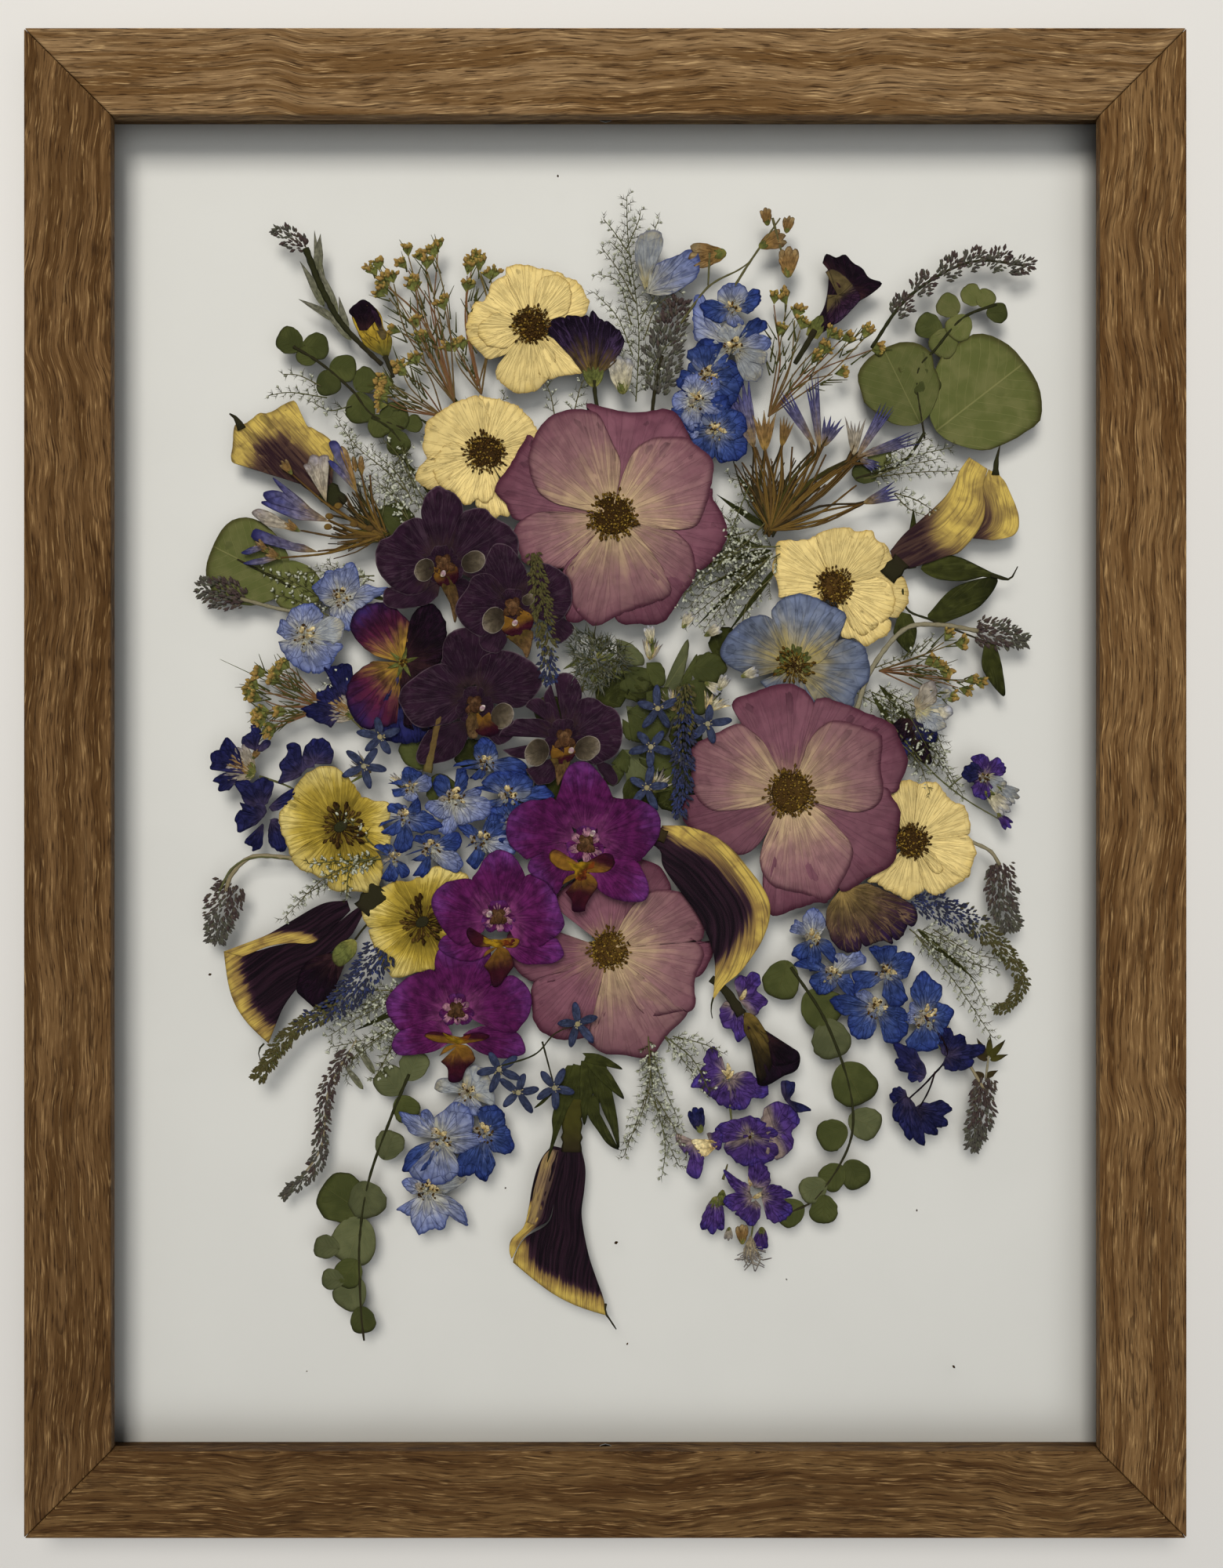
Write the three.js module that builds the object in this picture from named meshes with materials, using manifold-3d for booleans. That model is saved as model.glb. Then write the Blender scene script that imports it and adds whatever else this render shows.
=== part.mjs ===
// A floating picture frame lying on its back: a bunch of pressed flowers held flat between two panes.
// Millimetres, +Z up out of the front of the frame, +Y towards its top rail, z = 0 on the back of the rails.
import * as THREE from 'three';
import { mergeVertices } from 'three/addons/utils/BufferGeometryUtils.js';
import Module from 'manifold-3d';

const wasm = await Module();
wasm.setup();

// ---- Driving dimensions ----------------------------------------------------------------------

const FRAME_WIDTH = 522;
const FRAME_HEIGHT = 678;
const FRAME_DEPTH = 22;
const RAIL_FACE = 39;
const LIP_DEPTH = 4.9; // wood in front of the glass
const LIP_REACH = 8; // how far the lip covers the glass
const FIT_GAP = 0.3; // clearance between touching pieces
const GLASS_THICKNESS = 2;
const FLOWER_SPACE = 6; // between the two panes
const LEAF_THICKNESS = 0.4;
const LAYER_PITCH = LEAF_THICKNESS + FIT_GAP;
const LAYER_LIMIT = 8;

const POINT_LENGTH = 8.4;
const POINT_WIDTH = 9;
const POINT_THICKNESS = 0.5;
const POINT_BITE = 6; // how far a glazing point runs into the wood

const HANGER_LENGTH = 60;
const HANGER_WIDTH = 11;
const HANGER_THICKNESS = 1;
const HANGER_TEETH = 11;
const HANGER_TOOTH = 2;
const HANGER_POCKET_DEPTH = 3;

// ---- Worked out from them --------------------------------------------------------------------

const OPENING_WIDTH = FRAME_WIDTH - 2 * RAIL_FACE;
const OPENING_HEIGHT = FRAME_HEIGHT - 2 * RAIL_FACE;
const PANE_WIDTH = OPENING_WIDTH + 2 * (LIP_REACH - FIT_GAP);
const PANE_HEIGHT = OPENING_HEIGHT + 2 * (LIP_REACH - FIT_GAP);
const LIP_BACK = FRAME_DEPTH - LIP_DEPTH;
const FRONT_PANE_Z = LIP_BACK - FIT_GAP - GLASS_THICKNESS;
const BACK_PANE_Z = FRONT_PANE_Z - FLOWER_SPACE - GLASS_THICKNESS;
const POINT_Z = BACK_PANE_Z - FIT_GAP - POINT_THICKNESS;
const FIRST_LAYER_Z = BACK_PANE_Z + GLASS_THICKNESS + FIT_GAP;

// ---- Finishes --------------------------------------------------------------------------------

const finish = (color, roughness = 0.85, metalness = 0) => ({ color, roughness, metalness });
const OAK = finish(0x785a3c, 0.65);
const GLASS = finish(0xdfe8e4, 0.05);
const STEEL = finish(0x9a9c9e, 0.35, 1);
const MAUVE = finish(0x85555f);
const CREAM = finish(0xe2c878);
const YELLOW = finish(0xc8a850);
const GREY_BLUE = finish(0x7f8799);
const AUBERGINE = finish(0x32192d);
const VIOLET = finish(0x4b1455);
const WINE = finish(0x3a1830);
const OLIVE_YELLOW = finish(0xa58f4a);
const NEARLY_BLACK = finish(0x1c1018);
const PERIWINKLE = finish(0x7d86b0);
const BLUE = finish(0x3255a0);
const NAVY = finish(0x1c1e46);
const PURPLE = finish(0x4a3478);
const LEAF_GREEN = finish(0x646e41);
const GREY_GREEN = finish(0x5f6e46);
const DRY_GOLD = finish(0x7d6234);

// ---- Solids ----------------------------------------------------------------------------------

/** Turns a closed three.js geometry into a solid that can be joined and cut. */
function solidOf(geometry) {
  const bare = geometry.clone();
  bare.deleteAttribute('normal');
  bare.deleteAttribute('uv');
  const merged = mergeVertices(bare, 1e-4);
  return new wasm.Manifold(new wasm.Mesh({
    numProp: 3,
    vertProperties: new Float32Array(merged.attributes.position.array),
    triVerts: new Uint32Array(merged.index.array),
  }));
}

/** A named mesh of a solid. */
function meshOf(name, solid, look) {
  const { vertProperties, triVerts } = solid.getMesh();
  const geometry = new THREE.BufferGeometry();
  geometry.setAttribute('position', new THREE.BufferAttribute(new Float32Array(vertProperties), 3));
  geometry.setIndex(new THREE.BufferAttribute(new Uint32Array(triVerts), 1));
  geometry.computeVertexNormals();
  const mesh = new THREE.Mesh(geometry, new THREE.MeshStandardMaterial(look));
  mesh.name = name;
  return mesh;
}

/** An outline raised from z by a height. */
function slab(outline, z, height) {
  const shape = new THREE.Shape(outline.map(([x, y]) => new THREE.Vector2(x, y)));
  const geometry = new THREE.ExtrudeGeometry(shape, { depth: height, bevelEnabled: false });
  geometry.translate(0, 0, z);
  return solidOf(geometry);
}

/** A box by its middle and its sides. */
function block([x, y, z], [width, depth, height]) {
  const geometry = new THREE.BoxGeometry(width, depth, height);
  geometry.translate(x, y, z);
  return solidOf(geometry);
}

const join = (solids) => solids.reduce((whole, next) => whole.add(next));

// ---- The wooden frame ------------------------------------------------------------------------

/** The mitred outline of the top rail, from its outer edge inwards by a width. */
function mitredOutline(run, drop, width) {
  const outer = run / 2 - FIT_GAP / 2;
  const edge = drop / 2;
  return [[-outer, edge], [width - outer, edge - width], [outer - width, edge - width], [outer, edge]];
}

/** A rail along +X on the far side of the frame, with its rebate, its point slot and maybe a pocket. */
function rail(run, drop) {
  const wood = slab(mitredOutline(run, drop, RAIL_FACE), LIP_BACK, LIP_DEPTH)
    .add(slab(mitredOutline(run, drop, RAIL_FACE - LIP_REACH), 0, LIP_BACK));
  return wood.subtract(pointSlot(drop));
}

/** Where a glazing point lies on the far side of the frame: the middle of its length. */
const pointMiddle = (drop) => drop / 2 - RAIL_FACE + LIP_REACH + POINT_BITE - POINT_LENGTH / 2;

function pointSlot(drop) {
  const middle = [0, pointMiddle(drop), POINT_Z + POINT_THICKNESS / 2];
  const sides = [POINT_WIDTH, POINT_LENGTH, POINT_THICKNESS];
  return block(middle, sides.map((side) => side + 2 * FIT_GAP));
}

/** A flat steel tab that holds the panes in, rounded where it lies on the glass. */
function glazingPoint(drop) {
  const middle = pointMiddle(drop);
  const top = middle + POINT_LENGTH / 2;
  const shoulder = middle - POINT_LENGTH / 2 + POINT_WIDTH / 2;
  const outline = [[POINT_WIDTH / 2, top], [-POINT_WIDTH / 2, top]];
  for (let step = 0; step <= 6; step += 1) {
    const angle = Math.PI + (step * Math.PI) / 6;
    outline.push([Math.cos(angle) * POINT_WIDTH / 2, shoulder + Math.sin(angle) * POINT_WIDTH / 2]);
  }
  return slab(outline, POINT_Z, POINT_THICKNESS);
}

const HANGER_Y = FRAME_HEIGHT / 2 - (RAIL_FACE - LIP_REACH) / 2;

/** The pocket in the back of the top rail that takes the hanger. */
function hangerPocket() {
  const sides = [HANGER_LENGTH + 4, HANGER_WIDTH + 4, 2 * HANGER_POCKET_DEPTH];
  return block([0, HANGER_Y, 0], sides);
}

/** A sawtooth hanger: a toothed plate that stands off the pocket on a foot at each end. */
function sawtoothHanger() {
  const left = -HANGER_LENGTH / 2;
  const bottom = HANGER_Y - HANGER_WIDTH / 2;
  const foot = 7;
  const toothed = HANGER_LENGTH - 2 * foot;
  const outline = [[left, bottom + HANGER_WIDTH], [left, bottom]];
  for (let tooth = 0; tooth < HANGER_TEETH; tooth += 1) {
    const start = left + foot + (tooth * toothed) / HANGER_TEETH;
    outline.push([start, bottom], [start + toothed / HANGER_TEETH / 2, bottom + HANGER_TOOTH]);
  }
  outline.push([-left - foot, bottom], [-left, bottom], [-left, bottom + HANGER_WIDTH]);
  const plate = slab(outline, FIT_GAP, HANGER_THICKNESS);
  const footHeight = HANGER_POCKET_DEPTH - 2 * FIT_GAP;
  const feet = [-1, 1].map((side) => block(
    [side * (HANGER_LENGTH - foot) / 2, HANGER_Y, FIT_GAP + footHeight / 2],
    [foot, HANGER_WIDTH, footHeight],
  ));
  return join([plate, ...feet]);
}

/** The four rails and the point that each one carries, by turning the far rail round the frame. */
function frameMeshes() {
  const sides = [
    ['top', FRAME_WIDTH, FRAME_HEIGHT, 0],
    ['left', FRAME_HEIGHT, FRAME_WIDTH, 90],
    ['bottom', FRAME_WIDTH, FRAME_HEIGHT, 180],
    ['right', FRAME_HEIGHT, FRAME_WIDTH, 270],
  ];
  return sides.flatMap(([side, run, drop, turn]) => {
    const wood = side === 'top' ? rail(run, drop).subtract(hangerPocket()) : rail(run, drop);
    return [
      meshOf(`rail_${side}`, wood.rotate([0, 0, turn]), OAK),
      meshOf(`glazing_point_${side}`, glazingPoint(drop).rotate([0, 0, turn]), STEEL),
    ];
  });
}

/** One pane of glass. */
function pane(name, z) {
  const solid = block([0, 0, z + GLASS_THICKNESS / 2], [PANE_WIDTH, PANE_HEIGHT, GLASS_THICKNESS]);
  return meshOf(name, solid, GLASS);
}

// ---- Outlines of pressed plants, as lists of [x, y] ------------------------------------------

/** A point of a circle or oval, turned by an angle in degrees about its middle. */
function around([x, y], angle, along, across, turn) {
  const spin = THREE.MathUtils.degToRad(turn);
  const u = Math.cos(angle) * along;
  const v = Math.sin(angle) * across;
  return [x + u * Math.cos(spin) - v * Math.sin(spin), y + u * Math.sin(spin) + v * Math.cos(spin)];
}

function oval(middle, length, width, turn = 0, sides = 6) {
  return Array.from({ length: sides }, (_, step) => (
    around(middle, (step * 2 * Math.PI) / sides, length / 2, width / 2, turn)));
}

/** A round flower seen from the front: petals as blunt lobes with notches between them. */
function lobed(middle, radius, lobes = 5, turn = 0, notch = 0.12) {
  const reach = [1 - notch, 0.97, 0.97];
  return Array.from({ length: lobes * reach.length }, (_, step) => {
    const size = radius * reach[step % reach.length];
    return around(middle, (step * 2 * Math.PI) / (lobes * reach.length), size, size, turn);
  });
}

/** A small starry floret: pointed petals with deep notches. */
function starry(middle, radius, turn = 0) {
  return Array.from({ length: 10 }, (_, step) => {
    const size = step % 2 ? radius * 0.62 : radius;
    return around(middle, (step * Math.PI) / 5, size, size, turn);
  });
}

/** A strip along a path, tapering from one width to another. */
function strip(path, width, tipWidth = width) {
  const left = [];
  const right = [];
  path.forEach(([x, y], index) => {
    const [ax, ay] = path[Math.max(index - 1, 0)];
    const [bx, by] = path[Math.min(index + 1, path.length - 1)];
    const length = Math.hypot(bx - ax, by - ay);
    const half = THREE.MathUtils.lerp(width, tipWidth, index / (path.length - 1)) / 2;
    const side = [(-(by - ay) / length) * half, ((bx - ax) / length) * half];
    left.push([x + side[0], y + side[1]]);
    right.unshift([x - side[0], y - side[1]]);
  });
  return [...right, ...left];
}

/** A closed smooth outline through a few points. */
function smooth(points, steps = 20) {
  const path = new THREE.CatmullRomCurve3(points.map(([x, y]) => new THREE.Vector3(x, y, 0)), true);
  return path.getPoints(steps).slice(0, -1).map(({ x, y }) => [x, y]);
}

const starRow = (middles, radius) => middles.map((middle, index) => starry(middle, radius, index * 25));

const leafRow = (middles, size) => middles.map((middle) => oval(middle, size, size * 0.9, 0, 6));

/** A moth orchid from the front: upper sepal, two broad petals, two lower sepals and a lip. */
function orchid([x, y], size, turn) {
  const part = (angle, reach, length, width) => {
    const aim = turn + angle;
    const [px, py] = around([x, y], 0, reach * size, 0, aim);
    return oval([px, py], length * size, width * size, aim);
  };
  return [
    part(90, 0.55, 1.0, 0.62), part(10, 0.52, 1.05, 0.85), part(170, 0.52, 1.05, 0.85),
    part(-42, 0.5, 1.0, 0.5), part(222, 0.5, 1.0, 0.5), part(270, 0.45, 0.75, 0.4),
  ];
}

// ---- The bunch, from the back pane to the front pane -------------------------------------------

/** One flat plant piece: its outlines joined where they cross. */
function pressed(name, look, outlines) {
  return { name, look, solid: join(outlines.map((outline) => slab(outline, 0, LEAF_THICKNESS))) };
}

function greenery() {
  return [
    pressed('eucalyptus_top_right', LEAF_GREEN, [
      oval([172, 177], 51.2, 50.5, 30, 12),
      oval([136, 181], 39.3, 44.9, 0, 10),
      strip([[147, 168], [140, 186], [155, 207], [177, 221]], 2.8),
      ...leafRow([[170, 224], [180, 217], [158, 219], [164, 210], [149, 210],
        [152, 198], [140, 191]], 12.6),
    ]),
    pressed('eucalyptus_left', LEAF_GREEN, [
      oval([-163, 101], 39.3, 47.7, 10, 12),
      oval([-143, 90], 36.5, 28.1, -15, 10),
    ]),
    pressed('eucalyptus_top_left', GREY_GREEN, [
      strip([[-150, 207], [-131, 196], [-111, 180], [-88, 154]], 2.1),
      ...leafRow([[-145, 202], [-134, 198], [-121, 192], [-112, 183], [-113, 172], [-98, 169], [-94, 157]],
        14),
    ]),
    pressed('eucalyptus_bottom_left', GREY_GREEN, [
      strip([[-88, -120], [-99, -158], [-115, -197], [-120, -225], [-111, -256]], 2.1),
      ...leafRow([[-85, -132], [-94, -133]], 19.7),
      ...leafRow([[-98, -145], [-100, -169], [-118, -192], [-115, -211], [-124, -214]], 20.4),
      ...leafRow([[-121, -228], [-116, -235], [-112, -247]], 13.3),
    ]),
    pressed('eucalyptus_bottom_right', GREY_GREEN, [
      strip([[80, -78], [98, -102], [110, -130], [117, -155], [105, -181], [85, -199]], 2.1),
      ...leafRow([[81, -90], [97, -102], [102, -118], [113, -138]], 18.3),
      ...leafRow([[109, -165], [117, -157], [112, -179], [105, -180], [97, -187], [87, -198]], 11.9),
    ]),
    pressed('greens_top_left', GREY_GREEN, [
      oval([-145, 250], 15.4, 10.5, -35),
      strip([[-144, 249], [-131, 230], [-110, 199], [-88, 175], [-60, 154]], 4.2, 2.1),
      strip([[-135, 254], [-131, 228]], 3.5),
      strip([[-141, 224], [-119, 210]], 2.8),
      strip([[-67, 143], [-59, 178], [-74, 201], [-92, 224], [-109, 236]], 2.8, 4.9),
      strip([[-60, 182], [-74, 210], [-88, 244]], 2.5, 6.3),
      strip([[-62, 186], [-66, 214], [-60, 241]], 2.5, 7.7),
      strip([[-74, 200], [-88, 191], [-101, 186]], 2.5, 7),
      strip([[-74, 210], [-80, 228], [-79, 245]], 1.8, 6.3),
      strip([[-64, 140], [-95, 156], [-118, 163]], 11.9, 4.2),
      strip([[-88, 154], [-117, 179], [-150, 186]], 6.3, 4.9),
    ]),
    pressed('greens_top', GREY_GREEN, [
      strip([[10, 269], [12, 245], [16, 199], [18, 161], [27, 140]], 5.6, 2.1),
      strip([[14, 224], [4, 239], [-1, 256]], 4.2, 3.5),
      strip([[16, 200], [6, 217], [-4, 233]], 4.9, 4.2),
      strip([[16, 200], [26, 214], [34, 230]], 2.1, 3.5),
      oval([27, 203], 37.2, 17.5, 75, 8),
      strip([[27, 189], [21, 168], [27, 140]], 3.5),
      strip([[27, 140], [55, 140], [75, 154], [84, 189], [77, 224]], 3.5, 4.2),
      strip([[75, 154], [98, 186], [109, 208]], 2.8, 7.7),
      strip([[98, 186], [119, 196], [126, 207]], 2.1, 7.7),
      strip([[75, 154], [108, 175], [128, 203], [136, 219]], 2.8, 4.9),
      strip([[133, 214], [146, 230], [170, 241], [185, 240], [195, 234]], 11.9, 5.6),
    ]),
    pressed('greens_left', GREY_GREEN, [
      oval([-177, 87], 20.4, 12.6, 10),
      strip([[-173, 85], [-147, 79], [-106, 49], [-117, 0], [-124, -34]], 2.8),
      strip([[-106, 35], [-134, 37], [-150, 42], [-177, 57]], 3.5, 2.1),
      strip([[-131, 36], [-145, 49], [-155, 53]], 2.1, 7.7),
      strip([[-131, 35], [-148, 35], [-158, 27]], 2.1, 9.1),
      strip([[-157, 85], [-141, 92], [-117, 98], [-113, 52]], 4.2),
      strip([[-124, -34], [-144, -34], [-169, -37], [-177, -53]], 2.1),
      oval([-178, -59], 27.4, 16.1, 68),
      strip([[-124, -32], [-134, -46], [-145, -63]], 9.1, 4.9),
    ]),
    pressed('greens_right', GREY_GREEN, [
      strip([[108, 105], [133, 96], [164, 101], [188, 97]], 3.5, 4.2),
      strip([[133, 96], [143, 108], [140, 125]], 10.5, 2.8),
      strip([[133, 96], [147, 75], [164, 81], [186, 94]], 7.7, 4.2),
      strip([[150, 77], [172, 59], [184, 40]], 4.2, 3.5),
      strip([[133, 96], [129, 52], [136, 14], [154, -22]], 2.8),
      oval([181, 68], 24.6, 14.7, -8),
      strip([[171, 70], [150, 73], [129, 52]], 2.1),
      strip([[129, 52], [147, 45], [173, 46]], 2.8, 9.1),
      strip([[129, 52], [143, 59], [161, 67]], 2.1, 5.6),
      strip([[133, 35], [150, 26], [166, 42]], 3.5, 11.9),
      strip([[133, 38], [145, 17], [166, 0], [187, -16]], 11.9, 3.5),
      oval([174, 5], 17.5, 17.5, 40),
      strip([[154, -22], [170, -28], [182, -39]], 2.1),
      oval([183, -52], 30.9, 16.1, 85),
    ]),
    pressed('greens_bottom_left', GREY_GREEN, [
      strip([[-74, -71], [-105, -82], [-125, -103], [-143, -112], [-159, -134]], 11.9, 4.2),
      strip([[-106, -85], [-118, -120], [-130, -150], [-131, -170], [-149, -190]], 7.7, 4.9),
      strip([[-95, -79], [-99, -106], [-111, -123]], 12.6, 10.5),
    ]),
    pressed('greens_bottom_right', GREY_GREEN, [
      strip([[126, -49], [154, -60], [178, -71], [191, -86], [180, -104]], 9.1, 4.2),
      strip([[129, -53], [157, -83], [180, -88]], 2.1, 3.5),
      strip([[157, -81], [174, -106], [177, -121], [178, -141], [168, -167]], 2.8, 7.7),
      oval([177, -127], 15.4, 11.9, 80),
    ]),
  ];
}

function sideFlowers() {
  return [
    pressed('agapanthus_right', DRY_GOLD, [
      strip([[75, 108], [68, 140], [58, 186]], 10.5, 7.7),
      strip([[75, 116], [75, 144], [73, 165]], 11.9, 7),
      strip([[77, 117], [94, 154], [102, 161], [93, 191]], 9.1, 4.9),
      strip([[94, 151], [88, 168], [78, 179]], 2.8, 6.3),
      strip([[77, 115], [105, 144], [127, 160], [132, 176]], 7.7, 4.2),
      strip([[119, 154], [136, 159], [145, 159]], 4.2, 4.2),
      strip([[77, 115], [108, 126], [133, 134]], 8.4, 5.6),
    ]),
    pressed('delphinium_top', PERIWINKLE, [
      starry([56, 218], 15.4),
      starry([58, 199], 17.5, 20),
      starry([48, 177], 15.4, 40),
      starry([49, 159], 13.3, 10),
      oval([21, 239], 29.5, 16.1, 110),
      oval([32, 234], 25.3, 16.8, 40),
      strip([[27, 231], [47, 228], [67, 230], [82, 237]], 2.8),
      oval([48, 243], 11.9, 7.7, -10),
      oval([81, 251], 31.6, 12.6, 95),
      strip([[48, 243], [47, 228]], 1.8),
    ]),
    pressed('delphinium_left', PERIWINKLE, [starry([-120, 87], 17.5), starry([-139, 68], 18.3, 30)]),
    pressed('delphinium_bottom', PERIWINKLE, [
      ...starRow([[-65, -141], [-78, -160], [-55, -163], [-80, -190]], 14.7),
      starry([-67, -176], 13.3),
    ]),
    pressed('larkspur_left', NAVY, [
      ...starRow([[-127, 39], [-140, 8], [-169, 10], [-160, -11], [-155, -25]], 13.3),
      strip([[-125, 38], [-120, 21], [-140, 8], [-169, 10], [-159, -14]], 4.2),
    ]),
    pressed('larkspur_bottom', PURPLE, [
      ...starRow([[58, -138], [70, -160], [48, -167], [70, -192]], 14.7),
      ...starRow([[65, -100], [79, -147], [52, -194]], 8.4),
      strip([[59, -85], [66, -100], [54, -134], [71, -190], [66, -222]], 2.8, 9.1),
    ]),
    pressed('delphinium_blue_right', BLUE, [
      ...starRow([[93, -70], [105, -87], [129, -88], [121, -104], [146, -106]], 14.7),
      ...starRow([[164, -123], [153, -131], [143, -153]], 9.1),
      strip([[146, -106], [153, -131], [143, -151]], 3.5),
    ]),
    pressed('pleated_flower', WINE, [
      smooth([[102, -53], [119, -46], [143, -57], [140, -67], [126, -75], [103, -73]]),
    ]),
    pressed('pansy', WINE, [
      oval([-95, 70], 42.1, 31.6, 40), oval([-102, 42], 38.6, 29.5, 60),
      oval([-80, 42], 31.6, 35.1, 0),
    ]),
  ];
}

function callas() {
  return [
    pressed('calla_bud_top_left', OLIVE_YELLOW, [
      smooth([[-117, 221], [-110, 221], [-104, 212], [-98, 203], [-100, 196], [-109, 199], [-114, 208]]),
      strip([[-102, 200], [-95, 184]], 2.5),
    ]),
    pressed('calla_top_left', OLIVE_YELLOW, [
      smooth([[-172, 170], [-157, 169], [-144, 176], [-136, 166], [-125, 157], [-130, 131], [-150, 144],
        [-171, 147], [-169, 159]]),
    ]),
    pressed('calla_small_top_right', NEARLY_BLACK, [
      smooth([[101, 243], [113, 241], [125, 228], [114, 219], [101, 207], [95, 206], [101, 220]]),
      strip([[99, 211], [87, 193]], 2.5),
    ]),
    pressed('calla_right', OLIVE_YELLOW, [
      smooth([[161, 149], [172, 147], [181, 154], [185, 140], [190, 126], [189, 113],
        [164, 105], [145, 102], [133, 106], [147, 122], [158, 136]], 24),
    ]),
    pressed('calla_bottom_right', NEARLY_BLACK, [
      smooth([[61, -102], [71, -113], [88, -125], [87, -133], [72, -139], [66, -121]]),
      strip([[64, -107], [54, -92], [50, -81]], 4.2),
    ]),
    pressed('calla_bottom', NEARLY_BLACK, [
      smooth([[-21, -155], [-9, -176], [-11, -199], [-7, -220], [1, -236], [3, -244], [-18, -238],
        [-39, -225], [-44, -212], [-37, -202], [-35, -176], [-27, -164]], 26),
      strip([[-17, -165], [-14, -141], [-15, -121]], 10.5, 8.4),
      strip([[-15, -141], [1, -133], [8, -145]], 12.6, 3.5),
      strip([[0, -243], [5, -251]], 2.1, 1.1),
    ]),
    pressed('calla_left', NEARLY_BLACK, [
      smooth([[-106, -53], [-134, -57], [-156, -71], [-174, -78], [-174, -88], [-167, -107],
        [-157, -119], [-148, -108], [-142, -96], [-127, -104], [-117, -83]], 26),
    ]),
  ];
}

function blooms() {
  return [
    pressed('agapanthus_left', DRY_GOLD, [
      strip([[-95, 105], [-117, 126], [-147, 146]], 14, 7),
      strip([[-102, 112], [-120, 140], [-138, 154]], 10.5, 7.7),
      strip([[-102, 108], [-131, 117], [-161, 124]], 10.5, 9.1),
      strip([[-102, 107], [-131, 107], [-159, 103]], 9.1, 7.7),
      strip([[-102, 112], [-106, 133], [-109, 148]], 7.7, 3.5),
    ]),
    pressed('yellow_bloom_top', CREAM, [lobed([-36, 209], 28.8, 6, 10)]),
    pressed('fan_flower', NEARLY_BLACK, [
      smooth([[-26, 211], [-5, 216], [9, 203], [0, 192], [-2, 181], [-8, 181], [-12, 192]]),
      strip([[-6, 186], [-4, 161]], 2.1),
    ]),
    pressed('yellow_bloom_left', CREAM, [lobed([-58, 149], 28.1, 6, 30)]),
    pressed('yellow_bloom_right', CREAM, [lobed([108, 90], 30.2, 6, 0)]),
    pressed('yellow_bloom_low_right', CREAM, [lobed([145, -26], 26.7, 6, 15)]),
    pressed('poppy_left', YELLOW, [lobed([-123, -21], 28.1, 5, 0)]),
    pressed('poppy_bottom', YELLOW, [lobed([-89, -66], 25.3, 5, 20)]),
    pressed('delphinium_blue_left', BLUE, starRow([[-88, -1], [-69, -5], [-55, 11], [-42, -4],
      [-92, -16], [-79, -30], [-58, -26], [-46, -14]], 14)),
    pressed('hellebore', GREY_BLUE, [lobed([85, 54], 36.5, 5, 18, 0.25)]),
    pressed('rose_top', MAUVE, [[[-9, 173], [7, 170], [31, 171], [38, 158], [49, 147],
      [48, 132], [55, 117], [52, 107], [41, 97], [37, 88], [27, 74], [5, 74], [-6, 72],
      [-16, 78], [-25, 89], [-39, 100], [-41, 119], [-50, 134], [-37, 157], [-23, 169]].reverse()]),
    pressed('rose_right', MAUVE, [[[58, 38], [81, 46], [96, 38], [131, 27], [138, 10],
      [132, -5], [135, -15], [132, -36], [111, -49], [100, -53], [75, -59], [62, -49],
      [45, -32], [35, -16], [37, -5], [40, 4], [40, 19], [50, 23]].reverse()]),
    pressed('rose_bottom', MAUVE, [[[-11, -40], [15, -35], [25, -39], [31, -49], [39, -52],
      [48, -73], [48, -80], [41, -90], [40, -102], [38, -105], [20, -126], [-1, -124],
      [-10, -119], [-20, -118], [-35, -108], [-43, -85], [-38, -64], [-29, -49]].reverse()]),
    pressed('calla_middle', NEARLY_BLACK, [
      smooth([[26, -20], [45, -21], [64, -35], [74, -55], [72, -75], [58, -92],
        [50, -98], [49, -81], [41, -61], [26, -38]], 24),
    ]),
    pressed('dark_orchid_left', AUBERGINE, orchid([-61, 42], 33, 5)),
    pressed('dark_orchid_upper', AUBERGINE, orchid([-71, 103], 32.3, 0)),
    pressed('dark_orchid_low', AUBERGINE, orchid([-20, 19], 28.8, 0)),
    pressed('dark_orchid_right', AUBERGINE, orchid([-42, 84], 30.9, -10)),
    pressed('purple_orchid_low', VIOLET, orchid([-67, -106], 33, 0)),
    pressed('purple_orchid_left', VIOLET, orchid([-49, -62], 30.9, 0)),
    pressed('purple_orchid_upper', VIOLET, orchid([-9, -26], 34.4, 0)),
  ];
}

// ---- Laying the pieces down --------------------------------------------------------------------

/** The lowest layer where a piece clears every piece that it covers. */
function layerOver(solid, laid) {
  const covered = laid.filter((piece) => piece.solid.intersect(solid).volume() > 0);
  return Math.max(-1, ...covered.map((piece) => piece.layer)) + 1;
}

function layBunch(pieces) {
  const laid = [];
  pieces.forEach((piece) => laid.push({ ...piece, layer: layerOver(piece.solid, laid) }));
  const highest = Math.max(...laid.map((piece) => piece.layer));
  if (highest >= LAYER_LIMIT) throw new Error(`the bunch is ${highest + 1} layers deep`);
  return laid.map(({ name, look, solid, layer }) => (
    meshOf(name, solid.translate([0, 0, FIRST_LAYER_Z + layer * LAYER_PITCH]), look)));
}

const frame = new THREE.Group();
frame.add(
  ...frameMeshes(),
  meshOf('hanger', sawtoothHanger(), STEEL),
  pane('glass_back', BACK_PANE_Z),
  ...layBunch([...greenery(), ...sideFlowers(), ...callas(), ...blooms()]),
  pane('glass_front', FRONT_PANE_Z),
);

export default frame;
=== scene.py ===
"""A floating picture frame that holds a bunch of pressed flowers between two panes of glass.

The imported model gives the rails, panes, fittings and the flat solids of the bunch. Every plant here lies
on the layer of the solid that it stands for. Lengths in the plant classes are in millimetres, in the
frame's own axes, and become metres when a mesh is made.
"""

import logging
import math
from collections.abc import Sequence
from dataclasses import dataclass, field
from enum import Enum

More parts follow.
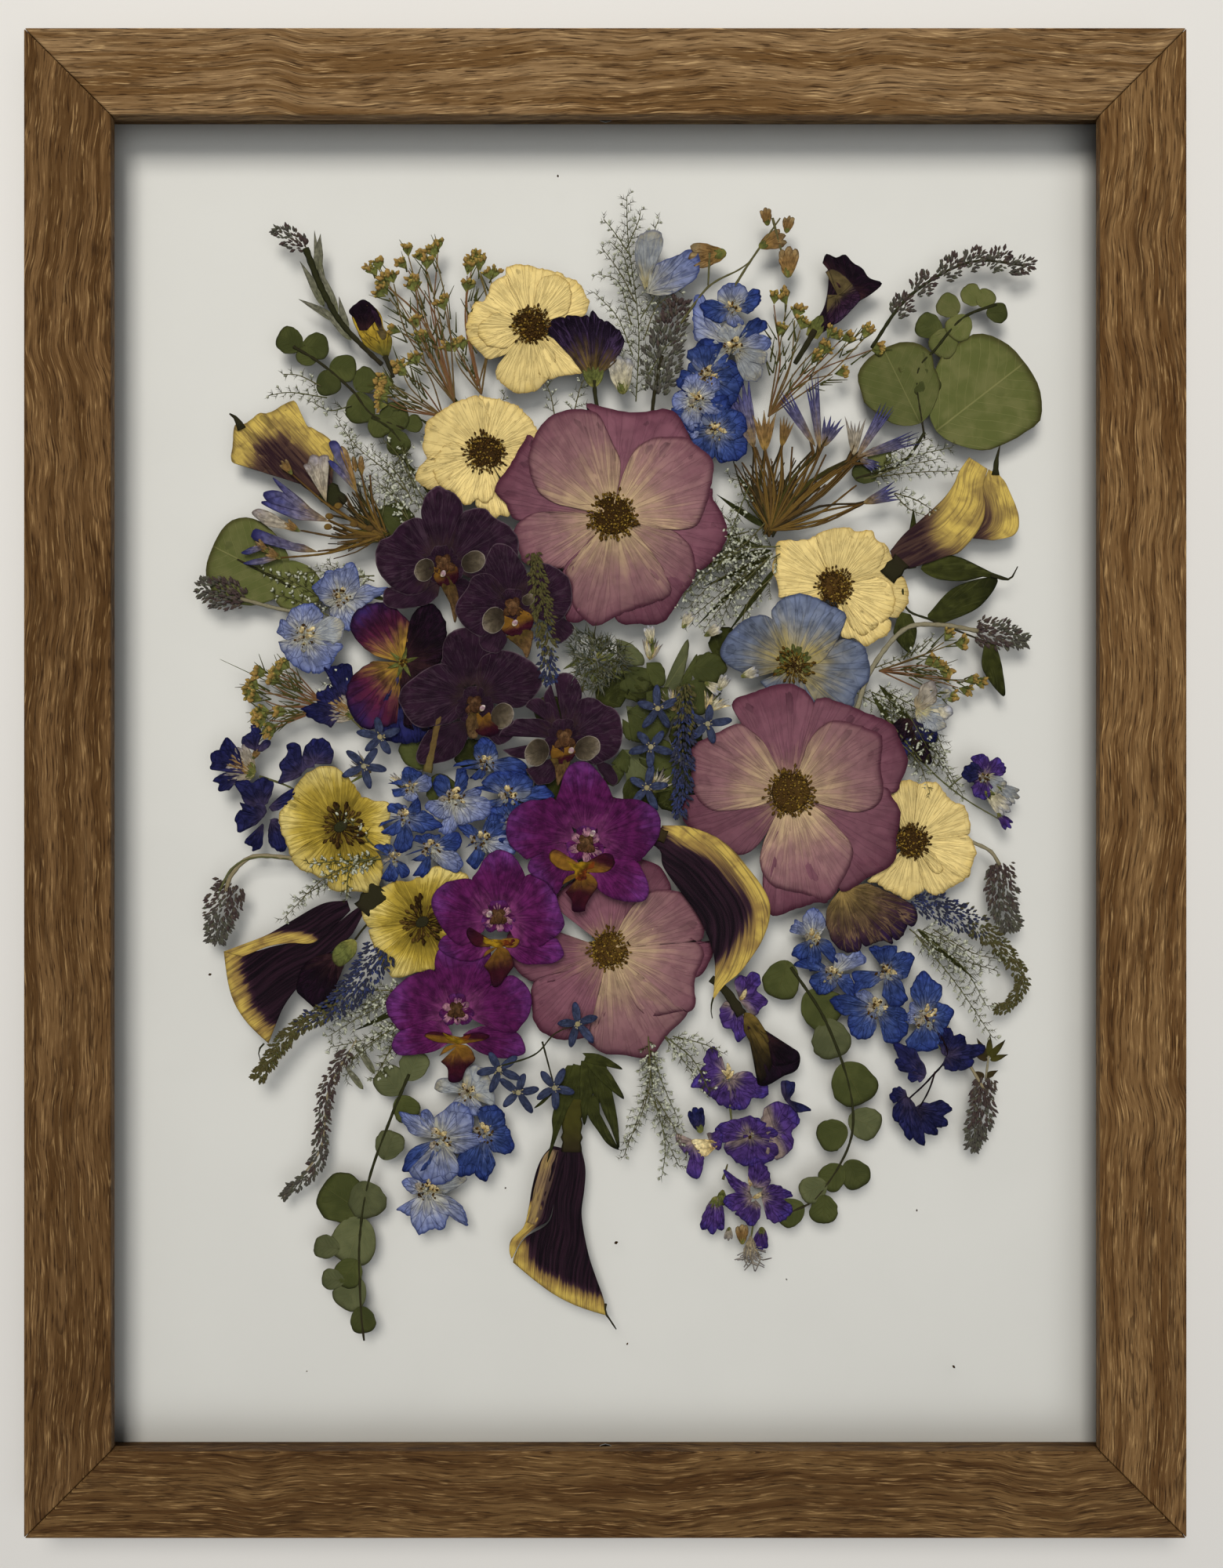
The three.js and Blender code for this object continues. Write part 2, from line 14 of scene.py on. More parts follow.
import bpy
import numpy as np
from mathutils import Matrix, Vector

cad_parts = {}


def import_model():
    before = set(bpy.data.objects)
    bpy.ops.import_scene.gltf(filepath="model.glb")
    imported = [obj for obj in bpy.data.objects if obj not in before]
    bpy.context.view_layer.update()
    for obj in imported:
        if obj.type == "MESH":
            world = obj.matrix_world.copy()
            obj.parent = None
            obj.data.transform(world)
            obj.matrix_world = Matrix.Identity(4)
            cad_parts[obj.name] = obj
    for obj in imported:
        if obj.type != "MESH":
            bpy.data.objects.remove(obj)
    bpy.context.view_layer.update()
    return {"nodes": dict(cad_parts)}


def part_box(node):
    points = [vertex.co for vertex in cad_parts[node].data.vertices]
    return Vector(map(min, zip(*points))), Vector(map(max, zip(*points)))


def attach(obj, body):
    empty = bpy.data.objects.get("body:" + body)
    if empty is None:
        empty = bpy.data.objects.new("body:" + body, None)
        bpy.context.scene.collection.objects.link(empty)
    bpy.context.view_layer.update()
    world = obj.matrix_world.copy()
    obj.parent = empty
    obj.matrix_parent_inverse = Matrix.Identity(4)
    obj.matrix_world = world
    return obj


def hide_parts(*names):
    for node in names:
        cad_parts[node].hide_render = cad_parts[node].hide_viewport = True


LOG = logging.getLogger("pressed_flower_frame")
MM = 0.001
BODY = "root"
BLADE_THICKNESS = 0.1
BLADE_LIFT = 0.1
FRAY_WAVE = 3.2
GLASS_CLEARANCE = 0.1
GOLDEN_ANGLE = 137.5
FIRST_SEED = 11
UV_NAME = "blade"
MIX_SHARE, MIX_UNDER, MIX_OVER, MIX_RESULT = 0, 6, 7, 2

# How much of the light a dull, a satin and a waxed surface throws back.
DULL, SATIN, WAXED = 0.15, 0.2, 0.25

# Steps from the base of a blade to its outline, and points along the outline.
BLOOM_STEPS, ORCHID_STEPS, LOBE_STEPS, LIP_STEPS = (8, 60), (8, 56), (8, 40), (7, 40)
LEAF_STEPS, SPATHE_STEPS, DRAWN_STEPS, ROUND_LEAF_STEPS = (7, 44), (16, 110), (6, 42), (6, 38)
FLORET_STEPS, LONG_LEAF_STEPS, STAR_STEPS, SCALE_STEPS = (4, 30), (4, 28), (4, 24), (3, 14)
FUNNEL_STEPS, ROLL_STEPS = (5, 26), (46, 16)

Point = tuple[float, float]
Colour = tuple[float, float, float]
Face = tuple[int, ...]
Socket = bpy.types.NodeSocket


# ---- Colours and shader building --------------------------------------------------------------


def srgb(red: int, green: int, blue: int) -> Colour:
    """Turns a colour as seen on a screen into the linear one that shaders use.

    Args:
        red: Red, 0 to 255.
        green: Green, 0 to 255.
        blue: Blue, 0 to 255.

    Returns:
        The linear colour.
    """
    def linear(value: int) -> float:
        """Undoes the screen curve of one channel."""
        share = value / 255
        return share / 12.92 if share <= 0.04045 else ((share + 0.055) / 1.055) ** 2.4

    return linear(red), linear(green), linear(blue)


class ShaderTree:
    """A material's nodes, added one call at a time."""

    def __init__(self, name: str) -> None:
        """Starts an empty material.

        Args:
            name: The material's name.
        """
        self.material = bpy.data.materials.new(name)
        self.material.use_nodes = True
        self.nodes = self.material.node_tree.nodes
        self.links = self.material.node_tree.links
        self.nodes.clear()

    def add(self, kind: str, output: int | str = 0, options: dict | None = None,
            **inputs: object) -> Socket | bpy.types.Node:
        """Adds a node, sets or links its inputs and returns one of its outputs.

        Args:
            kind: The node's type, without ShaderNode.
            output: Which output to return.
            options: Properties of the node itself.
            **inputs: Values or sockets for inputs, by name with _ for a space.

        Returns:
            The chosen output socket, or the node itself where it has no output.
        """
        node = self.nodes.new(f"ShaderNode{kind}")
        for key, value in (options or {}).items():
            setattr(node, key, value)
        for key, value in inputs.items():
            self.feed(node.inputs[key.replace("_", " ")], value)
        return node.outputs[output] if node.outputs else node

    def feed(self, socket: bpy.types.NodeSocket, value: object) -> None:
        """Links a socket to another, or sets its value.

        Args:
            socket: The input to feed.
            value: A socket, a number, a colour or a vector.
        """
        if isinstance(value, bpy.types.NodeSocket):
            self.links.new(value, socket)
        elif socket.type == "RGBA":
            socket.default_value = (*value, 1.0)
        else:
            socket.default_value = value

    def math(self, operation: str, first: object, second: object = 0.0, third: object = 0.0) -> Socket:
        """One arithmetic step.

        Args:
            operation: The node's operation.
            first: The first value or socket.
            second: The second one.
            third: The third one.

        Returns:
            The result's socket.
        """
        node = self.nodes.new("ShaderNodeMath")
        node.operation = operation
        for socket, value in zip(node.inputs, (first, second, third)):
            self.feed(socket, value)
        return node.outputs[0]

    def ramp(self, value: object, low: float, high: float, start: float = 0.0,
             end: float = 1.0) -> Socket:
        """Maps a value smoothly from one range to another and clamps it.

        Args:
            value: The socket to map.
            low: The value that gives start.
            high: The value that gives end.
            start: The result at low.
            end: The result at high.

        Returns:
            The result's socket.
        """
        node = self.nodes.new("ShaderNodeMapRange")
        node.interpolation_type = "SMOOTHSTEP"
        if low > high:
            low, high, start, end = high, low, end, start
        for name, number in (("From Min", low), ("From Max", high), ("To Min", start), ("To Max", end)):
            node.inputs[name].default_value = number
        self.feed(node.inputs["Value"], value)
        return node.outputs["Result"]

    def mix(self, share: object, under: object, over: object, blend: str = "MIX") -> Socket:
        """Mixes two colours.

        Args:
            share: How much of the second colour shows, 0 to 1.
            under: The first colour or socket.
            over: The second colour or socket.
            blend: The way they mix.

        Returns:
            The colour socket.
        """
        node = self.nodes.new("ShaderNodeMix")
        node.data_type = "RGBA"
        node.blend_type = blend
        for socket, value in ((MIX_SHARE, share), (MIX_UNDER, under), (MIX_OVER, over)):
            self.feed(node.inputs[socket], value)
        return node.outputs[MIX_RESULT]

    def noise(self, vector: object, scale: float, detail: float = 3.0, warp: float = 0.0) -> Socket:
        """A cloudy value between 0 and 1.

        Args:
            vector: Where it is read.
            scale: Clouds in one unit of the vector.
            detail: How many finer layers it has.
            warp: How far it is distorted.

        Returns:
            The value's socket.
        """
        return self.add("TexNoise", "Fac", Vector=vector, Scale=scale, Detail=detail, Distortion=warp)

    def vector(self, x: object = 0.0, y: object = 0.0, z: object = 0.0) -> Socket:
        """Joins three values into a vector."""
        return self.add("CombineXYZ", X=x, Y=y, Z=z)

    def stretched(self, first: Socket, first_scale: float, second: Socket, second_scale: float,
                  third: object) -> Socket:
        """Scales two coordinates apart, so that clouds read there become streaks.

        Args:
            first: The first coordinate.
            first_scale: Its scale.
            second: The second coordinate.
            second_scale: Its scale.
            third: The third coordinate, or what keeps two patterns apart.

        Returns:
            The vector's socket.
        """
        return self.vector(
            self.math("MULTIPLY", first, first_scale), self.math("MULTIPLY", second, second_scale), third)

    def value_of(self, attribute: str) -> Socket:
        """Reads a number that the mesh stores at its points."""
        return self.add("Attribute", "Fac", {"attribute_name": attribute, "attribute_type": "GEOMETRY"})

    def object_place(self) -> Socket:
        """Where a point lies on the object, in metres."""
        return self.add("TexCoord", "Object")

    def blade_place(self) -> tuple[Socket, Socket]:
        """Reads the blade's own coordinates.

        Returns:
            Two sockets: how far along it, 0 to 1, and how far across, -0.5 to 0.5 of its length.
        """
        split = self.add("SeparateXYZ", 0, None, Vector=self.add("UVMap", 0, {"uv_map": UV_NAME})).node
        return split.outputs[0], self.math("SUBTRACT", split.outputs[1], 0.5)

    def finish(self, colour: object, height: object = None, bump: float = 0.3,
               **shader: object) -> bpy.types.Material:
        """Adds the surface shader and closes the material.

        Args:
            colour: The base colour or its socket.
            height: The socket that lifts the surface, or None.
            bump: The depth of the relief, in millimetres.
            **shader: Values or sockets of the surface shader, by name with _ for a space.

        Returns:
            The finished material.
        """
        surface = self.add("BsdfPrincipled", 0, None, Base_Color=colour, **shader)
        if height is not None:
            normal = self.add("Bump", 0, None, Height=height, Distance=bump * MM, Strength=1.0)
            self.links.new(normal, surface.node.inputs["Normal"])
        self.add("OutputMaterial", 0, None, Surface=surface)
        return self.material


# ---- Finishes ---------------------------------------------------------------------------------


@dataclass(frozen=True)
class PetalFinish:
    """A dried petal: a heart, a body and a tip colour, a rim line (on most petals partly painted shade),
    veins, mottling and creases.
    """

    name: str
    heart: Colour
    body: Colour
    tip: Colour
    rim: Colour
    vein: Colour
    heart_reach: float = 0.35
    tip_start: float = 0.6
    rim_width: float = 0.06
    rim_share: float = 0.8
    vein_share: float = 0.35
    vein_count: float = 26.0
    mottle: float = 0.25
    mottle_scale: float = 160.0
    crease: float = 0.15
    bump: float = 0.25
    roughness: float = 0.75

    def material(self) -> bpy.types.Material:
        """Builds the petal's material.

        Returns:
            The material.
        """
        tree = ShaderTree(self.name)
        place = tree.object_place()
        along, _ = tree.blade_place()
        rim, ray, tone = (tree.value_of(name) for name in ("rim", "ray", "tone"))
        drift = tree.math("MULTIPLY_ADD", tree.noise(place, 90.0, 3.0, 0.6), 0.36, -0.18)
        reach = tree.math("ADD", along, drift)
        apart = tree.math("MULTIPLY", tone, 9.0)
        streak = tree.noise(tree.stretched(ray, self.vein_count, along, 1.6, apart), 1.0, 3.0, 0.4)
        frayed = tree.math("MULTIPLY_ADD", streak, 0.5, tree.math("ADD", reach, -0.25))
        colour = tree.mix(tree.ramp(frayed, 0.0, self.heart_reach * 1.6), self.heart, self.body)
        colour = tree.mix(tree.ramp(frayed, self.tip_start, 1.05), colour, self.tip)
        line = tree.math("ABSOLUTE", tree.math("SUBTRACT", streak, 0.5))
        vein = tree.math("MULTIPLY", tree.ramp(line, 0.05, 0.0), tree.ramp(along, 0.08, 0.3))
        colour = tree.mix(tree.math("MULTIPLY", vein, self.vein_share), colour, self.vein)
        cloud = tree.noise(place, self.mottle_scale, 5.0, 0.3)
        shade = tree.ramp(cloud, 0.3, 0.72, 1.0 - self.mottle, 1.0 + self.mottle)
        lift = tree.math("MULTIPLY", shade, tree.math("MULTIPLY_ADD", tone, 0.3, 0.85))
        colour = tree.mix(1.0, colour, tree.vector(lift, lift, lift), "MULTIPLY")
        # Rim line along the outline: on most petals a darker line, partly the dried edge's own colour and
        # partly painted shade where one petal lies over the next.
        edge = tree.math("ADD", rim, tree.math("MULTIPLY_ADD", cloud, 0.05, -0.025))
        edge = tree.math("MULTIPLY", tree.ramp(edge, 1.0 - self.rim_width, 1.0), self.rim_share)
        colour = tree.mix(edge, colour, self.rim)
        folds = tree.add("TexVoronoi", "Distance", {"feature": "DISTANCE_TO_EDGE"},
                         Vector=tree.stretched(ray, 5.0, along, 2.0, tone), Scale=1.0)
        fold = tree.ramp(folds, 0.03, 0.0)
        colour = tree.mix(tree.math("MULTIPLY", fold, self.crease), colour, self.vein)
        height = tree.math("MULTIPLY_ADD", vein, 0.5, tree.math("MULTIPLY", cloud, 0.7))
        height = tree.math("ADD", height, tree.math("MULTIPLY", fold, self.crease * 2))
        return tree.finish(colour, height, self.bump, Roughness=self.roughness, Specular_IOR_Level=DULL)


@dataclass(frozen=True)
class LeafFinish:
    """A dried leaf with a midrib, side veins that leave it at a slant, and a darker rim."""

    name: str
    body: Colour
    patch: Colour
    vein: Colour
    rim: Colour
    vein_share: float = 0.5
    side_veins: float = 9.0
    roughness: float = 0.6

    def material(self) -> bpy.types.Material:
        """Builds the leaf's material.

        Returns:
            The material.
        """
        tree = ShaderTree(self.name)
        place = tree.object_place()
        along, across = tree.blade_place()
        rim, tone = tree.value_of("rim"), tree.value_of("tone")
        aside = tree.math("ABSOLUTE", across)
        cloud = tree.noise(place, 140.0, 5.0, 0.4)
        colour = tree.mix(tree.ramp(cloud, 0.35, 0.7), self.body, self.patch)
        midrib = tree.ramp(aside, 0.012, 0.003)
        slant = tree.math("SUBTRACT", along, tree.math("MULTIPLY", aside, 0.9))
        slant = tree.math("ADD", slant, tree.math("MULTIPLY", tree.noise(place, 60.0, 2.0), 0.1))
        phase = tree.math("FRACT", tree.math("MULTIPLY", slant, self.side_veins))
        side = tree.ramp(tree.math("ABSOLUTE", tree.math("SUBTRACT", phase, 0.5)), 0.07, 0.0, 0.0, 0.6)
        vein = tree.math("MAXIMUM", midrib, side)
        colour = tree.mix(tree.math("MULTIPLY", vein, self.vein_share), colour, self.vein)
        lift = tree.math("MULTIPLY_ADD", tone, 0.36, 0.82)
        colour = tree.mix(1.0, colour, tree.vector(lift, lift, lift), "MULTIPLY")
        colour = tree.mix(tree.ramp(rim, 0.93, 1.0, 0.0, 0.7), colour, self.rim)
        height = tree.math("MULTIPLY_ADD", vein, 0.8, cloud)
        return tree.finish(colour, height, 0.2, Roughness=self.roughness, Specular_IOR_Level=WAXED)


@dataclass(frozen=True)
class SpatheFinish:
    """A calla's spathe: a dark body and a pale rim that meet in long streaks."""

    name: str
    dark: Colour
    mid: Colour
    pale: Colour
    fringe: Colour
    streaks: float = 60.0
    vein_share: float = 0.5
    roughness: float = 0.5

    def material(self) -> bpy.types.Material:
        """Builds the spathe's material.

        Returns:
            The material.
        """
        tree = ShaderTree(self.name)
        place = tree.object_place()
        along, across = tree.blade_place()
        pale, tone = tree.value_of("pale"), tree.value_of("tone")
        fibre = tree.noise(tree.stretched(across, self.streaks, along, 2.0, tone), 1.0, 4.0, 0.3)
        vein = tree.noise(tree.stretched(across, self.streaks * 1.8, along, 4.0, tone), 1.0, 3.0, 0.4)
        frayed = tree.math("ADD", pale, tree.math("MULTIPLY_ADD", fibre, 0.62, -0.31))
        cloud = tree.noise(place, 130.0, 4.0, 0.4)
        dark = tree.mix(tree.ramp(fibre, 0.45, 0.62, 0.0, 0.5), self.dark, self.mid)
        light = tree.mix(tree.ramp(cloud, 0.35, 0.7), self.pale, self.fringe)
        colour = tree.mix(tree.ramp(frayed, 0.16, 0.36), dark, self.mid)
        colour = tree.mix(tree.ramp(frayed, 0.32, 0.54), colour, self.fringe)
        colour = tree.mix(tree.ramp(frayed, 0.48, 0.78), colour, light)
        colour = tree.mix(tree.ramp(vein, 0.5, 0.62, 0.0, self.vein_share), colour, self.mid)
        rim = tree.value_of("rim")
        colour = tree.mix(tree.ramp(rim, 0.95, 1.0, 0.0, 0.35), colour, self.dark)
        height = tree.math("MULTIPLY_ADD", fibre, 0.8, cloud)
        return tree.finish(colour, height, 0.3, Roughness=self.roughness, Specular_IOR_Level=SATIN)


@dataclass(frozen=True)
class BitFinish:
    """Small parts such as buds, anthers, needles and stems: a base, a tip and a second colour."""

    name: str
    base: Colour
    tip: Colour
    other: Colour
    tip_start: float = 0.5
    spread: float = 0.5
    grain: float = 900.0
    roughness: float = 0.8

    def material(self) -> bpy.types.Material:
        """Builds the material of the small parts.

        Returns:
            The material.
        """
        tree = ShaderTree(self.name)
        place = tree.object_place()
        along, _ = tree.blade_place()
        tone = tree.value_of("tone")
        grain = tree.noise(place, self.grain, 3.0)
        colour = tree.mix(tree.ramp(along, self.tip_start, 1.0), self.base, self.tip)
        colour = tree.mix(tree.ramp(tone, 0.15, 0.75, 0.0, self.spread * 1.6), colour, self.other)
        lift = tree.math("MULTIPLY_ADD", tree.math("ADD", tone, grain), 0.6, 0.4)
        colour = tree.mix(1.0, colour, tree.vector(lift, lift, lift), "MULTIPLY")
        return tree.finish(colour, grain, 0.15, Roughness=self.roughness, Specular_IOR_Level=DULL)


@dataclass(frozen=True)
class WoodFinish:
    """Oak-look wrap: long grain that wanders, dark pores and pale raised flecks."""

    name: str = "oak wrap across"
    upright: bool = False
    body: Colour = srgb(122, 92, 56)
    shade: Colour = srgb(88, 60, 30)
    pore: Colour = srgb(46, 28, 12)
    fleck: Colour = srgb(176, 142, 94)

    def material(self) -> bpy.types.Material:
        """Builds the wood, whose grain follows the length of its rail.

        Returns:
            The material.
        """
        tree = ShaderTree(self.name)
        split = tree.add("SeparateXYZ", 0, None, Vector=tree.object_place()).node
        x, y, z = split.outputs
        run, face = (y, x) if self.upright else (x, y)
        across = tree.math("MULTIPLY_ADD", z, 1.3, face)
        wander = tree.noise(tree.vector(tree.math("MULTIPLY", run, 7.0), across, 0.0), 1.0, 3.0, 0.5)
        sway = tree.math("MULTIPLY_ADD", wander, 0.03, across)
        figure = tree.noise(tree.stretched(run, 9.0, sway, 150.0, 3.0), 1.0, 4.0, 0.9)
        fine = tree.noise(tree.stretched(run, 90.0, sway, 1500.0, 1.0), 1.0, 4.0, 0.3)
        medium = tree.noise(tree.stretched(run, 36.0, sway, 520.0, 8.0), 1.0, 3.0, 0.5)
        ring_place = tree.math("MULTIPLY_ADD", figure, 4.5, tree.math("MULTIPLY", sway, 26.0))
        rings = tree.math("FRACT", ring_place)
        ring = tree.math("MULTIPLY", tree.ramp(rings, 0.72, 0.97), tree.ramp(rings, 1.0, 0.97))
        colour = tree.mix(tree.ramp(figure, 0.38, 0.64), self.body, self.shade)
        colour = tree.mix(tree.math("MULTIPLY", ring, 0.55), colour, self.pore)
        colour = tree.mix(tree.ramp(medium, 0.5, 0.34, 0.0, 0.55), colour, self.shade)
        colour = tree.mix(tree.ramp(fine, 0.47, 0.33, 0.0, 0.85), colour, self.pore)
        fleck = tree.math("MULTIPLY", tree.ramp(fine, 0.53, 0.66), tree.ramp(medium, 0.42, 0.62))
        colour = tree.mix(tree.math("MULTIPLY", fleck, 0.75), colour, self.fleck)
        height = tree.math("MULTIPLY_ADD", fine, 0.8, tree.math("MULTIPLY", medium, 0.4))
        return tree.finish(colour, height, 0.35, Roughness=0.65, Specular_IOR_Level=WAXED)


@dataclass(frozen=True)
class GlassFinish:
    """Clear float glass, seen through, with a faint gloss."""

    name: str = "float glass"
    tint: Colour = (0.996, 0.998, 0.996)
    gloss: float = 0.006

    def material(self) -> bpy.types.Material:
        """Builds the glass.

        Returns:
            The material.
        """
        tree = ShaderTree(self.name)
        clear = tree.add("BsdfTransparent", 0, None, Color=self.tint)
        shine = tree.add("BsdfAnisotropic", 0, None, Color=(1.0, 1.0, 1.0), Roughness=0.03)
        dust = tree.noise(tree.object_place(), 22.0, 4.0, 0.5)
        share = tree.ramp(dust, 0.3, 0.8, self.gloss * 0.6, self.gloss * 1.4)
        mixed = tree.nodes.new("ShaderNodeMixShader")
        tree.feed(mixed.inputs[0], share)
        tree.links.new(clear, mixed.inputs[1])
        tree.links.new(shine, mixed.inputs[2])
        tree.add("OutputMaterial", 0, None, Surface=mixed.outputs[0])
        return tree.material


@dataclass(frozen=True)
class SteelFinish:
    """Zinc-plated sheet with fine brushing and dull spots."""

    name: str = "plated steel"

    def material(self) -> bpy.types.Material:
        """Builds the steel.

        Returns:
            The material.
        """
        tree = ShaderTree(self.name)
        place = tree.object_place()
        stretched = tree.add("Mapping", 0, None, Vector=place, Scale=(60.0, 900.0, 60.0))
        brushing = tree.noise(stretched, 1.0, 3.0)
        spots = tree.noise(place, 300.0, 4.0)
        colour = tree.mix(tree.ramp(spots, 0.4, 0.7), srgb(168, 170, 172), srgb(128, 130, 134))
        rough = tree.math("MULTIPLY_ADD", brushing, 0.25, 0.25)
        return tree.finish(colour, brushing, 0.03, Metallic=1.0, Roughness=rough)


@dataclass(frozen=True)
class SheetFinish:
    """The pale cloth-like floor."""

    name: str = "pale floor"

    def material(self) -> bpy.types.Material:
        """Builds the floor.

        Returns:
            The material.
        """
        tree = ShaderTree(self.name)
        cloud = tree.noise(tree.object_place(), 3.0, 3.0)
        colour = tree.mix(cloud, srgb(215, 212, 206), srgb(221, 218, 212))
        return tree.finish(colour, Roughness=0.9)


class Finish(Enum):
    """Every finish in the bunch and its frame."""

    # Lit and shaded copies of one oak: the top rail is painted lighter and the left and bottom rails darker
    # than the right one, as painted light and shade for how the window light falls across the frame.
    OAK_TOP = WoodFinish(
        "oak wrap top", False, srgb(134, 106, 72), srgb(100, 72, 40), fleck=srgb(186, 154, 108))
    OAK_BOTTOM = WoodFinish(
        "oak wrap bottom", False, srgb(106, 79, 46), srgb(76, 51, 25), fleck=srgb(158, 126, 82))
    OAK_LEFT = WoodFinish(
        "oak wrap left", True, srgb(108, 80, 48), srgb(78, 53, 26), fleck=srgb(160, 128, 84))
    OAK_RIGHT = WoodFinish("oak wrap right", True)
    GLASS = GlassFinish()
    STEEL = SteelFinish()
    FLOOR = SheetFinish()
    # The roses' darker tips and dark rim lines are partly the dried petals' own colour and partly painted
    # shade along their curled, overlapping edges.
    ROSE = PetalFinish(
        "mauve rose petal", srgb(184, 158, 120), srgb(134, 97, 98), srgb(116, 76, 84),
        srgb(74, 32, 48), srgb(92, 52, 64), heart_reach=0.42, tip_start=0.58, rim_width=0.06,
        vein_share=0.26, vein_count=34.0, mottle=0.12, bump=0.25, crease=0.12)
    ROSE_SHADE = PetalFinish(
        "shaded rose petal", srgb(146, 116, 96), srgb(112, 72, 82), srgb(96, 56, 68),
        srgb(70, 28, 44), srgb(80, 42, 56), heart_reach=0.3, tip_start=0.55, rim_width=0.06,
        vein_share=0.26, vein_count=30.0, mottle=0.12, crease=0.1)
    CREAM = PetalFinish(
        "pale yellow petal", srgb(190, 162, 92), srgb(218, 193, 127), srgb(214, 186, 114),
        srgb(172, 138, 70), srgb(166, 134, 68), heart_reach=0.2, tip_start=0.8, rim_width=0.035,
        rim_share=0.6, vein_share=0.22, vein_count=34.0, mottle=0.1, crease=0.1, bump=0.35)
    POPPY = PetalFinish(
        "yellow poppy petal", srgb(84, 68, 16), srgb(176, 150, 56), srgb(202, 182, 112),
        srgb(150, 124, 58), srgb(104, 86, 28), heart_reach=0.5, tip_start=0.5, rim_width=0.04,
        vein_share=0.4, vein_count=30.0, mottle=0.15, crease=0.1, bump=0.35)
    HELLEBORE = PetalFinish(
        "grey blue petal", srgb(150, 132, 70), srgb(100, 105, 116), srgb(90, 99, 124),
        srgb(60, 66, 88), srgb(60, 66, 80), heart_reach=0.45, tip_start=0.5, rim_width=0.05,
        vein_share=0.5, vein_count=26.0, mottle=0.25, crease=0.2)
    DARK_ORCHID = PetalFinish(
        "aubergine petal", srgb(44, 30, 30), srgb(34, 16, 30), srgb(42, 22, 36), srgb(100, 82, 90),
        srgb(74, 56, 66), heart_reach=0.2, tip_start=0.5, rim_width=0.028, rim_share=0.7,
        vein_share=0.35, vein_count=30.0, mottle=0.3, mottle_scale=220.0)
    ORCHID_LOBE = PetalFinish(
        "greenish lip lobe", srgb(48, 40, 30), srgb(84, 74, 58), srgb(116, 104, 90),
        srgb(164, 152, 140), srgb(60, 48, 40), heart_reach=0.5, tip_start=0.6, rim_width=0.08,
        rim_share=0.6, vein_share=0.3, vein_count=10.0, mottle=0.25, mottle_scale=400.0)
    ORCHID_HEART = PetalFinish(
        "tan orchid lip", srgb(92, 66, 42), srgb(74, 48, 28), srgb(62, 38, 24), srgb(44, 26, 20),
        srgb(46, 28, 18), heart_reach=0.5, tip_start=0.6, vein_share=0.5, vein_count=8.0,
        mottle=0.35, mottle_scale=500.0)
    PURPLE_ORCHID = PetalFinish(
        "bright purple petal", srgb(100, 44, 84), srgb(76, 20, 66), srgb(90, 40, 98),
        srgb(54, 12, 46), srgb(46, 8, 44), heart_reach=0.25, tip_start=0.55, rim_width=0.03,
        rim_share=0.5, vein_share=0.35, vein_count=24.0, mottle=0.4, mottle_scale=260.0)
    ORCHID_WHITE = PetalFinish(
        "pink white column", srgb(196, 180, 150), srgb(176, 140, 150), srgb(226, 214, 204),
        srgb(150, 110, 120), srgb(120, 80, 90), mottle=0.3, mottle_scale=700.0)
    PERIWINKLE = PetalFinish(
        "pale delphinium petal", srgb(160, 156, 138), srgb(116, 122, 148), srgb(94, 104, 148),
        srgb(58, 70, 122), srgb(64, 72, 112), heart_reach=0.4, tip_start=0.5, rim_width=0.08,
        vein_share=0.5, vein_count=16.0, mottle=0.25, mottle_scale=300.0, crease=0.35, bump=0.4)
    BLUE = PetalFinish(
        "blue delphinium petal", srgb(100, 104, 116), srgb(50, 65, 112), srgb(36, 51, 108),
        srgb(20, 28, 72), srgb(20, 30, 68), heart_reach=0.3, tip_start=0.45, rim_width=0.08,
        vein_share=0.5, vein_count=15.0, mottle=0.35, mottle_scale=300.0, crease=0.35, bump=0.4)
    NAVY = PetalFinish(
        "navy larkspur petal", srgb(52, 44, 66), srgb(30, 30, 66), srgb(22, 24, 70), srgb(18, 18, 48),
        srgb(14, 14, 36), vein_share=0.5, vein_count=14.0, mottle=0.4, mottle_scale=320.0,
        crease=0.3, bump=0.4)
    PURPLE = PetalFinish(
        "purple larkspur petal", srgb(120, 104, 96), srgb(66, 44, 98), srgb(62, 46, 116),
        srgb(40, 26, 76), srgb(38, 22, 66), heart_reach=0.25, vein_share=0.5, vein_count=14.0,
        mottle=0.4, mottle_scale=300.0, crease=0.35, bump=0.4)
    SLATE = PetalFinish(
        "slate blue star petal", srgb(46, 50, 70), srgb(52, 58, 80), srgb(46, 52, 80),
        srgb(32, 36, 64), srgb(32, 36, 60), vein_share=0.5, vein_count=6.0, mottle=0.3,
        mottle_scale=500.0)
    AGAPANTHUS = PetalFinish(
        "agapanthus petal", srgb(124, 102, 64), srgb(104, 98, 112), srgb(54, 56, 108),
        srgb(36, 34, 78), srgb(48, 42, 76), heart_reach=0.35, tip_start=0.3, rim_width=0.12,
        vein_share=0.6, vein_count=5.0, mottle=0.35, mottle_scale=420.0)
    PANSY = PetalFinish(
        "magenta pansy petal", srgb(142, 112, 38), srgb(74, 24, 46), srgb(38, 24, 66),
        srgb(24, 12, 34), srgb(34, 12, 28), heart_reach=0.35, tip_start=0.5, vein_share=0.6,
        vein_count=14.0, mottle=0.5, mottle_scale=120.0)
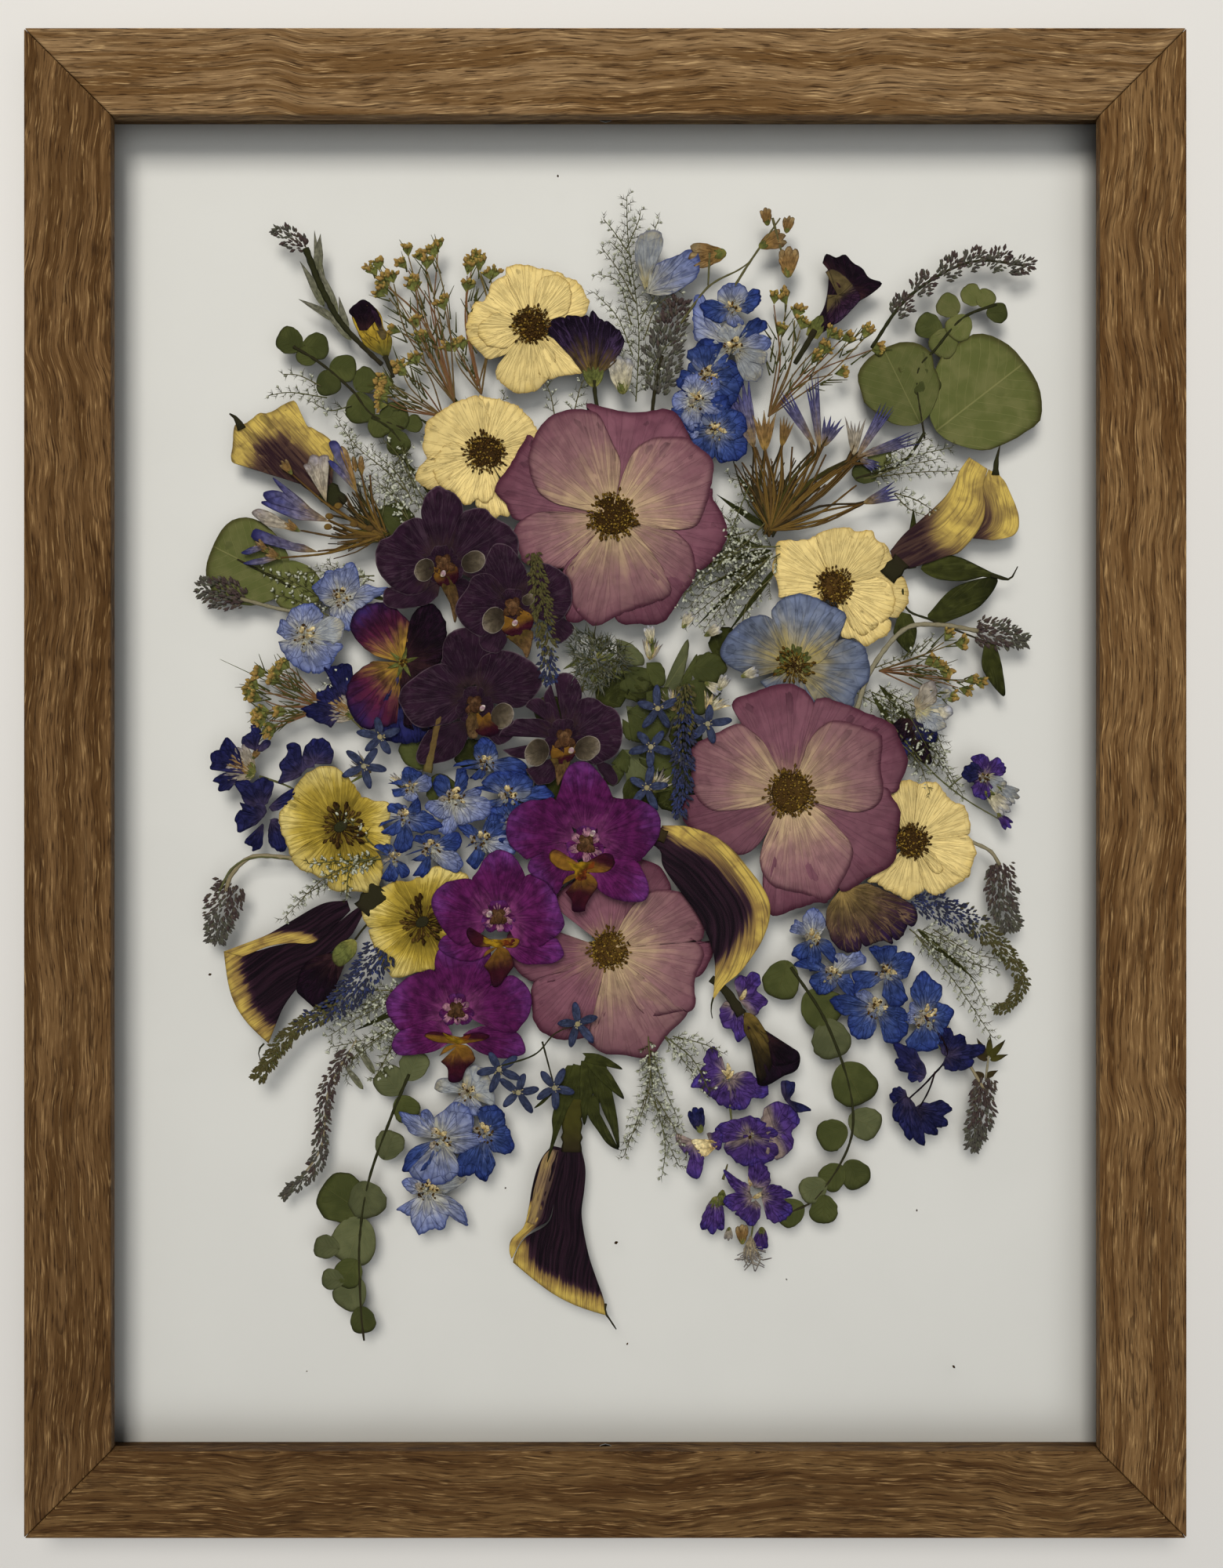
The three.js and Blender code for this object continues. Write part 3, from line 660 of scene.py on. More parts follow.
    WINE = PetalFinish(
        "dark wine petal", srgb(78, 66, 40), srgb(44, 24, 40), srgb(52, 34, 54), srgb(28, 14, 30),
        srgb(26, 14, 28), heart_reach=0.3, vein_share=0.7, vein_count=22.0, mottle=0.35,
        mottle_scale=260.0, crease=0.3, bump=0.6)
    BLACK = PetalFinish(
        "black purple petal", srgb(44, 24, 26), srgb(15, 6, 13), srgb(20, 8, 20), srgb(8, 4, 8),
        srgb(42, 18, 36), vein_share=0.5, vein_count=18.0, mottle=0.4, mottle_scale=260.0,
        crease=0.25, bump=0.6, roughness=0.55)
    DRY_PETAL = PetalFinish(
        "dried pale petal", srgb(150, 134, 104), srgb(150, 140, 124), srgb(128, 120, 122),
        srgb(96, 84, 76), srgb(104, 92, 78), vein_share=0.6, vein_count=9.0, mottle=0.3,
        mottle_scale=400.0)
    GOLD_PETAL = PetalFinish(
        "dried golden petal", srgb(132, 104, 52), srgb(120, 92, 54), srgb(142, 122, 86),
        srgb(84, 60, 34), srgb(84, 60, 32), vein_share=0.6, vein_count=8.0, mottle=0.3,
        mottle_scale=400.0)
    PALE_BLUE = PetalFinish(
        "pale blue petal", srgb(150, 138, 98), srgb(140, 142, 142), srgb(154, 146, 122),
        srgb(108, 112, 128), srgb(92, 100, 122), heart_reach=0.3, vein_share=0.4, vein_count=14.0,
        mottle=0.2, mottle_scale=300.0, crease=0.3)
    PALE_SEPAL = PetalFinish(
        "pale bud petal", srgb(140, 132, 84), srgb(176, 166, 140), srgb(150, 150, 158),
        srgb(110, 108, 110), srgb(110, 108, 104), vein_share=0.5, vein_count=7.0, mottle=0.3,
        mottle_scale=400.0)
    BUD_YELLOW = PetalFinish(
        "yellow bud", srgb(84, 78, 30), srgb(150, 124, 40), srgb(176, 148, 46), srgb(60, 44, 20),
        srgb(40, 28, 16), heart_reach=0.35, vein_share=0.8, vein_count=6.0, mottle=0.3,
        mottle_scale=300.0)
    GREY_NEEDLE = PetalFinish(
        "grey linear leaf", srgb(92, 92, 66), srgb(104, 102, 84), srgb(110, 106, 92),
        srgb(62, 60, 46), srgb(74, 72, 56), vein_share=0.4, vein_count=5.0, mottle=0.3,
        mottle_scale=600.0)
    DARK_CALLA = PetalFinish(
        "dark calla neck", srgb(86, 70, 30), srgb(44, 34, 14), srgb(10, 5, 8), srgb(16, 10, 10),
        srgb(20, 14, 8), heart_reach=0.5, tip_start=0.45, vein_share=0.7, vein_count=9.0, mottle=0.4)
    FAN = PetalFinish(
        "dark fan petal", srgb(104, 84, 40), srgb(26, 16, 30), srgb(12, 5, 16), srgb(20, 10, 24),
        srgb(66, 48, 78), heart_reach=0.4, vein_share=0.6, vein_count=16.0, mottle=0.35, bump=0.5)
    PLEATED = PetalFinish(
        "pleated dark petal", srgb(128, 106, 60), srgb(58, 36, 44), srgb(34, 18, 50),
        srgb(24, 12, 30), srgb(120, 96, 64), heart_reach=0.5, vein_share=0.6, vein_count=18.0,
        mottle=0.35, bump=0.6)
    CREAM_SCALE = PetalFinish(
        "cream scale", srgb(150, 122, 70), srgb(196, 176, 128), srgb(214, 198, 152),
        srgb(120, 90, 50), srgb(140, 110, 66), vein_share=0.4, vein_count=6.0, mottle=0.4,
        mottle_scale=700.0)
    ORCHID_PINK = PetalFinish(
        "orchid pink heart", srgb(126, 84, 84), srgb(150, 108, 118), srgb(104, 54, 96),
        srgb(96, 50, 70), srgb(110, 60, 90), vein_share=0.6, vein_count=8.0, mottle=0.5,
        mottle_scale=500.0)
    ORCHID_RUST = PetalFinish(
        "orchid rust lip", srgb(120, 92, 16), srgb(96, 44, 12), srgb(58, 14, 20), srgb(50, 10, 16),
        srgb(40, 8, 16), heart_reach=0.3, vein_share=0.5, vein_count=5.0, mottle=0.5,
        mottle_scale=400.0)
    ORCHID_SHIELD = PetalFinish(
        "orchid dark lip", srgb(110, 76, 24), srgb(50, 12, 22), srgb(36, 6, 26), srgb(36, 6, 22),
        srgb(26, 4, 16), heart_reach=0.35, vein_share=0.3, vein_count=4.0, mottle=0.3,
        mottle_scale=300.0)
    ORCHID_TAN = PetalFinish(
        "orchid tan tail", srgb(66, 52, 20), srgb(84, 62, 36), srgb(106, 82, 54),
        srgb(54, 36, 18), srgb(58, 40, 24), vein_share=0.7, vein_count=6.0, mottle=0.4,
        mottle_scale=400.0)
    SEPAL = PetalFinish(
        "green sepal", srgb(112, 108, 54), srgb(92, 96, 48), srgb(84, 84, 44), srgb(56, 56, 28),
        srgb(58, 60, 30), vein_share=0.5, vein_count=7.0, mottle=0.3, mottle_scale=400.0)
    DARK_LEAF = PetalFinish(
        "dark olive leaf", srgb(50, 52, 20), srgb(42, 44, 15), srgb(34, 36, 12), srgb(14, 14, 5),
        srgb(70, 72, 36), rim_share=0.8, vein_share=0.4, vein_count=9.0, mottle=0.3,
        mottle_scale=240.0)
    SILVER_LEAF = LeafFinish(
        "silver dollar leaf", srgb(84, 88, 44), srgb(98, 98, 56), srgb(132, 128, 80),
        srgb(60, 54, 24))
    GREY_LEAF = LeafFinish(
        "grey green leaf", srgb(74, 77, 48), srgb(88, 90, 58), srgb(108, 108, 68), srgb(54, 52, 28),
        side_veins=6.0)
    OLIVE_LEAF = LeafFinish(
        "deep green leaf", srgb(56, 60, 26), srgb(68, 71, 34), srgb(84, 84, 44), srgb(38, 36, 16),
        side_veins=6.0)
    DARK_SPATHE = SpatheFinish(
        "dark calla", srgb(13, 5, 11), srgb(44, 22, 34), srgb(190, 162, 78), srgb(136, 108, 58))
    YELLOW_SPATHE = SpatheFinish(
        "yellow calla", srgb(38, 20, 26), srgb(78, 56, 44), srgb(198, 170, 84), srgb(140, 116, 62),
        streaks=40.0)
    TAN_SPATHE = SpatheFinish(
        "tan calla", srgb(70, 52, 46), srgb(76, 58, 46), srgb(142, 118, 72), srgb(126, 102, 74),
        streaks=44.0, vein_share=0.7)
    STAMEN = BitFinish(
        "golden stamen", srgb(102, 78, 24), srgb(132, 104, 38), srgb(72, 50, 14), 0.4, 0.6)
    GOLD_GRAIN = BitFinish("golden grain", srgb(150, 120, 46), srgb(176, 146, 66), srgb(104, 80, 28))
    BROWN_STAMEN = BitFinish(
        "brown stamen", srgb(80, 56, 22), srgb(104, 78, 34), srgb(46, 30, 10), 0.4, 0.7)
    DARK_STAMEN = BitFinish(
        "dark brown stamen", srgb(84, 58, 20), srgb(108, 78, 30), srgb(54, 36, 12), 0.4, 0.7)
    DRY_STEM = BitFinish("dry stem", srgb(142, 134, 108), srgb(136, 126, 98), srgb(116, 104, 78))
    OLIVE_STEM = BitFinish("olive stem", srgb(66, 62, 22), srgb(48, 40, 22), srgb(44, 34, 18), 0.4, 0.6,
        300.0)
    STEM = BitFinish("green stem", srgb(92, 92, 56), srgb(98, 96, 60), srgb(76, 70, 44), 0.7, 0.5)
    RED_STEM = BitFinish("tan red stem", srgb(104, 82, 46), srgb(112, 98, 54), srgb(92, 60, 40))
    GOLD_STEM = BitFinish("golden stalk", srgb(112, 86, 38), srgb(90, 64, 30), srgb(58, 42, 22))
    DARK_STEM = BitFinish("dark stem", srgb(46, 46, 24), srgb(50, 44, 28), srgb(32, 28, 16))
    NEEDLE = BitFinish("grey green needle", srgb(72, 74, 32), srgb(96, 96, 52), srgb(58, 54, 24))
    WHITE_BIT = BitFinish("pale floret", srgb(128, 130, 104), srgb(214, 212, 200), srgb(168, 168, 150))
    LAVENDER = BitFinish(
        "dried lavender bud", srgb(86, 86, 68), srgb(108, 106, 92), srgb(64, 60, 54), 0.5, 0.6)
    LAVENDER_BROWN = BitFinish(
        "brown lavender bud", srgb(84, 74, 60), srgb(100, 84, 84), srgb(58, 46, 44), 0.5, 0.6)
    VERONICA_BLUE = BitFinish(
        "blue veronica bud", srgb(52, 56, 78), srgb(58, 70, 128), srgb(40, 40, 52), 0.3, 0.6)
    VERONICA_GREEN = BitFinish(
        "green veronica bud", srgb(82, 84, 44), srgb(96, 84, 52), srgb(62, 56, 32), 0.3, 0.5)
    WAX_BUD = BitFinish("wax flower cup", srgb(110, 102, 48), srgb(192, 164, 84), srgb(128, 98, 52), 0.5)
    THISTLE = BitFinish("thistle spine", srgb(96, 98, 84), srgb(120, 124, 124), srgb(76, 80, 72))
    PALE_BUD = BitFinish("pale bud", srgb(150, 142, 112), srgb(172, 162, 140), srgb(120, 108, 74))

    def material(self) -> bpy.types.Material:
        """Returns the finish's material, made the first time that it is asked for."""
        made = bpy.data.materials.get(self.value.name)
        return made or self.value.material()


# ---- Curves and outlines ----------------------------------------------------------------------


def smooth_line(points: Sequence[Sequence[float]], count: int) -> np.ndarray:
    """Draws a smooth curve through points and spaces it evenly.

    Args:
        points: The points to pass through, of two or three numbers each.
        count: How many points to return.

    Returns:
        An array of count points.
    """
    given = np.array(points, float)
    ends = np.vstack([2 * given[0] - given[1], given, 2 * given[-1] - given[-2]])
    share = np.linspace(0, 1, 10, endpoint=False)[:, None]
    spans = [
        0.5 * (2 * b + (c - a) * share + (2 * a - 5 * b + 4 * c - d) * share ** 2
               + (3 * b - 3 * c + d - a) * share ** 3)
        for a, b, c, d in zip(ends[:-3], ends[1:-2], ends[2:-1], ends[3:])]
    line = np.vstack([*spans, given[-1:]])
    run = np.r_[0, np.cumsum(np.linalg.norm(np.diff(line, axis=0), axis=1))]
    stops = np.linspace(0, run[-1], count)
    return np.column_stack([np.interp(stops, run, line[:, axis]) for axis in range(line.shape[1])])


def crumple(x: np.ndarray, y: np.ndarray, wave: float, rng: np.random.Generator) -> np.ndarray:
    """Returns a smooth random relief between about -1 and 1.

    Args:
        x: Positions across.
        y: Positions along.
        wave: The usual distance between two crests.
        rng: The source of chance.

    Returns:
        The relief at each position.
    """
    total = np.zeros_like(x)
    for _ in range(5):
        angle, phase = rng.uniform(0, math.tau, 2)
        turn = math.tau / (wave * rng.uniform(0.6, 1.7))
        total += np.sin((x * math.cos(angle) + y * math.sin(angle)) * turn + phase)
    return total / 3


def polar(centre: Point, radius: float, degrees: float) -> Point:
    """Returns the point at a distance and direction from a centre."""
    angle = math.radians(degrees)
    return centre[0] + radius * math.cos(angle), centre[1] + radius * math.sin(angle)


def direction(start: Point, end: Point) -> float:
    """Returns the direction from one point to another, in degrees."""
    return math.degrees(math.atan2(end[1] - start[1], end[0] - start[0]))


def distance(start: Point, end: Point) -> float:
    """Returns the distance between two points."""
    return math.hypot(end[0] - start[0], end[1] - start[1])


class PetalForm(Enum):
    """How full a petal is near its base and near its tip: the smaller, the blunter."""

    ROUND = (0.55, 0.36)
    OVAL = (0.6, 0.55)
    POINTED = (0.7, 1.0)
    LANCE = (0.6, 1.3)
    FAN = (1.1, 0.3)
    SPOON = (1.6, 0.45)

    def half_width(self, along: np.ndarray) -> np.ndarray:
        """Returns the half width, where the widest is 1.

        Args:
            along: Shares of the length.

        Returns:
            One half width for each share.
        """
        base, tip = self.value
        top = base / (base + tip)
        return along ** base * (1 - along) ** tip / (top ** base * (1 - top) ** tip)


@dataclass(frozen=True)
class Grid:
    """A drawing grid: where its corner lies on the sheet and how many of its steps make a sheet step."""

    left: float = 0.0
    top: float = 0.0
    scale: float = 1.0

    def at(self, across: float, down: float) -> Point:
        """Turns steps on the grid into a point of the frame.

        Args:
            across: Steps to the right.
            down: Steps down.

        Returns:
            The point, in millimetres from the middle of the frame.
        """
        return ((self.left + across / self.scale - SHEET_MIDDLE[0]) * SHEET_STEP,
                (SHEET_MIDDLE[1] - self.top - down / self.scale) * SHEET_STEP)

    def trace(self, *steps: float) -> list[Point]:
        """Turns steps across and down, taken in turn, into a line of points."""
        return [self.at(across, down) for across, down in zip(steps[::2], steps[1::2])]

    def leaf(self, across: float, down: float, radius: float, foot_across: float,
             foot_down: float) -> tuple[Point, float, Point]:
        """Places a round leaf.

        Args:
            across: Steps to the right of its middle.
            down: Steps down of its middle.
            radius: Its radius, in steps of the whole sheet.
            foot_across: Steps to the right of its foot.
            foot_down: Steps down of its foot.

        Returns:
            Its middle, its radius in millimetres and its foot.
        """
        return self.at(across, down), span(radius), self.at(foot_across, foot_down)

    def pairs(self, *steps: float) -> list[tuple[Point, Point]]:
        """Turns steps into pairs of points, such as a leaf's foot and tip."""
        points = self.trace(*steps)
        return list(zip(points[::2], points[1::2]))


def span(steps: float) -> float:
    """Turns a length in sheet steps into millimetres."""
    return steps * SHEET_STEP


SHEET_STEP = 0.351
SHEET_MIDDLE = (772.0, 999.0)
SHEET = Grid()
at, trace, leaf, pairs = SHEET.at, SHEET.trace, SHEET.leaf, SHEET.pairs
TOP_LEFT = Grid(330, 230, 5.058)
TOP = Grid(560, 270, 4.9)
BLUE_TOP = Grid(880, 340, 6.533)
LEFT_BLOOM = Grid(500, 480, 7.127)
TOP_ROSE = Grid(600, 490, 4.48)
TOP_CALLA = Grid(270, 490, 9.224)
AGAPANTHUS = Grid(320, 520, 4.4118)
RIGHT_CALLA = Grid(1130, 540, 7.84)
UPPER_ORCHID = Grid(470, 600, 4.752)
RIGHT_ORCHID = Grid(560, 600, 5.227)
MIDDLE = Grid(900, 650, 5.058)
LEFT_ORCHID = Grid(480, 760, 5.6)
LOW_ORCHID = Grid(620, 800, 6.031)
DARK_LEFT = Grid(230, 820, 4.6667)
RIGHT_ROSE = Grid(860, 850, 4.752)
BLUE_LEFT = Grid(470, 940, 6.272)
POPPIES = Grid(340, 960, 5.226)
RIGHT = Grid(1040, 960, 5.6)
PURPLE_UPPER = Grid(630, 960, 6.533)
MIDDLE_CALLA = Grid(820, 1030, 5.807)
PURPLE_LEFT = Grid(530, 1070, 7.127)
LOW_ROSE = Grid(620, 1080, 4.752)
LEFT_CALLA = Grid(250, 1130, 6.817)
BLUE_RIGHT = Grid(1020, 1160, 6.533)
PURPLE_LOW = Grid(480, 1200, 7.127)
PURPLE_FOOT = Grid(870, 1240, 3.5)
BLUE_FOOT = Grid(490, 1340, 5.6)
LOW_CALLA = Grid(600, 1400, 4.9)


@dataclass(frozen=True)
class Relief:
    """How far a pressed blade still lifts off its layer, in millimetres."""

    dome: float = 0.12
    ripple: float = 0.08
    waves: float = 4.0
    crumple: float = 0.07
    wave: float = 7.0
    curl: float = 0.06
    fray: float = 0.12


FLAT = Relief(0.05, 0.03, 3.0, 0.03, 5.0, 0.03)
CRINKLED = Relief(0.15, 0.2, 7.0, 0.12, 5.0, 0.1, 0.4)
BROAD = Relief(0.15, 0.12, 3.0, 0.12, 10.0, 0.12, 0.25)
DELICATE = Relief(0.2, 0.2, 3.0, 0.16, 4.0, 0.12, 0.45)
WAXY = Relief(0.12, 0.14, 3.0, 0.12, 8.0, 0.14)
FLESHY = Relief(0.3, 0.1, 3.0, 0.1, 4.0, 0.1)
CUPPED = Relief(0.35, 0.05, 3.0, 0.08, 4.0, 0.1)
LEATHERY = Relief(0.15, 0.06, 2.0, 0.1, 9.0, 0.05)
SPREAD = Relief(0.25, 0.15, 3.0, 0.2, 9.0, 0.1)
ROLLED = Relief(0.25, 0.08, 2.0, 0.1, 9.0, 0.2)
TRUMPET = Relief(0.2, 0.1, 3.0, 0.06, 3.0, 0.1)


def tube_faces(rings: int, sides: int) -> list[Face]:
    """Returns the faces of a closed tube, whose points are counted ring after ring.

    Args:
        rings: How many rings it has.
        sides: How many points a ring has.

    Returns:
        The walls and the two ends.
    """
    faces = [
        (row * sides + j, row * sides + (j + 1) % sides,
         (row + 1) * sides + (j + 1) % sides, (row + 1) * sides + j)
        for row in range(rings - 1) for j in range(sides)]
    return [*faces, tuple(reversed(range(sides))), tuple(range((rings - 1) * sides, rings * sides))]


class BitForm(Enum):
    """The small closed shapes that are strewn: half widths at shares of a length of 1."""

    BUD = ((0.0, 0.09), (0.5, 0.28), (1.0, 0.06))
    NEEDLE = ((0.0, 0.075), (1.0, 0.01))
    ANTHER = ((0.0, 0.035), (0.62, 0.04), (0.8, 0.16), (1.0, 0.06))
    GRAIN = ((0.0, 0.22), (0.5, 0.45), (1.0, 0.12))

    def object(self) -> bpy.types.Object:
        """Returns a closed body of revolution along +Z, made the first time that it is asked for."""
        name = f"bit_{self.name.lower()}"
        if name in bpy.data.objects:
            return bpy.data.objects[name]
        sides = 3 if self in (BitForm.NEEDLE, BitForm.ANTHER) else 4
        turn = np.arange(sides) / sides * math.tau
        rings = [np.column_stack([np.cos(turn) * r, np.sin(turn) * r, np.full(sides, z)])
                 for z, r in self.value]
        mesh = bpy.data.meshes.new(name)
        mesh.from_pydata(np.vstack(rings), [], tube_faces(len(rings), sides))
        along = np.repeat([z for z, _ in self.value], sides)
        spots = np.empty(len(mesh.loops), int)
        mesh.loops.foreach_get("vertex_index", spots)
        layer = mesh.uv_layers.new(name=UV_NAME)
        layer.data.foreach_set("uv", np.column_stack([along[spots], np.full(len(spots), 0.5)]).ravel())
        mesh.shade_smooth()
        body = bpy.data.objects.new(name, mesh)
        bpy.context.scene.collection.objects.link(body)
        return body


def strewing_tree() -> bpy.types.NodeTree:
    """Returns the nodes that put a small shape on every point of a mesh, turned along its aim.

    Returns:
        The geometry node tree.
    """
    name = "Strewing"
    if name in bpy.data.node_groups:
        return bpy.data.node_groups[name]
    tree = bpy.data.node_groups.new(name, "GeometryNodeTree")
    for socket, kind in (("Geometry", "Geometry"), ("Bit", "Object"), ("Seed", "Int"),
                         ("Wobble", "Float"), ("Finish", "Material")):
        tree.interface.new_socket(name=socket, in_out="INPUT", socket_type=f"NodeSocket{kind}")
    tree.interface.new_socket(name="Geometry", in_out="OUTPUT", socket_type="NodeSocketGeometry")
    nodes, links = tree.nodes, tree.links
    entry, exit_ = nodes.new("NodeGroupInput"), nodes.new("NodeGroupOutput")

    def named(attribute: str, kind: str) -> Socket:
        """Reads an attribute of the points.

        Args:
            attribute: Its name.
            kind: Its type.

        Returns:
            Its socket.
        """
        node = nodes.new("GeometryNodeInputNamedAttribute")
        node.data_type = kind
        node.inputs["Name"].default_value = attribute
        return next(socket for socket in node.outputs if socket.enabled and socket.name == "Attribute")

    def chance(kind: str, low: object, high: object) -> Socket:
        """Draws one random value for each point.

        Args:
            kind: The type of the value.
            low: The least value.
            high: The greatest value.

        Returns:
            The value's socket.
        """
        node = nodes.new("FunctionNodeRandomValue")
        node.data_type = kind
        shown = {socket.name: socket for socket in node.inputs if socket.enabled}
        shown["Min"].default_value, shown["Max"].default_value = low, high
        links.new(entry.outputs["Seed"], shown["Seed"])
        return next(socket for socket in node.outputs if socket.enabled)

    def vector_step(operation: str, first: Socket, second: Socket) -> Socket:
        """Adds one step of vector arithmetic.

        Args:
            operation: The node's operation.
            first: The first vector.
            second: The second vector, or the factor of a scaling.

        Returns:
            The result's socket.
        """
        node = nodes.new("ShaderNodeVectorMath")
        node.operation = operation
        links.new(first, node.inputs[0])
        links.new(second, node.inputs["Scale"] if operation == "SCALE" else node.inputs[1])
        return node.outputs[0]

    wobble = vector_step("SCALE", chance("FLOAT_VECTOR", (-1, -1, -1), (1, 1, 1)), entry.outputs["Wobble"])
    turn = nodes.new("FunctionNodeAlignRotationToVector")
    turn.axis = "Z"
    links.new(vector_step("ADD", named("aim", "FLOAT_VECTOR"), wobble), turn.inputs["Vector"])
    size = nodes.new("ShaderNodeMath")
    size.operation = "MULTIPLY"
    links.new(named("size", "FLOAT"), size.inputs[0])
    links.new(chance("FLOAT", 0.8, 1.2), size.inputs[1])
    bit = nodes.new("GeometryNodeObjectInfo")
    links.new(entry.outputs["Bit"], bit.inputs["Object"])
    bit.inputs["As Instance"].default_value = True
    strew = nodes.new("GeometryNodeInstanceOnPoints")
    links.new(entry.outputs["Geometry"], strew.inputs["Points"])
    links.new(bit.outputs["Geometry"], strew.inputs["Instance"])
    links.new(turn.outputs[0], strew.inputs["Rotation"])
    links.new(size.outputs[0], strew.inputs["Scale"])
    store = nodes.new("GeometryNodeStoreNamedAttribute")
    store.data_type, store.domain = "FLOAT", "INSTANCE"
    store.inputs["Name"].default_value = "tone"
    links.new(strew.outputs[0], store.inputs["Geometry"])
    links.new(chance("FLOAT", 0.0, 1.0), next(
        socket for socket in store.inputs if socket.enabled and socket.name == "Value"))
    real = nodes.new("GeometryNodeRealizeInstances")
    links.new(store.outputs[0], real.inputs[0])
    paint = nodes.new("GeometryNodeSetMaterial")
    links.new(real.outputs[0], paint.inputs["Geometry"])
    links.new(entry.outputs["Finish"], paint.inputs["Material"])
    links.new(paint.outputs[0], exit_.inputs[0])
    return tree


def strewn(places: np.ndarray, aims: np.ndarray, sizes: np.ndarray, form: BitForm, finish: Finish,
           seed: int, wobble: float) -> bpy.types.Mesh:
    """Strews a small shape over places and returns it all as one plain mesh.

    Args:
        places: Where the shapes stand, in metres.
        aims: Which way they point.
        sizes: Their lengths, in metres.
        form: The shape.
        finish: The finish.
        seed: The seed of their small differences.
        wobble: How far they stray from their aims.

    Returns:
        The mesh.
    """
    mesh = bpy.data.meshes.new("points")
    mesh.from_pydata(places, [], [])
    mesh.attributes.new("aim", "FLOAT_VECTOR", "POINT").data.foreach_set("vector", aims.ravel())
    mesh.attributes.new("size", "FLOAT", "POINT").data.foreach_set("value", sizes)
    holder = bpy.data.objects.new("points", mesh)
    bpy.context.scene.collection.objects.link(holder)
    modifier = holder.modifiers.new("Strewing", "NODES")
    modifier.node_group = strewing_tree()
    given = {"Bit": form.object(), "Seed": seed, "Wobble": wobble, "Finish": finish.material()}
    for item in modifier.node_group.interface.items_tree:
        if item.in_out == "INPUT" and item.name in given:
            modifier[item.identifier] = given[item.name]
    depsgraph = bpy.context.evaluated_depsgraph_get()
    result = bpy.data.meshes.new_from_object(
        holder.evaluated_get(depsgraph), preserve_all_data_layers=True, depsgraph=depsgraph)
    bpy.data.objects.remove(holder)
    bpy.data.meshes.remove(mesh)
    return result


# ---- Gathering a pressed specimen into one mesh -----------------------------------------------


@dataclass
class Part:
    """One closed part of a specimen, as arrays over its points."""

    places: np.ndarray
    faces: list[Face]
    flat: np.ndarray
    along: np.ndarray
    across: np.ndarray
    rim: np.ndarray
    ray: np.ndarray
    pale: np.ndarray
    tone: np.ndarray
    finish: Finish


@dataclass
class Strewings:
    """The places, aims and sizes of one kind of small shape."""

    places: list[tuple[float, float, float]] = field(default_factory=list)
    aims: list[tuple[float, float, float]] = field(default_factory=list)
    sizes: list[float] = field(default_factory=list)


def closed_sheet(top: np.ndarray, faces: list[Face], loop: list[int], thickness: float,
                 plainer: list[Face] | None = None
                 ) -> tuple[np.ndarray, list[Face], np.ndarray]:
    """Gives a sheet a back and an edge.

    Args:
        top: The sheet's points.
        faces: Its faces, anticlockwise from above.
        loop: The points round its boundary, anticlockwise from above.
        thickness: How far the back lies below.
        plainer: The faces of the back, or None for the same as the front's.

    Returns:
        All the points, all the faces, and which faces are shaded flat.
    """
    count = len(top)
    back = top - np.array([0, 0, thickness])
    under = [tuple(index + count for index in reversed(face)) for face in plainer or faces]
    walls = [(a + count, b + count, b, a) for a, b in zip(loop, loop[1:] + loop[:1])]
    flat = np.r_[np.zeros(len(faces) + len(under), bool), np.ones(len(walls), bool)]
    return np.vstack([top, back]), [*faces, *under, *walls], flat


def plain_back(rings: int, count: int) -> list[Face]:
    """Returns the faces of a blade's back, which keeps one ring between its base and its outline.

    Args:
        rings: The front's steps from the base to the outline.
        count: The points along the outline.

    Returns:
        The faces, anticlockwise from above.
    """
    def spot(ring: int, ray: int) -> int:
        """Returns the number of the point on a ring and a ray."""
        return 1 + (ring - 1) * count + ray

    middle, last = (rings + 1) // 2, count - 1
    inner, outer = range(1, middle + 1), range(middle, rings + 1)
    faces = [(0, *(spot(ring, 0) for ring in inner), spot(middle, 1)),
             (*(spot(ring, 0) for ring in outer), spot(rings, 1), spot(middle, 1)),
             (0, spot(middle, last - 1), *(spot(ring, last) for ring in reversed(inner))),
             (spot(middle, last - 1), spot(rings, last - 1), *(spot(ring, last) for ring in reversed(outer)))]
    for ray in range(1, last - 1):
        faces += [(0, spot(middle, ray), spot(middle, ray + 1)),
                  (spot(middle, ray), spot(rings, ray), spot(rings, ray + 1), spot(middle, ray + 1))]
    return faces


def paleness(top: np.ndarray, line: Sequence[Point], width: float) -> np.ndarray:
    """Returns how pale each point is: 1 on a line, 0 past a width from it.

    Args:
        top: The points.
        line: The line, or nothing where no part is pale.
        width: How far the paleness reaches.

    Returns:
        One value for each point.
    """
    if not len(line):
        return np.zeros(len(top))
    path = smooth_line(line, 60)
    gaps = np.hypot(top[:, :1] - path[:, 0], top[:, 1:2] - path[:, 1])
    return np.clip(1 - np.min(gaps, axis=1) / width, 0, 1)


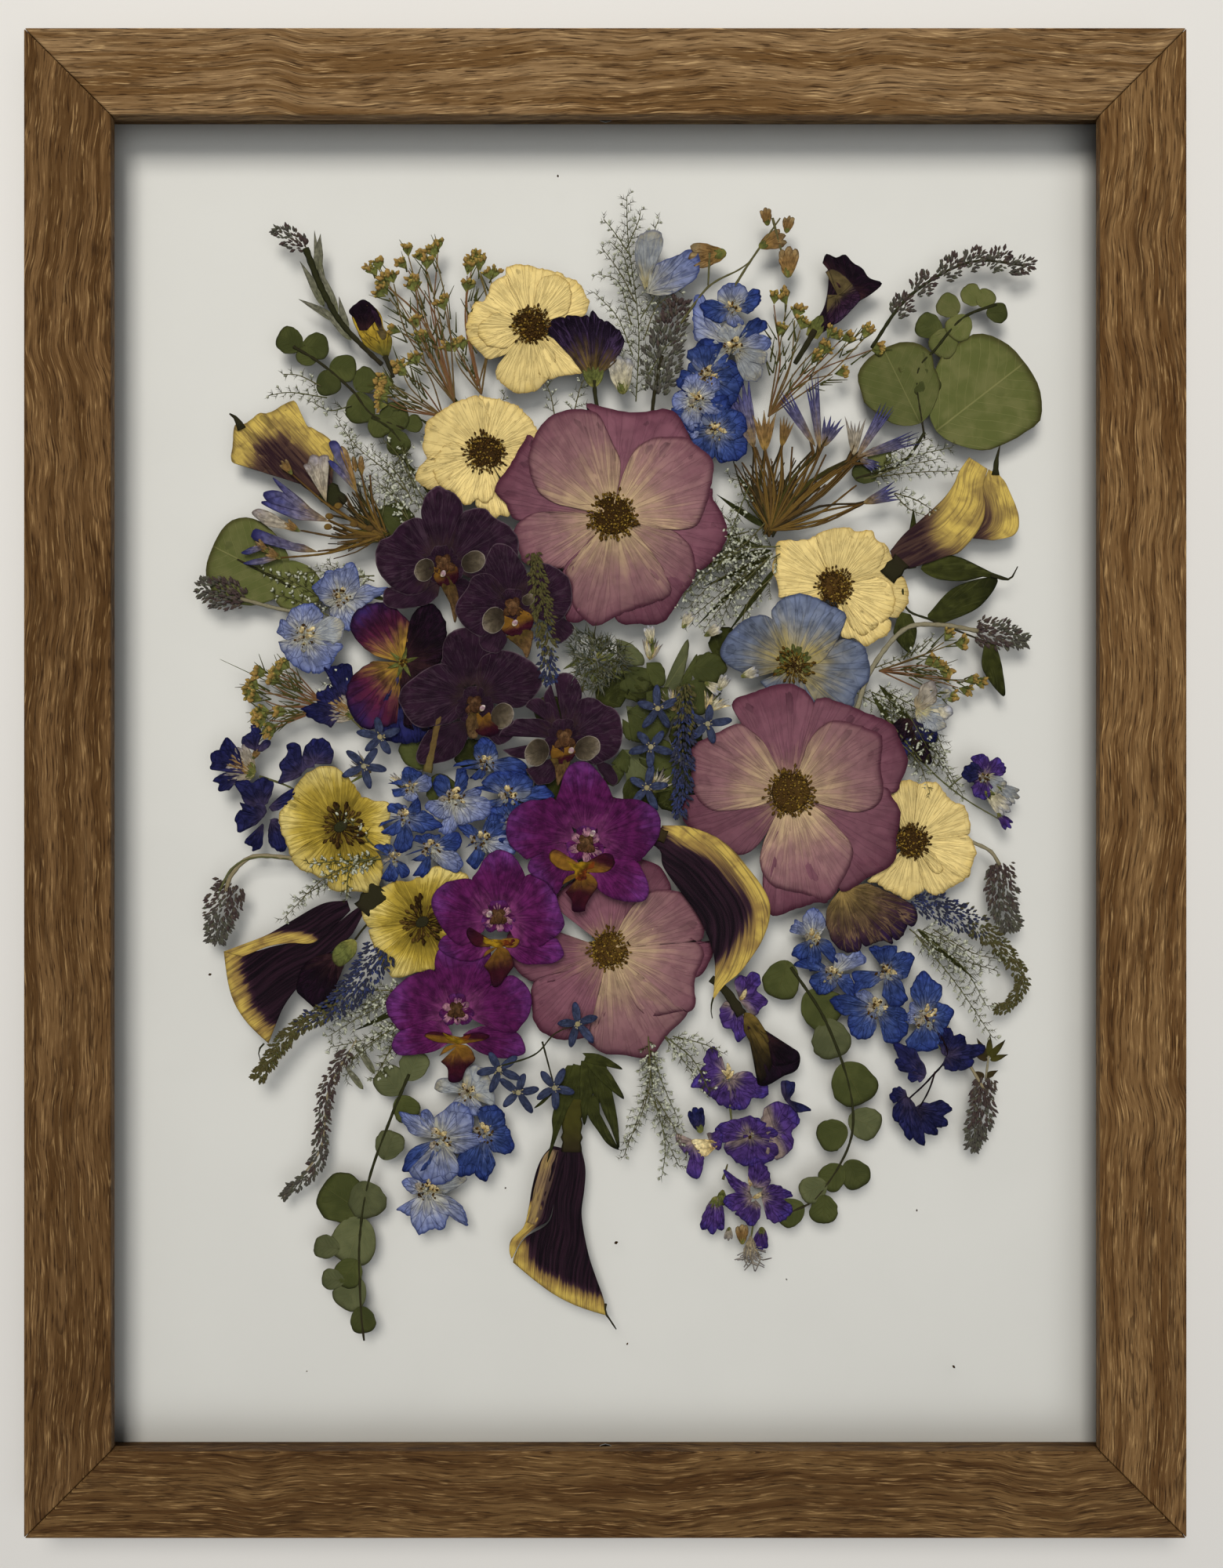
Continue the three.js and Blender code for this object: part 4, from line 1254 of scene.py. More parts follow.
class Pressed:
    """A pressed specimen: blades, ribbons, stems and small shapes gathered into one closed mesh."""

    def __init__(self, name: str, node: str, extra: float = 0.0) -> None:
        """Starts an empty specimen on the layer of its solid.

        Args:
            name: The piece's name.
            node: The solid whose layer it lies on.
            extra: How far above that layer it starts, in millimetres.
        """
        self.name = name
        self.node = node
        self.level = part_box(node)[0].z / MM + BLADE_THICKNESS + extra
        self.rng = np.random.default_rng(sum(ord(letter) * (spot + 3) for spot, letter in enumerate(name)))
        self.parts: list[Part] = []
        self.strewings: dict[tuple[BitForm, Finish, float], Strewings] = {}

    def add(self, top: np.ndarray, faces: list, loop: list[int], thickness: float, finish: Finish,
            along: np.ndarray, across: np.ndarray, rim: np.ndarray, ray: np.ndarray,
            pale: np.ndarray | None = None, plainer: list[Face] | None = None) -> None:
        """Closes a sheet and keeps it with what its finish reads.

        Args:
            top: The sheet's points, in millimetres.
            faces: Its faces.
            loop: Its boundary.
            thickness: Its thickness.
            finish: Its finish.
            along: How far along the blade each point is, 0 to 1.
            across: How far across, as a share of the length.
            rim: How near the outline, 0 to 1.
            ray: How far round, 0 to 1.
            pale: How pale, or None for 0.
            plainer: The faces of its back, or None for the same as its front's.
        """
        places, faces, flat = closed_sheet(top, faces, loop, thickness, plainer)
        kept = sorted({index for face in faces for index in face})
        order = {index: spot for spot, index in enumerate(kept)}
        faces = [tuple(order[index] for index in face) for face in faces]
        pale = np.zeros(len(top)) if pale is None else pale
        tone = np.full(len(kept), self.rng.uniform())
        twice = [np.tile(value, 2)[kept] for value in (along, across, rim, ray, pale)]
        self.parts.append(Part(places[kept], faces, flat, *twice, tone, finish))

    def blade(self, outline: Sequence[Point], base: Point, finish: Finish, lift: float = 0.0,
              relief: Relief = Relief(), rings: int = 6, count: int = 40,
              pale_line: Sequence[Point] = (), pale_width: float = 1.0) -> None:
        """Adds a petal or leaf that spreads from its base to an outline.

        Args:
            outline: The outline, from one side of the base round the tip to the other.
            base: The point that it spreads from.
            finish: The finish.
            lift: How far above the layer it lies.
            relief: Its relief.
            rings: Steps from the base to the outline.
            count: Points along the outline.
            pale_line: The line along which it is palest.
            pale_width: How far the paleness reaches from that line.
        """
        edge = smooth_line(outline, count)
        foot = np.array(base, float)
        spokes = edge - foot
        reach = np.maximum(np.hypot(spokes[:, 0], spokes[:, 1]), 1.0)
        ragged = crumple(edge[:, 0], edge[:, 1], FRAY_WAVE, self.rng)
        spokes = spokes * (1 + np.minimum(relief.fray / reach, 0.1) * ragged)[:, None]
        edge = foot + spokes
        turning = np.sum(spokes[:-1, 0] * spokes[1:, 1] - spokes[:-1, 1] * spokes[1:, 0])
        if turning < 0:
            edge, spokes = edge[::-1], spokes[::-1]
        ray = np.linspace(0, 1, count)
        share = np.arange(1, rings + 1)[:, None] / rings
        x = foot[0] + share * spokes[:, 0]
        y = foot[1] + share * spokes[:, 1]
        phase = self.rng.uniform(0, math.tau, 2)
        swing = (np.sin(ray * relief.waves * math.tau + phase[0])
                 + 0.6 * np.sin(ray * relief.waves * 2.3 * math.tau + phase[1]))
        height = (relief.dome * np.sin(share * math.pi) + relief.ripple * share ** 1.5 * swing
                  + relief.crumple * crumple(x, y, relief.wave, self.rng) + relief.curl * share ** 5)
        z = self.level + lift + BLADE_LIFT + height
        top = np.vstack([[foot[0], foot[1], self.level + lift + BLADE_LIFT],
                         np.column_stack([x.ravel(), y.ravel(), z.ravel()])])
        faces = [(0, 1 + j, 2 + j) for j in range(count - 1)]
        faces += [
            (1 + (k - 1) * count + j, 1 + k * count + j, 2 + k * count + j, 2 + (k - 1) * count + j)
            for k in range(1, rings) for j in range(count - 1)]
        out = [1 + k * count for k in range(rings)]
        loop = [0, *out, *range(out[-1] + 1, out[-1] + count), *(k + count - 1 for k in out[-2::-1])]
        axis = spokes.mean(axis=0)
        axis = axis / np.linalg.norm(axis)
        length = max(np.max(spokes @ axis), 1e-3)
        offset = top[:, :2] - foot
        along = np.clip(offset @ axis / length, 0, 1)
        across = offset @ np.array([-axis[1], axis[0]]) / length
        rim = np.r_[0, np.repeat(share[:, 0], count)]
        rays = np.r_[0.5, np.tile(ray, rings)]
        pale = paleness(top, pale_line, pale_width)
        self.add(top, faces, loop, BLADE_THICKNESS, finish, along, across, rim, rays, pale,
                 plain_back(rings, count))

    def petal(self, base: Point, aim: float, length: float, width: float, finish: Finish,
              form: PetalForm = PetalForm.OVAL, lift: float = 0.0, relief: Relief = Relief(),
              bend: float = 0.0, waver: float = 0.04, rings: int = 5, count: int = 28) -> None:
        """Adds a petal or leaf of a plain form.

        Args:
            base: Where it starts.
            aim: Which way it points, in degrees.
            length: Its length.
            width: Its greatest width.
            finish: Its finish.
            form: Its form.
            lift: How far above the layer it lies.
            relief: Its relief.
            bend: How far its tip swings aside, as a share of the length.
            waver: How far its outline strays, as a share of the width.
            rings: Steps from the base to the outline.
            count: Points along the outline.
        """
        half = (1 - np.cos(np.linspace(0.06, math.pi, count // 2))) / 2
        side = form.half_width(half) * width / 2
        stray = 1 + waver * crumple(half * 3, half * 0, 0.9, self.rng)
        other = 1 + waver * crumple(half * 3, half * 0, 0.9, self.rng)
        x = np.r_[half, half[-2::-1]] * length
        y = np.r_[-side * stray, (side * other)[-2::-1]] + bend * length * (x / length) ** 2
        angle = math.radians(aim)
        outline = np.column_stack([base[0] + x * math.cos(angle) - y * math.sin(angle),
                                   base[1] + x * math.sin(angle) + y * math.cos(angle)])
        self.blade(outline, base, finish, lift, relief, rings, count)

    def ribbon(self, left: Sequence[Point], right: Sequence[Point], finish: Finish, lift: float = 0.0,
               relief: Relief = Relief(), pale_line: Sequence[Point] = (), pale_width: float = 1.0,
               bulge: float = 0.0, rows: int = 40, columns: int = 14) -> None:
        """Adds a broad strip between two edges, such as a rolled spathe laid flat.

        Args:
            left: Its left edge, from the base to the tip.
            right: Its right edge, from the base to the tip.
            finish: Its finish.
            lift: How far above the layer it lies.
            relief: Its relief.
            pale_line: The line along which it is palest.
            pale_width: How far the paleness reaches from that line.
            bulge: How far the middle of its far end reaches out.
            rows: Steps from the base to the tip.
            columns: Steps from edge to edge.
        """
        one, two = smooth_line(left, rows), smooth_line(right, rows)
        share = np.linspace(0, 1, columns)[None, :]
        x = one[:, :1] * (1 - share) + two[:, :1] * share
        y = one[:, 1:] * (1 - share) + two[:, 1:] * share
        turning = np.sum((one[1:] - one[:-1])[:, 0] * (two - one)[1:, 1]
                         - (one[1:] - one[:-1])[:, 1] * (two - one)[1:, 0])
        run = np.linspace(0, 1, rows)[:, None]
        heading = (one[-1] + two[-1] - one[-4] - two[-4]) / 2
        heading /= np.linalg.norm(heading)
        out = bulge * run ** 3 * np.sin(share * math.pi)
        x, y = x + out * heading[0], y + out * heading[1]
        swing = np.sin(share * math.pi)
        height = (relief.dome * swing + relief.ripple * np.sin(share * relief.waves * math.tau + run * 2)
                  + relief.crumple * crumple(x, y, relief.wave, self.rng)
                  + relief.curl * np.abs(2 * share - 1) ** 6)
        z = self.level + lift + BLADE_LIFT + height
        top = np.column_stack([x.ravel(), y.ravel(), z.ravel()])
        if turning > 0:
            corners = ((0, 0), (1, 0), (1, 1), (0, 1))
        else:
            corners = ((0, 0), (0, 1), (1, 1), (1, 0))
        faces = [tuple((row + r) * columns + column + c for r, c in corners)
                 for row in range(rows - 1) for column in range(columns - 1)]
        loop = [*(row * columns for row in range(rows)),
                *((rows - 1) * columns + column for column in range(1, columns)),
                *(row * columns + columns - 1 for row in range(rows - 2, -1, -1)),
                *range(columns - 2, 0, -1)]
        if turning <= 0:
            loop = loop[::-1]
        length = np.sum(np.linalg.norm(np.diff((one + two) / 2, axis=0), axis=1))
        width = np.linalg.norm(two - one, axis=1)[:, None]
        across = ((share - 0.5) * width / length).ravel()
        edge_share = np.maximum(np.abs(2 * share - 1), np.abs(2 * run - 1) ** 8)
        pale = paleness(top, pale_line, pale_width)
        whole = np.ones((rows, columns))
        self.add(top, faces, loop, BLADE_THICKNESS * 2, finish, (run * whole).ravel(), across,
                 (edge_share * whole).ravel(), (share * whole).ravel(), pale)

    def stem(self, path: Sequence[Point], width: float, finish: Finish, tip: float | None = None,
             lift: float = 0.0, sides: int = 6, count: int = 0) -> None:
        """Adds a pressed stem.

        Args:
            path: The points that it passes.
            width: Its width at the start.
            finish: Its finish.
            tip: Its width at the end, or None for the same.
            lift: How far above the layer it lies.
            sides: Its sides.
            count: Points along it, or 0 for about one every 2 millimetres.
        """
        length = sum(distance(a, b) for a, b in zip(path, path[1:]))
        count = count or max(4, min(40, int(length / 2)))
        line = smooth_line(path, count)
        heading = np.gradient(line, axis=0)
        heading /= np.linalg.norm(heading, axis=1)[:, None]
        normal = np.column_stack([-heading[:, 1], heading[:, 0]])
        run = np.linspace(0, 1, count)
        half = (width + ((width if tip is None else tip) - width) * run) / 2
        half = half * (1 + 0.12 * np.sin(run * length * 1.1 + self.rng.uniform(0, 6)))
        turn = np.arange(sides) / sides * math.tau
        flatness, thinnest, thickest = 0.55, 0.05, 0.6
        thick = np.clip(half * flatness, thinnest, thickest)
        middle = self.level + lift + thick
        rings = []
        for spot in range(count):
            side = line[spot] + normal[spot] * (np.cos(turn) * half[spot])[:, None]
            rings.append(np.column_stack([side, middle[spot] - np.sin(turn) * thick[spot]]))
        places = np.vstack(rings)
        faces = tube_faces(count, sides)
        along = np.repeat(run, sides)
        zero = np.zeros(len(places))
        self.parts.append(Part(
            places, faces, np.zeros(len(faces), bool), along, zero, zero, np.tile(turn / math.tau, count),
            zero, np.full(len(places), self.rng.uniform()), finish))

    def knob(self, centre: Point, radius: float, finish: Finish, lift: float = 0.0,
             height: float = 0.4, stretch: float = 1.0, aim: float = 0.0) -> None:
        """Adds a low closed dome such as a bud, a column or a seed head.

        Args:
            centre: Its middle.
            radius: Its radius across its aim.
            finish: Its finish.
            lift: How far above the layer it lies.
            height: Its height.
            stretch: How much longer it is along its aim.
            aim: The direction of its long axis, in degrees.
        """
        sides, rows = 14, 5
        turn = np.arange(sides) / sides * math.tau
        angle = math.radians(aim)
        steps = np.linspace(0, math.pi, rows + 2)[1:-1]
        lump = 1 + 0.06 * crumple(np.cos(turn), np.sin(turn), 1.2, self.rng)
        rings = []
        for step in steps:
            u = -np.cos(turn) * math.sin(step) * radius * stretch * lump
            v = np.sin(turn) * math.sin(step) * radius * lump
            rings.append(np.column_stack([
                centre[0] + u * math.cos(angle) - v * math.sin(angle),
                centre[1] + u * math.sin(angle) + v * math.cos(angle),
                np.full(sides, self.level + lift + height / 2 * (1 + math.cos(step)))]))
        top = (centre[0], centre[1], self.level + lift + height)
        bottom = (centre[0], centre[1], self.level + lift)
        places = np.vstack([[top], *rings, [bottom]])
        faces = [(0, 1 + (j + 1) % sides, 1 + j) for j in range(sides)]
        faces += [
            (1 + row * sides + j, 1 + row * sides + (j + 1) % sides,
             1 + (row + 1) * sides + (j + 1) % sides, 1 + (row + 1) * sides + j)
            for row in range(rows - 1) for j in range(sides)]
        last = len(places) - 1
        faces += [(last, last - sides + j, last - sides + (j + 1) % sides) for j in range(sides)]
        reach = np.r_[0, np.repeat(np.sin(steps) * (steps < 1.6) + (steps >= 1.6), sides), 1]
        rays = np.r_[0, np.tile(turn / math.tau, rows), 0]
        axis = (places[:, :2] - np.array(centre)) @ np.array([math.cos(angle), math.sin(angle)])
        along = np.clip(0.5 + axis / (2 * radius * stretch), 0, 1)
        zero = np.zeros(len(places))
        self.parts.append(Part(places, faces, np.zeros(len(faces), bool), along, zero, reach * 0.9, rays,
                               zero, np.full(len(places), self.rng.uniform()), finish))

    def strew(self, form: BitForm, finish: Finish, place: Point, lift: float, aim: float, size: float,
              rise: float = 0.1, wobble: float = 0.15) -> None:
        """Notes one small shape for the strewing nodes.

        Args:
            form: Its form.
            finish: Its finish.
            place: Where it starts.
            lift: How far above the layer.
            aim: Which way it points, in degrees.
            size: Its length.
            rise: How far it points up, as a share of its length.
            wobble: How far it may stray from its aim.
        """
        group = self.strewings.setdefault((form, finish, wobble), Strewings())
        angle = math.radians(aim)
        group.places.append((place[0] * MM, place[1] * MM, (self.level + lift) * MM))
        group.aims.append((math.cos(angle), math.sin(angle), rise))
        group.sizes.append(size * MM)

    def absorb(self, mesh: bpy.types.Mesh, finish: Finish, floor: float, press: float) -> None:
        """Takes in a strewn mesh, pressed towards its layer.

        Args:
            mesh: The mesh to take in, in metres.
            finish: Its finish.
            floor: The height that it is pressed to.
            press: What is left of its thickness.
        """
        count = len(mesh.vertices)
        places = np.empty(count * 3)
        mesh.vertices.foreach_get("co", places)
        places = places.reshape(-1, 3) / MM
        places[:, 2] = floor + (places[:, 2] - floor) * press
        spots = np.empty(len(mesh.loops), int)
        mesh.loops.foreach_get("vertex_index", spots)
        spread = np.empty(len(mesh.loops) * 2)
        mesh.uv_layers[UV_NAME].data.foreach_get("uv", spread)
        along = np.zeros(count)
        along[spots] = spread[::2]
        tone = np.empty(count)
        mesh.attributes["tone"].data.foreach_get("value", tone)
        zero = np.zeros(count)
        faces = [tuple(polygon.vertices) for polygon in mesh.polygons]
        self.parts.append(Part(places, faces, np.zeros(len(faces), bool), along, zero, zero, tone, zero,
                               tone, finish))
        bpy.data.meshes.remove(mesh)

    def press_flat(self) -> None:
        """Presses the specimen together where it would reach the front glass."""
        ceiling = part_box("glass_front")[0].z / MM - GLASS_CLEARANCE
        heights = np.concatenate([part.places[:, 2] for part in self.parts])
        low, high = heights.min(), heights.max()
        if high > ceiling:
            for part in self.parts:
                part.places[:, 2] = low + (part.places[:, 2] - low) * (ceiling - low) / (high - low)

    def build(self, *replaced: str, slot: str | None = None, press: float = 0.55) -> bpy.types.Object:
        """Makes the object, rides it on the frame and lets it stand for its solids.

        Args:
            *replaced: The solids that it stands for.
            slot: The record's slot of its finish.
            press: What pressing leaves of the thickness of its small shapes.

        Returns:
            The object.
        """
        for number, ((form, finish, wobble), group) in enumerate(self.strewings.items()):
            mesh = strewn(np.array(group.places), np.array(group.aims), np.array(group.sizes), form,
                          finish, FIRST_SEED + number, wobble)
            low = min(place[2] for place in group.places) / MM
            self.absorb(mesh, finish, low, press)
        self.press_flat()
        finishes = list(dict.fromkeys(part.finish for part in self.parts))
        starts = np.cumsum([0, *(len(part.places) for part in self.parts)])
        faces = [tuple(index + start for index in face)
                 for part, start in zip(self.parts, starts) for face in part.faces]
        mesh = bpy.data.meshes.new(self.name)
        mesh.from_pydata(np.vstack([part.places for part in self.parts]) * MM, [], faces)
        for finish in finishes:
            mesh.materials.append(finish.material())
        slots = np.concatenate([
            np.full(len(part.faces), finishes.index(part.finish)) for part in self.parts])
        mesh.polygons.foreach_set("material_index", slots)
        mesh.polygons.foreach_set("use_smooth", ~np.concatenate([part.flat for part in self.parts]))
        for name in ("rim", "ray", "pale", "tone"):
            values = np.concatenate([getattr(part, name) for part in self.parts])
            mesh.attributes.new(name, "FLOAT", "POINT").data.foreach_set("value", values)
        spots = np.empty(len(mesh.loops), int)
        mesh.loops.foreach_get("vertex_index", spots)
        along = np.concatenate([part.along for part in self.parts])[spots]
        across = np.concatenate([part.across for part in self.parts])[spots]
        layer = mesh.uv_layers.new(name=UV_NAME)
        layer.data.foreach_set("uv", np.column_stack([along, across + 0.5]).ravel())
        mesh.validate()
        body = bpy.data.objects.new(self.name, mesh)
        bpy.context.scene.collection.objects.link(body)
        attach(body, BODY)
        if replaced:
            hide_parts(*replaced)
        LOG.info("%s: %d faces on the layer at %.1f mm", self.name, len(faces), self.level)
        return body


# ---- The kinds of plant -----------------------------------------------------------------------


def disc_of_stamens(sheet: Pressed, centre: Point, radius: float, finish: Finish, lift: float,
                    crown: float = 1.35, grains: int = 230, threads: int = 80) -> None:
    """Fills the middle of a bloom with grains and a ragged ring of anthers.

    Args:
        sheet: The specimen.
        centre: The middle of the bloom.
        radius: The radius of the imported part.
        finish: The finish of the stamens.
        lift: How far above the layer they lie.
        crown: How far the longest anthers reach, in radii.
        grains: How many grains fill the middle.
        threads: How many anthers stand round it.
    """
    sheet.knob(centre, radius * 0.88, Finish.BROWN_STAMEN, lift - 0.1, 0.4)
    rng = sheet.rng
    for _ in range(grains):
        spot = polar(centre, radius * math.sqrt(rng.uniform()) * 1.03, rng.uniform(0, 360))
        shade = (finish, finish, Finish.GOLD_GRAIN, Finish.DARK_STAMEN)[rng.integers(4)]
        sheet.strew(BitForm.GRAIN, shade, spot, lift + rng.uniform(0.3, 0.75), rng.uniform(0, 360),
                    rng.uniform(0.7, 1.5), 0.8, 0.5)
    for number in range(threads):
        aim = number / threads * 360 + rng.uniform(-4, 4)
        start = polar(centre, radius * rng.uniform(0.55, 0.85), aim)
        sheet.strew(BitForm.ANTHER, finish, start, lift + rng.uniform(0.15, 0.4),
                    aim + rng.uniform(-18, 18), radius * (crown - 0.7) * rng.uniform(0.6, 1.15), 0.12, 0.25)


@dataclass
class Bloom:
    """A bloom of outlined petals, laid one over the other, round a disc of stamens."""

    name: str
    heart: Point
    disc: float
    petals: list[tuple[Finish, list[Point]]]
    stamen: Finish = Finish.STAMEN
    relief: Relief = BROAD
    crown: float = 1.15
    petal_step: float = 0.09

    def build(self) -> bpy.types.Object:
        """Builds the bloom in place of its solid."""
        sheet = Pressed(self.name, self.name)
        step = min(self.petal_step, 0.7 / max(1, len(self.petals)))
        for number, (finish, outline) in enumerate(self.petals):
            sheet.blade(outline, self.heart, finish, number * step, self.relief, *BLOOM_STEPS)
        if self.disc:
            disc_of_stamens(sheet, self.heart, self.disc, self.stamen, len(self.petals) * step, self.crown)
        self.decorate(sheet, len(self.petals) * step)
        return sheet.build(self.name)

    def decorate(self, sheet: Pressed, lift: float) -> None:
        """Adds what only some blooms have.

        Args:
            sheet: The specimen.
            lift: The height of its top petal.
        """


@dataclass
class Poppy(Bloom):
    """A yellow bloom with a dark olive heart and loose dark stamens."""

    def decorate(self, sheet: Pressed, lift: float) -> None:
        """Adds the streaked heart.

        Args:
            sheet: The specimen.
            lift: The height of its top petal.
        """
        rng = sheet.rng
        for number in range(60):
            aim = number * GOLDEN_ANGLE
            start = polar(self.heart, rng.uniform(0.5, 4.0), aim)
            sheet.strew(BitForm.ANTHER, Finish.BROWN_STAMEN, start, lift + rng.uniform(0.0, 0.3),
                        aim + rng.uniform(-25, 25), rng.uniform(4.0, 9.0), 0.04, 0.2)
        sheet.knob(self.heart, 2.4, Finish.DARK_STEM, lift, 0.6, 1.4, 30)


@dataclass
class Hellebore(Bloom):
    """A grey-blue bloom with green nectaries and a golden crown."""

    def decorate(self, sheet: Pressed, lift: float) -> None:
        """Adds the nectaries, the crown and the gold stamens.

        Args:
            sheet: The specimen.
            lift: The height of its top petal.
        """
        rng = sheet.rng
        for number in range(26):
            aim = rng.uniform(-20, 215)
            start = polar(self.heart, rng.uniform(3.0, 5.0), aim)
            sheet.petal(start, aim + rng.uniform(-15, 15), rng.uniform(3.5, 6.0), rng.uniform(1.6, 2.6),
                        Finish.SEPAL, PetalForm.OVAL, lift + 0.02 * number / 2, FLAT, count=14, rings=3)
        for number in range(90):
            aim = rng.uniform(0, 360)
            start = polar(self.heart, rng.uniform(0.5, 5.0), aim)
            sheet.strew(BitForm.ANTHER, Finish.STAMEN, start, lift + rng.uniform(0.1, 0.5), aim,
                        rng.uniform(2.5, 5.5), 0.15, 0.5)
        for _ in range(60):
            start = polar(self.heart, rng.uniform(0, 4.5), rng.uniform(0, 360))
            sheet.strew(BitForm.GRAIN, Finish.BROWN_STAMEN, start, lift + rng.uniform(0.2, 0.6),
                        rng.uniform(0, 360), rng.uniform(0.9, 1.6), 0.6, 0.5)


@dataclass
class Orchid:
    """A moth orchid: sepals and petals, the outlined parts of its lip, round lobes and a column."""

    name: str
    petals: list[tuple[Finish, Point, list[Point]]]
    lip: list[tuple[Finish, Point, list[Point]]]
    lobes: list[tuple[Point, float]]
    column: tuple[Point, float, float]
    dot: Point | None = None
    halo: Finish | None = None
    petal_step: float = 0.09
    lip_step: float = 0.07

    def build(self) -> bpy.types.Object:
        """Builds the orchid in place of its solid."""
        sheet = Pressed(self.name, self.name)
        for number, (finish, base, outline) in enumerate(self.petals):
            sheet.blade(outline, base, finish, number * self.petal_step, WAXY, *ORCHID_STEPS)
        lift = len(self.petals) * self.petal_step
        centre, size, aim = self.column
        for turn in (aim - 60, aim + 60, aim + 180):
            sheet.petal(centre, turn, size * 2.3, size * 2.6, self.petals[-1][0], PetalForm.ROUND,
                        lift - 0.05, CRINKLED, rings=4, count=28)
        if self.halo:
            for number in range(6):
                turn = aim + number * 60 + sheet.rng.uniform(-12, 12)
                sheet.petal(polar(centre, size * 0.5, turn), turn, size * sheet.rng.uniform(1.3, 1.9),
                            size * 1.1, self.halo, PetalForm.OVAL, lift + number * 0.02, CRINKLED,
                            rings=4, count=24)
            lift += 0.12
        for number, (finish, base, outline) in enumerate(self.lip):
            sheet.blade(outline, base, finish, lift + number * self.lip_step, FLESHY, *LIP_STEPS)
        lift += len(self.lip) * self.lip_step
        for number, (spot, radius) in enumerate(self.lobes):
            ring = [polar(spot, radius * (1 + 0.1 * math.sin(turn * 2 + number)), math.degrees(turn) + 200)
                    for turn in np.linspace(0, math.tau, 16)]
            inner = polar(spot, radius * 0.6, direction(spot, centre))
            sheet.blade(ring, inner, Finish.ORCHID_LOBE, lift, CUPPED, *LOBE_STEPS)
        for number, turn in enumerate((-60, 60, 150, 210)):
            sheet.petal(centre, aim + turn, size * 1.3, size, Finish.ORCHID_HEART, PetalForm.OVAL,
                        lift + 0.15 + number * 0.03, CRINKLED, count=18)
        sheet.knob(centre, size * 0.6, Finish.ORCHID_HEART, lift + 0.2, 0.7, 1.5, aim)
        for _ in range(26):
            spot = polar(centre, size * sheet.rng.uniform(0.1, 1.1), sheet.rng.uniform(0, 360))
            sheet.strew(BitForm.GRAIN, sheet.rng.choice([Finish.DARK_STAMEN, Finish.BROWN_STAMEN]), spot,
                        lift + 0.4, sheet.rng.uniform(0, 360), sheet.rng.uniform(0.4, 0.9), 0.5, 0.4)
        if self.dot:
            sheet.knob(self.dot, 1.25, Finish.ORCHID_WHITE, lift + 0.5, 0.7, 1.3, 60)
        return sheet.build(self.name)


def tuft(sheet: Pressed, centre: Point, radius: float, lift: float) -> None:
    """Adds the crumpled heart of a delphinium floret: cream and brown scales and curled stamens.

    Args:
        sheet: The specimen.
        centre: Its middle.
        radius: Its reach.
        lift: How far above the layer it lies.
    """
    rng = sheet.rng
    for number in range(7):
        aim = number * GOLDEN_ANGLE + rng.uniform(-30, 30)
        finish = (Finish.CREAM_SCALE, Finish.DRY_PETAL, Finish.PALE_BLUE)[number % 3]
        sheet.petal(polar(centre, radius * rng.uniform(0.0, 0.45), aim), aim + rng.uniform(-50, 50),
                    radius * rng.uniform(0.45, 0.75), radius * rng.uniform(0.3, 0.5), finish,
                    PetalForm.OVAL, lift + number * 0.03, CRINKLED, rng.uniform(-0.3, 0.3), 0.3, *SCALE_STEPS)
    for number in range(int(6 * radius)):
        aim = rng.uniform(0, 360)
        sheet.strew(rng.choice([BitForm.ANTHER, BitForm.GRAIN]),
                    rng.choice([Finish.BROWN_STAMEN, Finish.DARK_STAMEN, Finish.PALE_BUD]),
                    polar(centre, radius * math.sqrt(rng.uniform(0, 0.6)), aim),
                    lift + rng.uniform(0.3, 0.55), rng.uniform(0, 360), rng.uniform(0.7, 1.6), 0.4, 0.5)


def floret(sheet: Pressed, centre: Point, radius: float, finish: Finish, turn: float,
           lift: float) -> None:
    """Adds a delphinium floret with broad crinkled petals round its heart.

    Args:
        sheet: The specimen.
        centre: Its middle.
        radius: The reach of its petals.
        finish: The finish of its petals.
        turn: The direction of its first petal, in degrees.
        lift: How far above the layer it lies.
    """
    petals, spread = 5, 0.95
    rng = sheet.rng
    for number in range(petals):
        aim = turn + number * 360 / petals + rng.uniform(-16, 16)
        size = radius * rng.uniform(0.8, 1.15)
        form = (PetalForm.ROUND, PetalForm.POINTED, PetalForm.ROUND, PetalForm.OVAL)[rng.integers(4)]
        sheet.petal(polar(centre, radius * 0.05, aim), aim, size, size * spread * rng.uniform(0.75, 1.15),
                    finish, form, lift + number * 0.06, DELICATE, rng.uniform(-0.2, 0.2), 0.3,
                    *FLORET_STEPS)
    tuft(sheet, centre, radius * 0.36, lift + petals * 0.06)


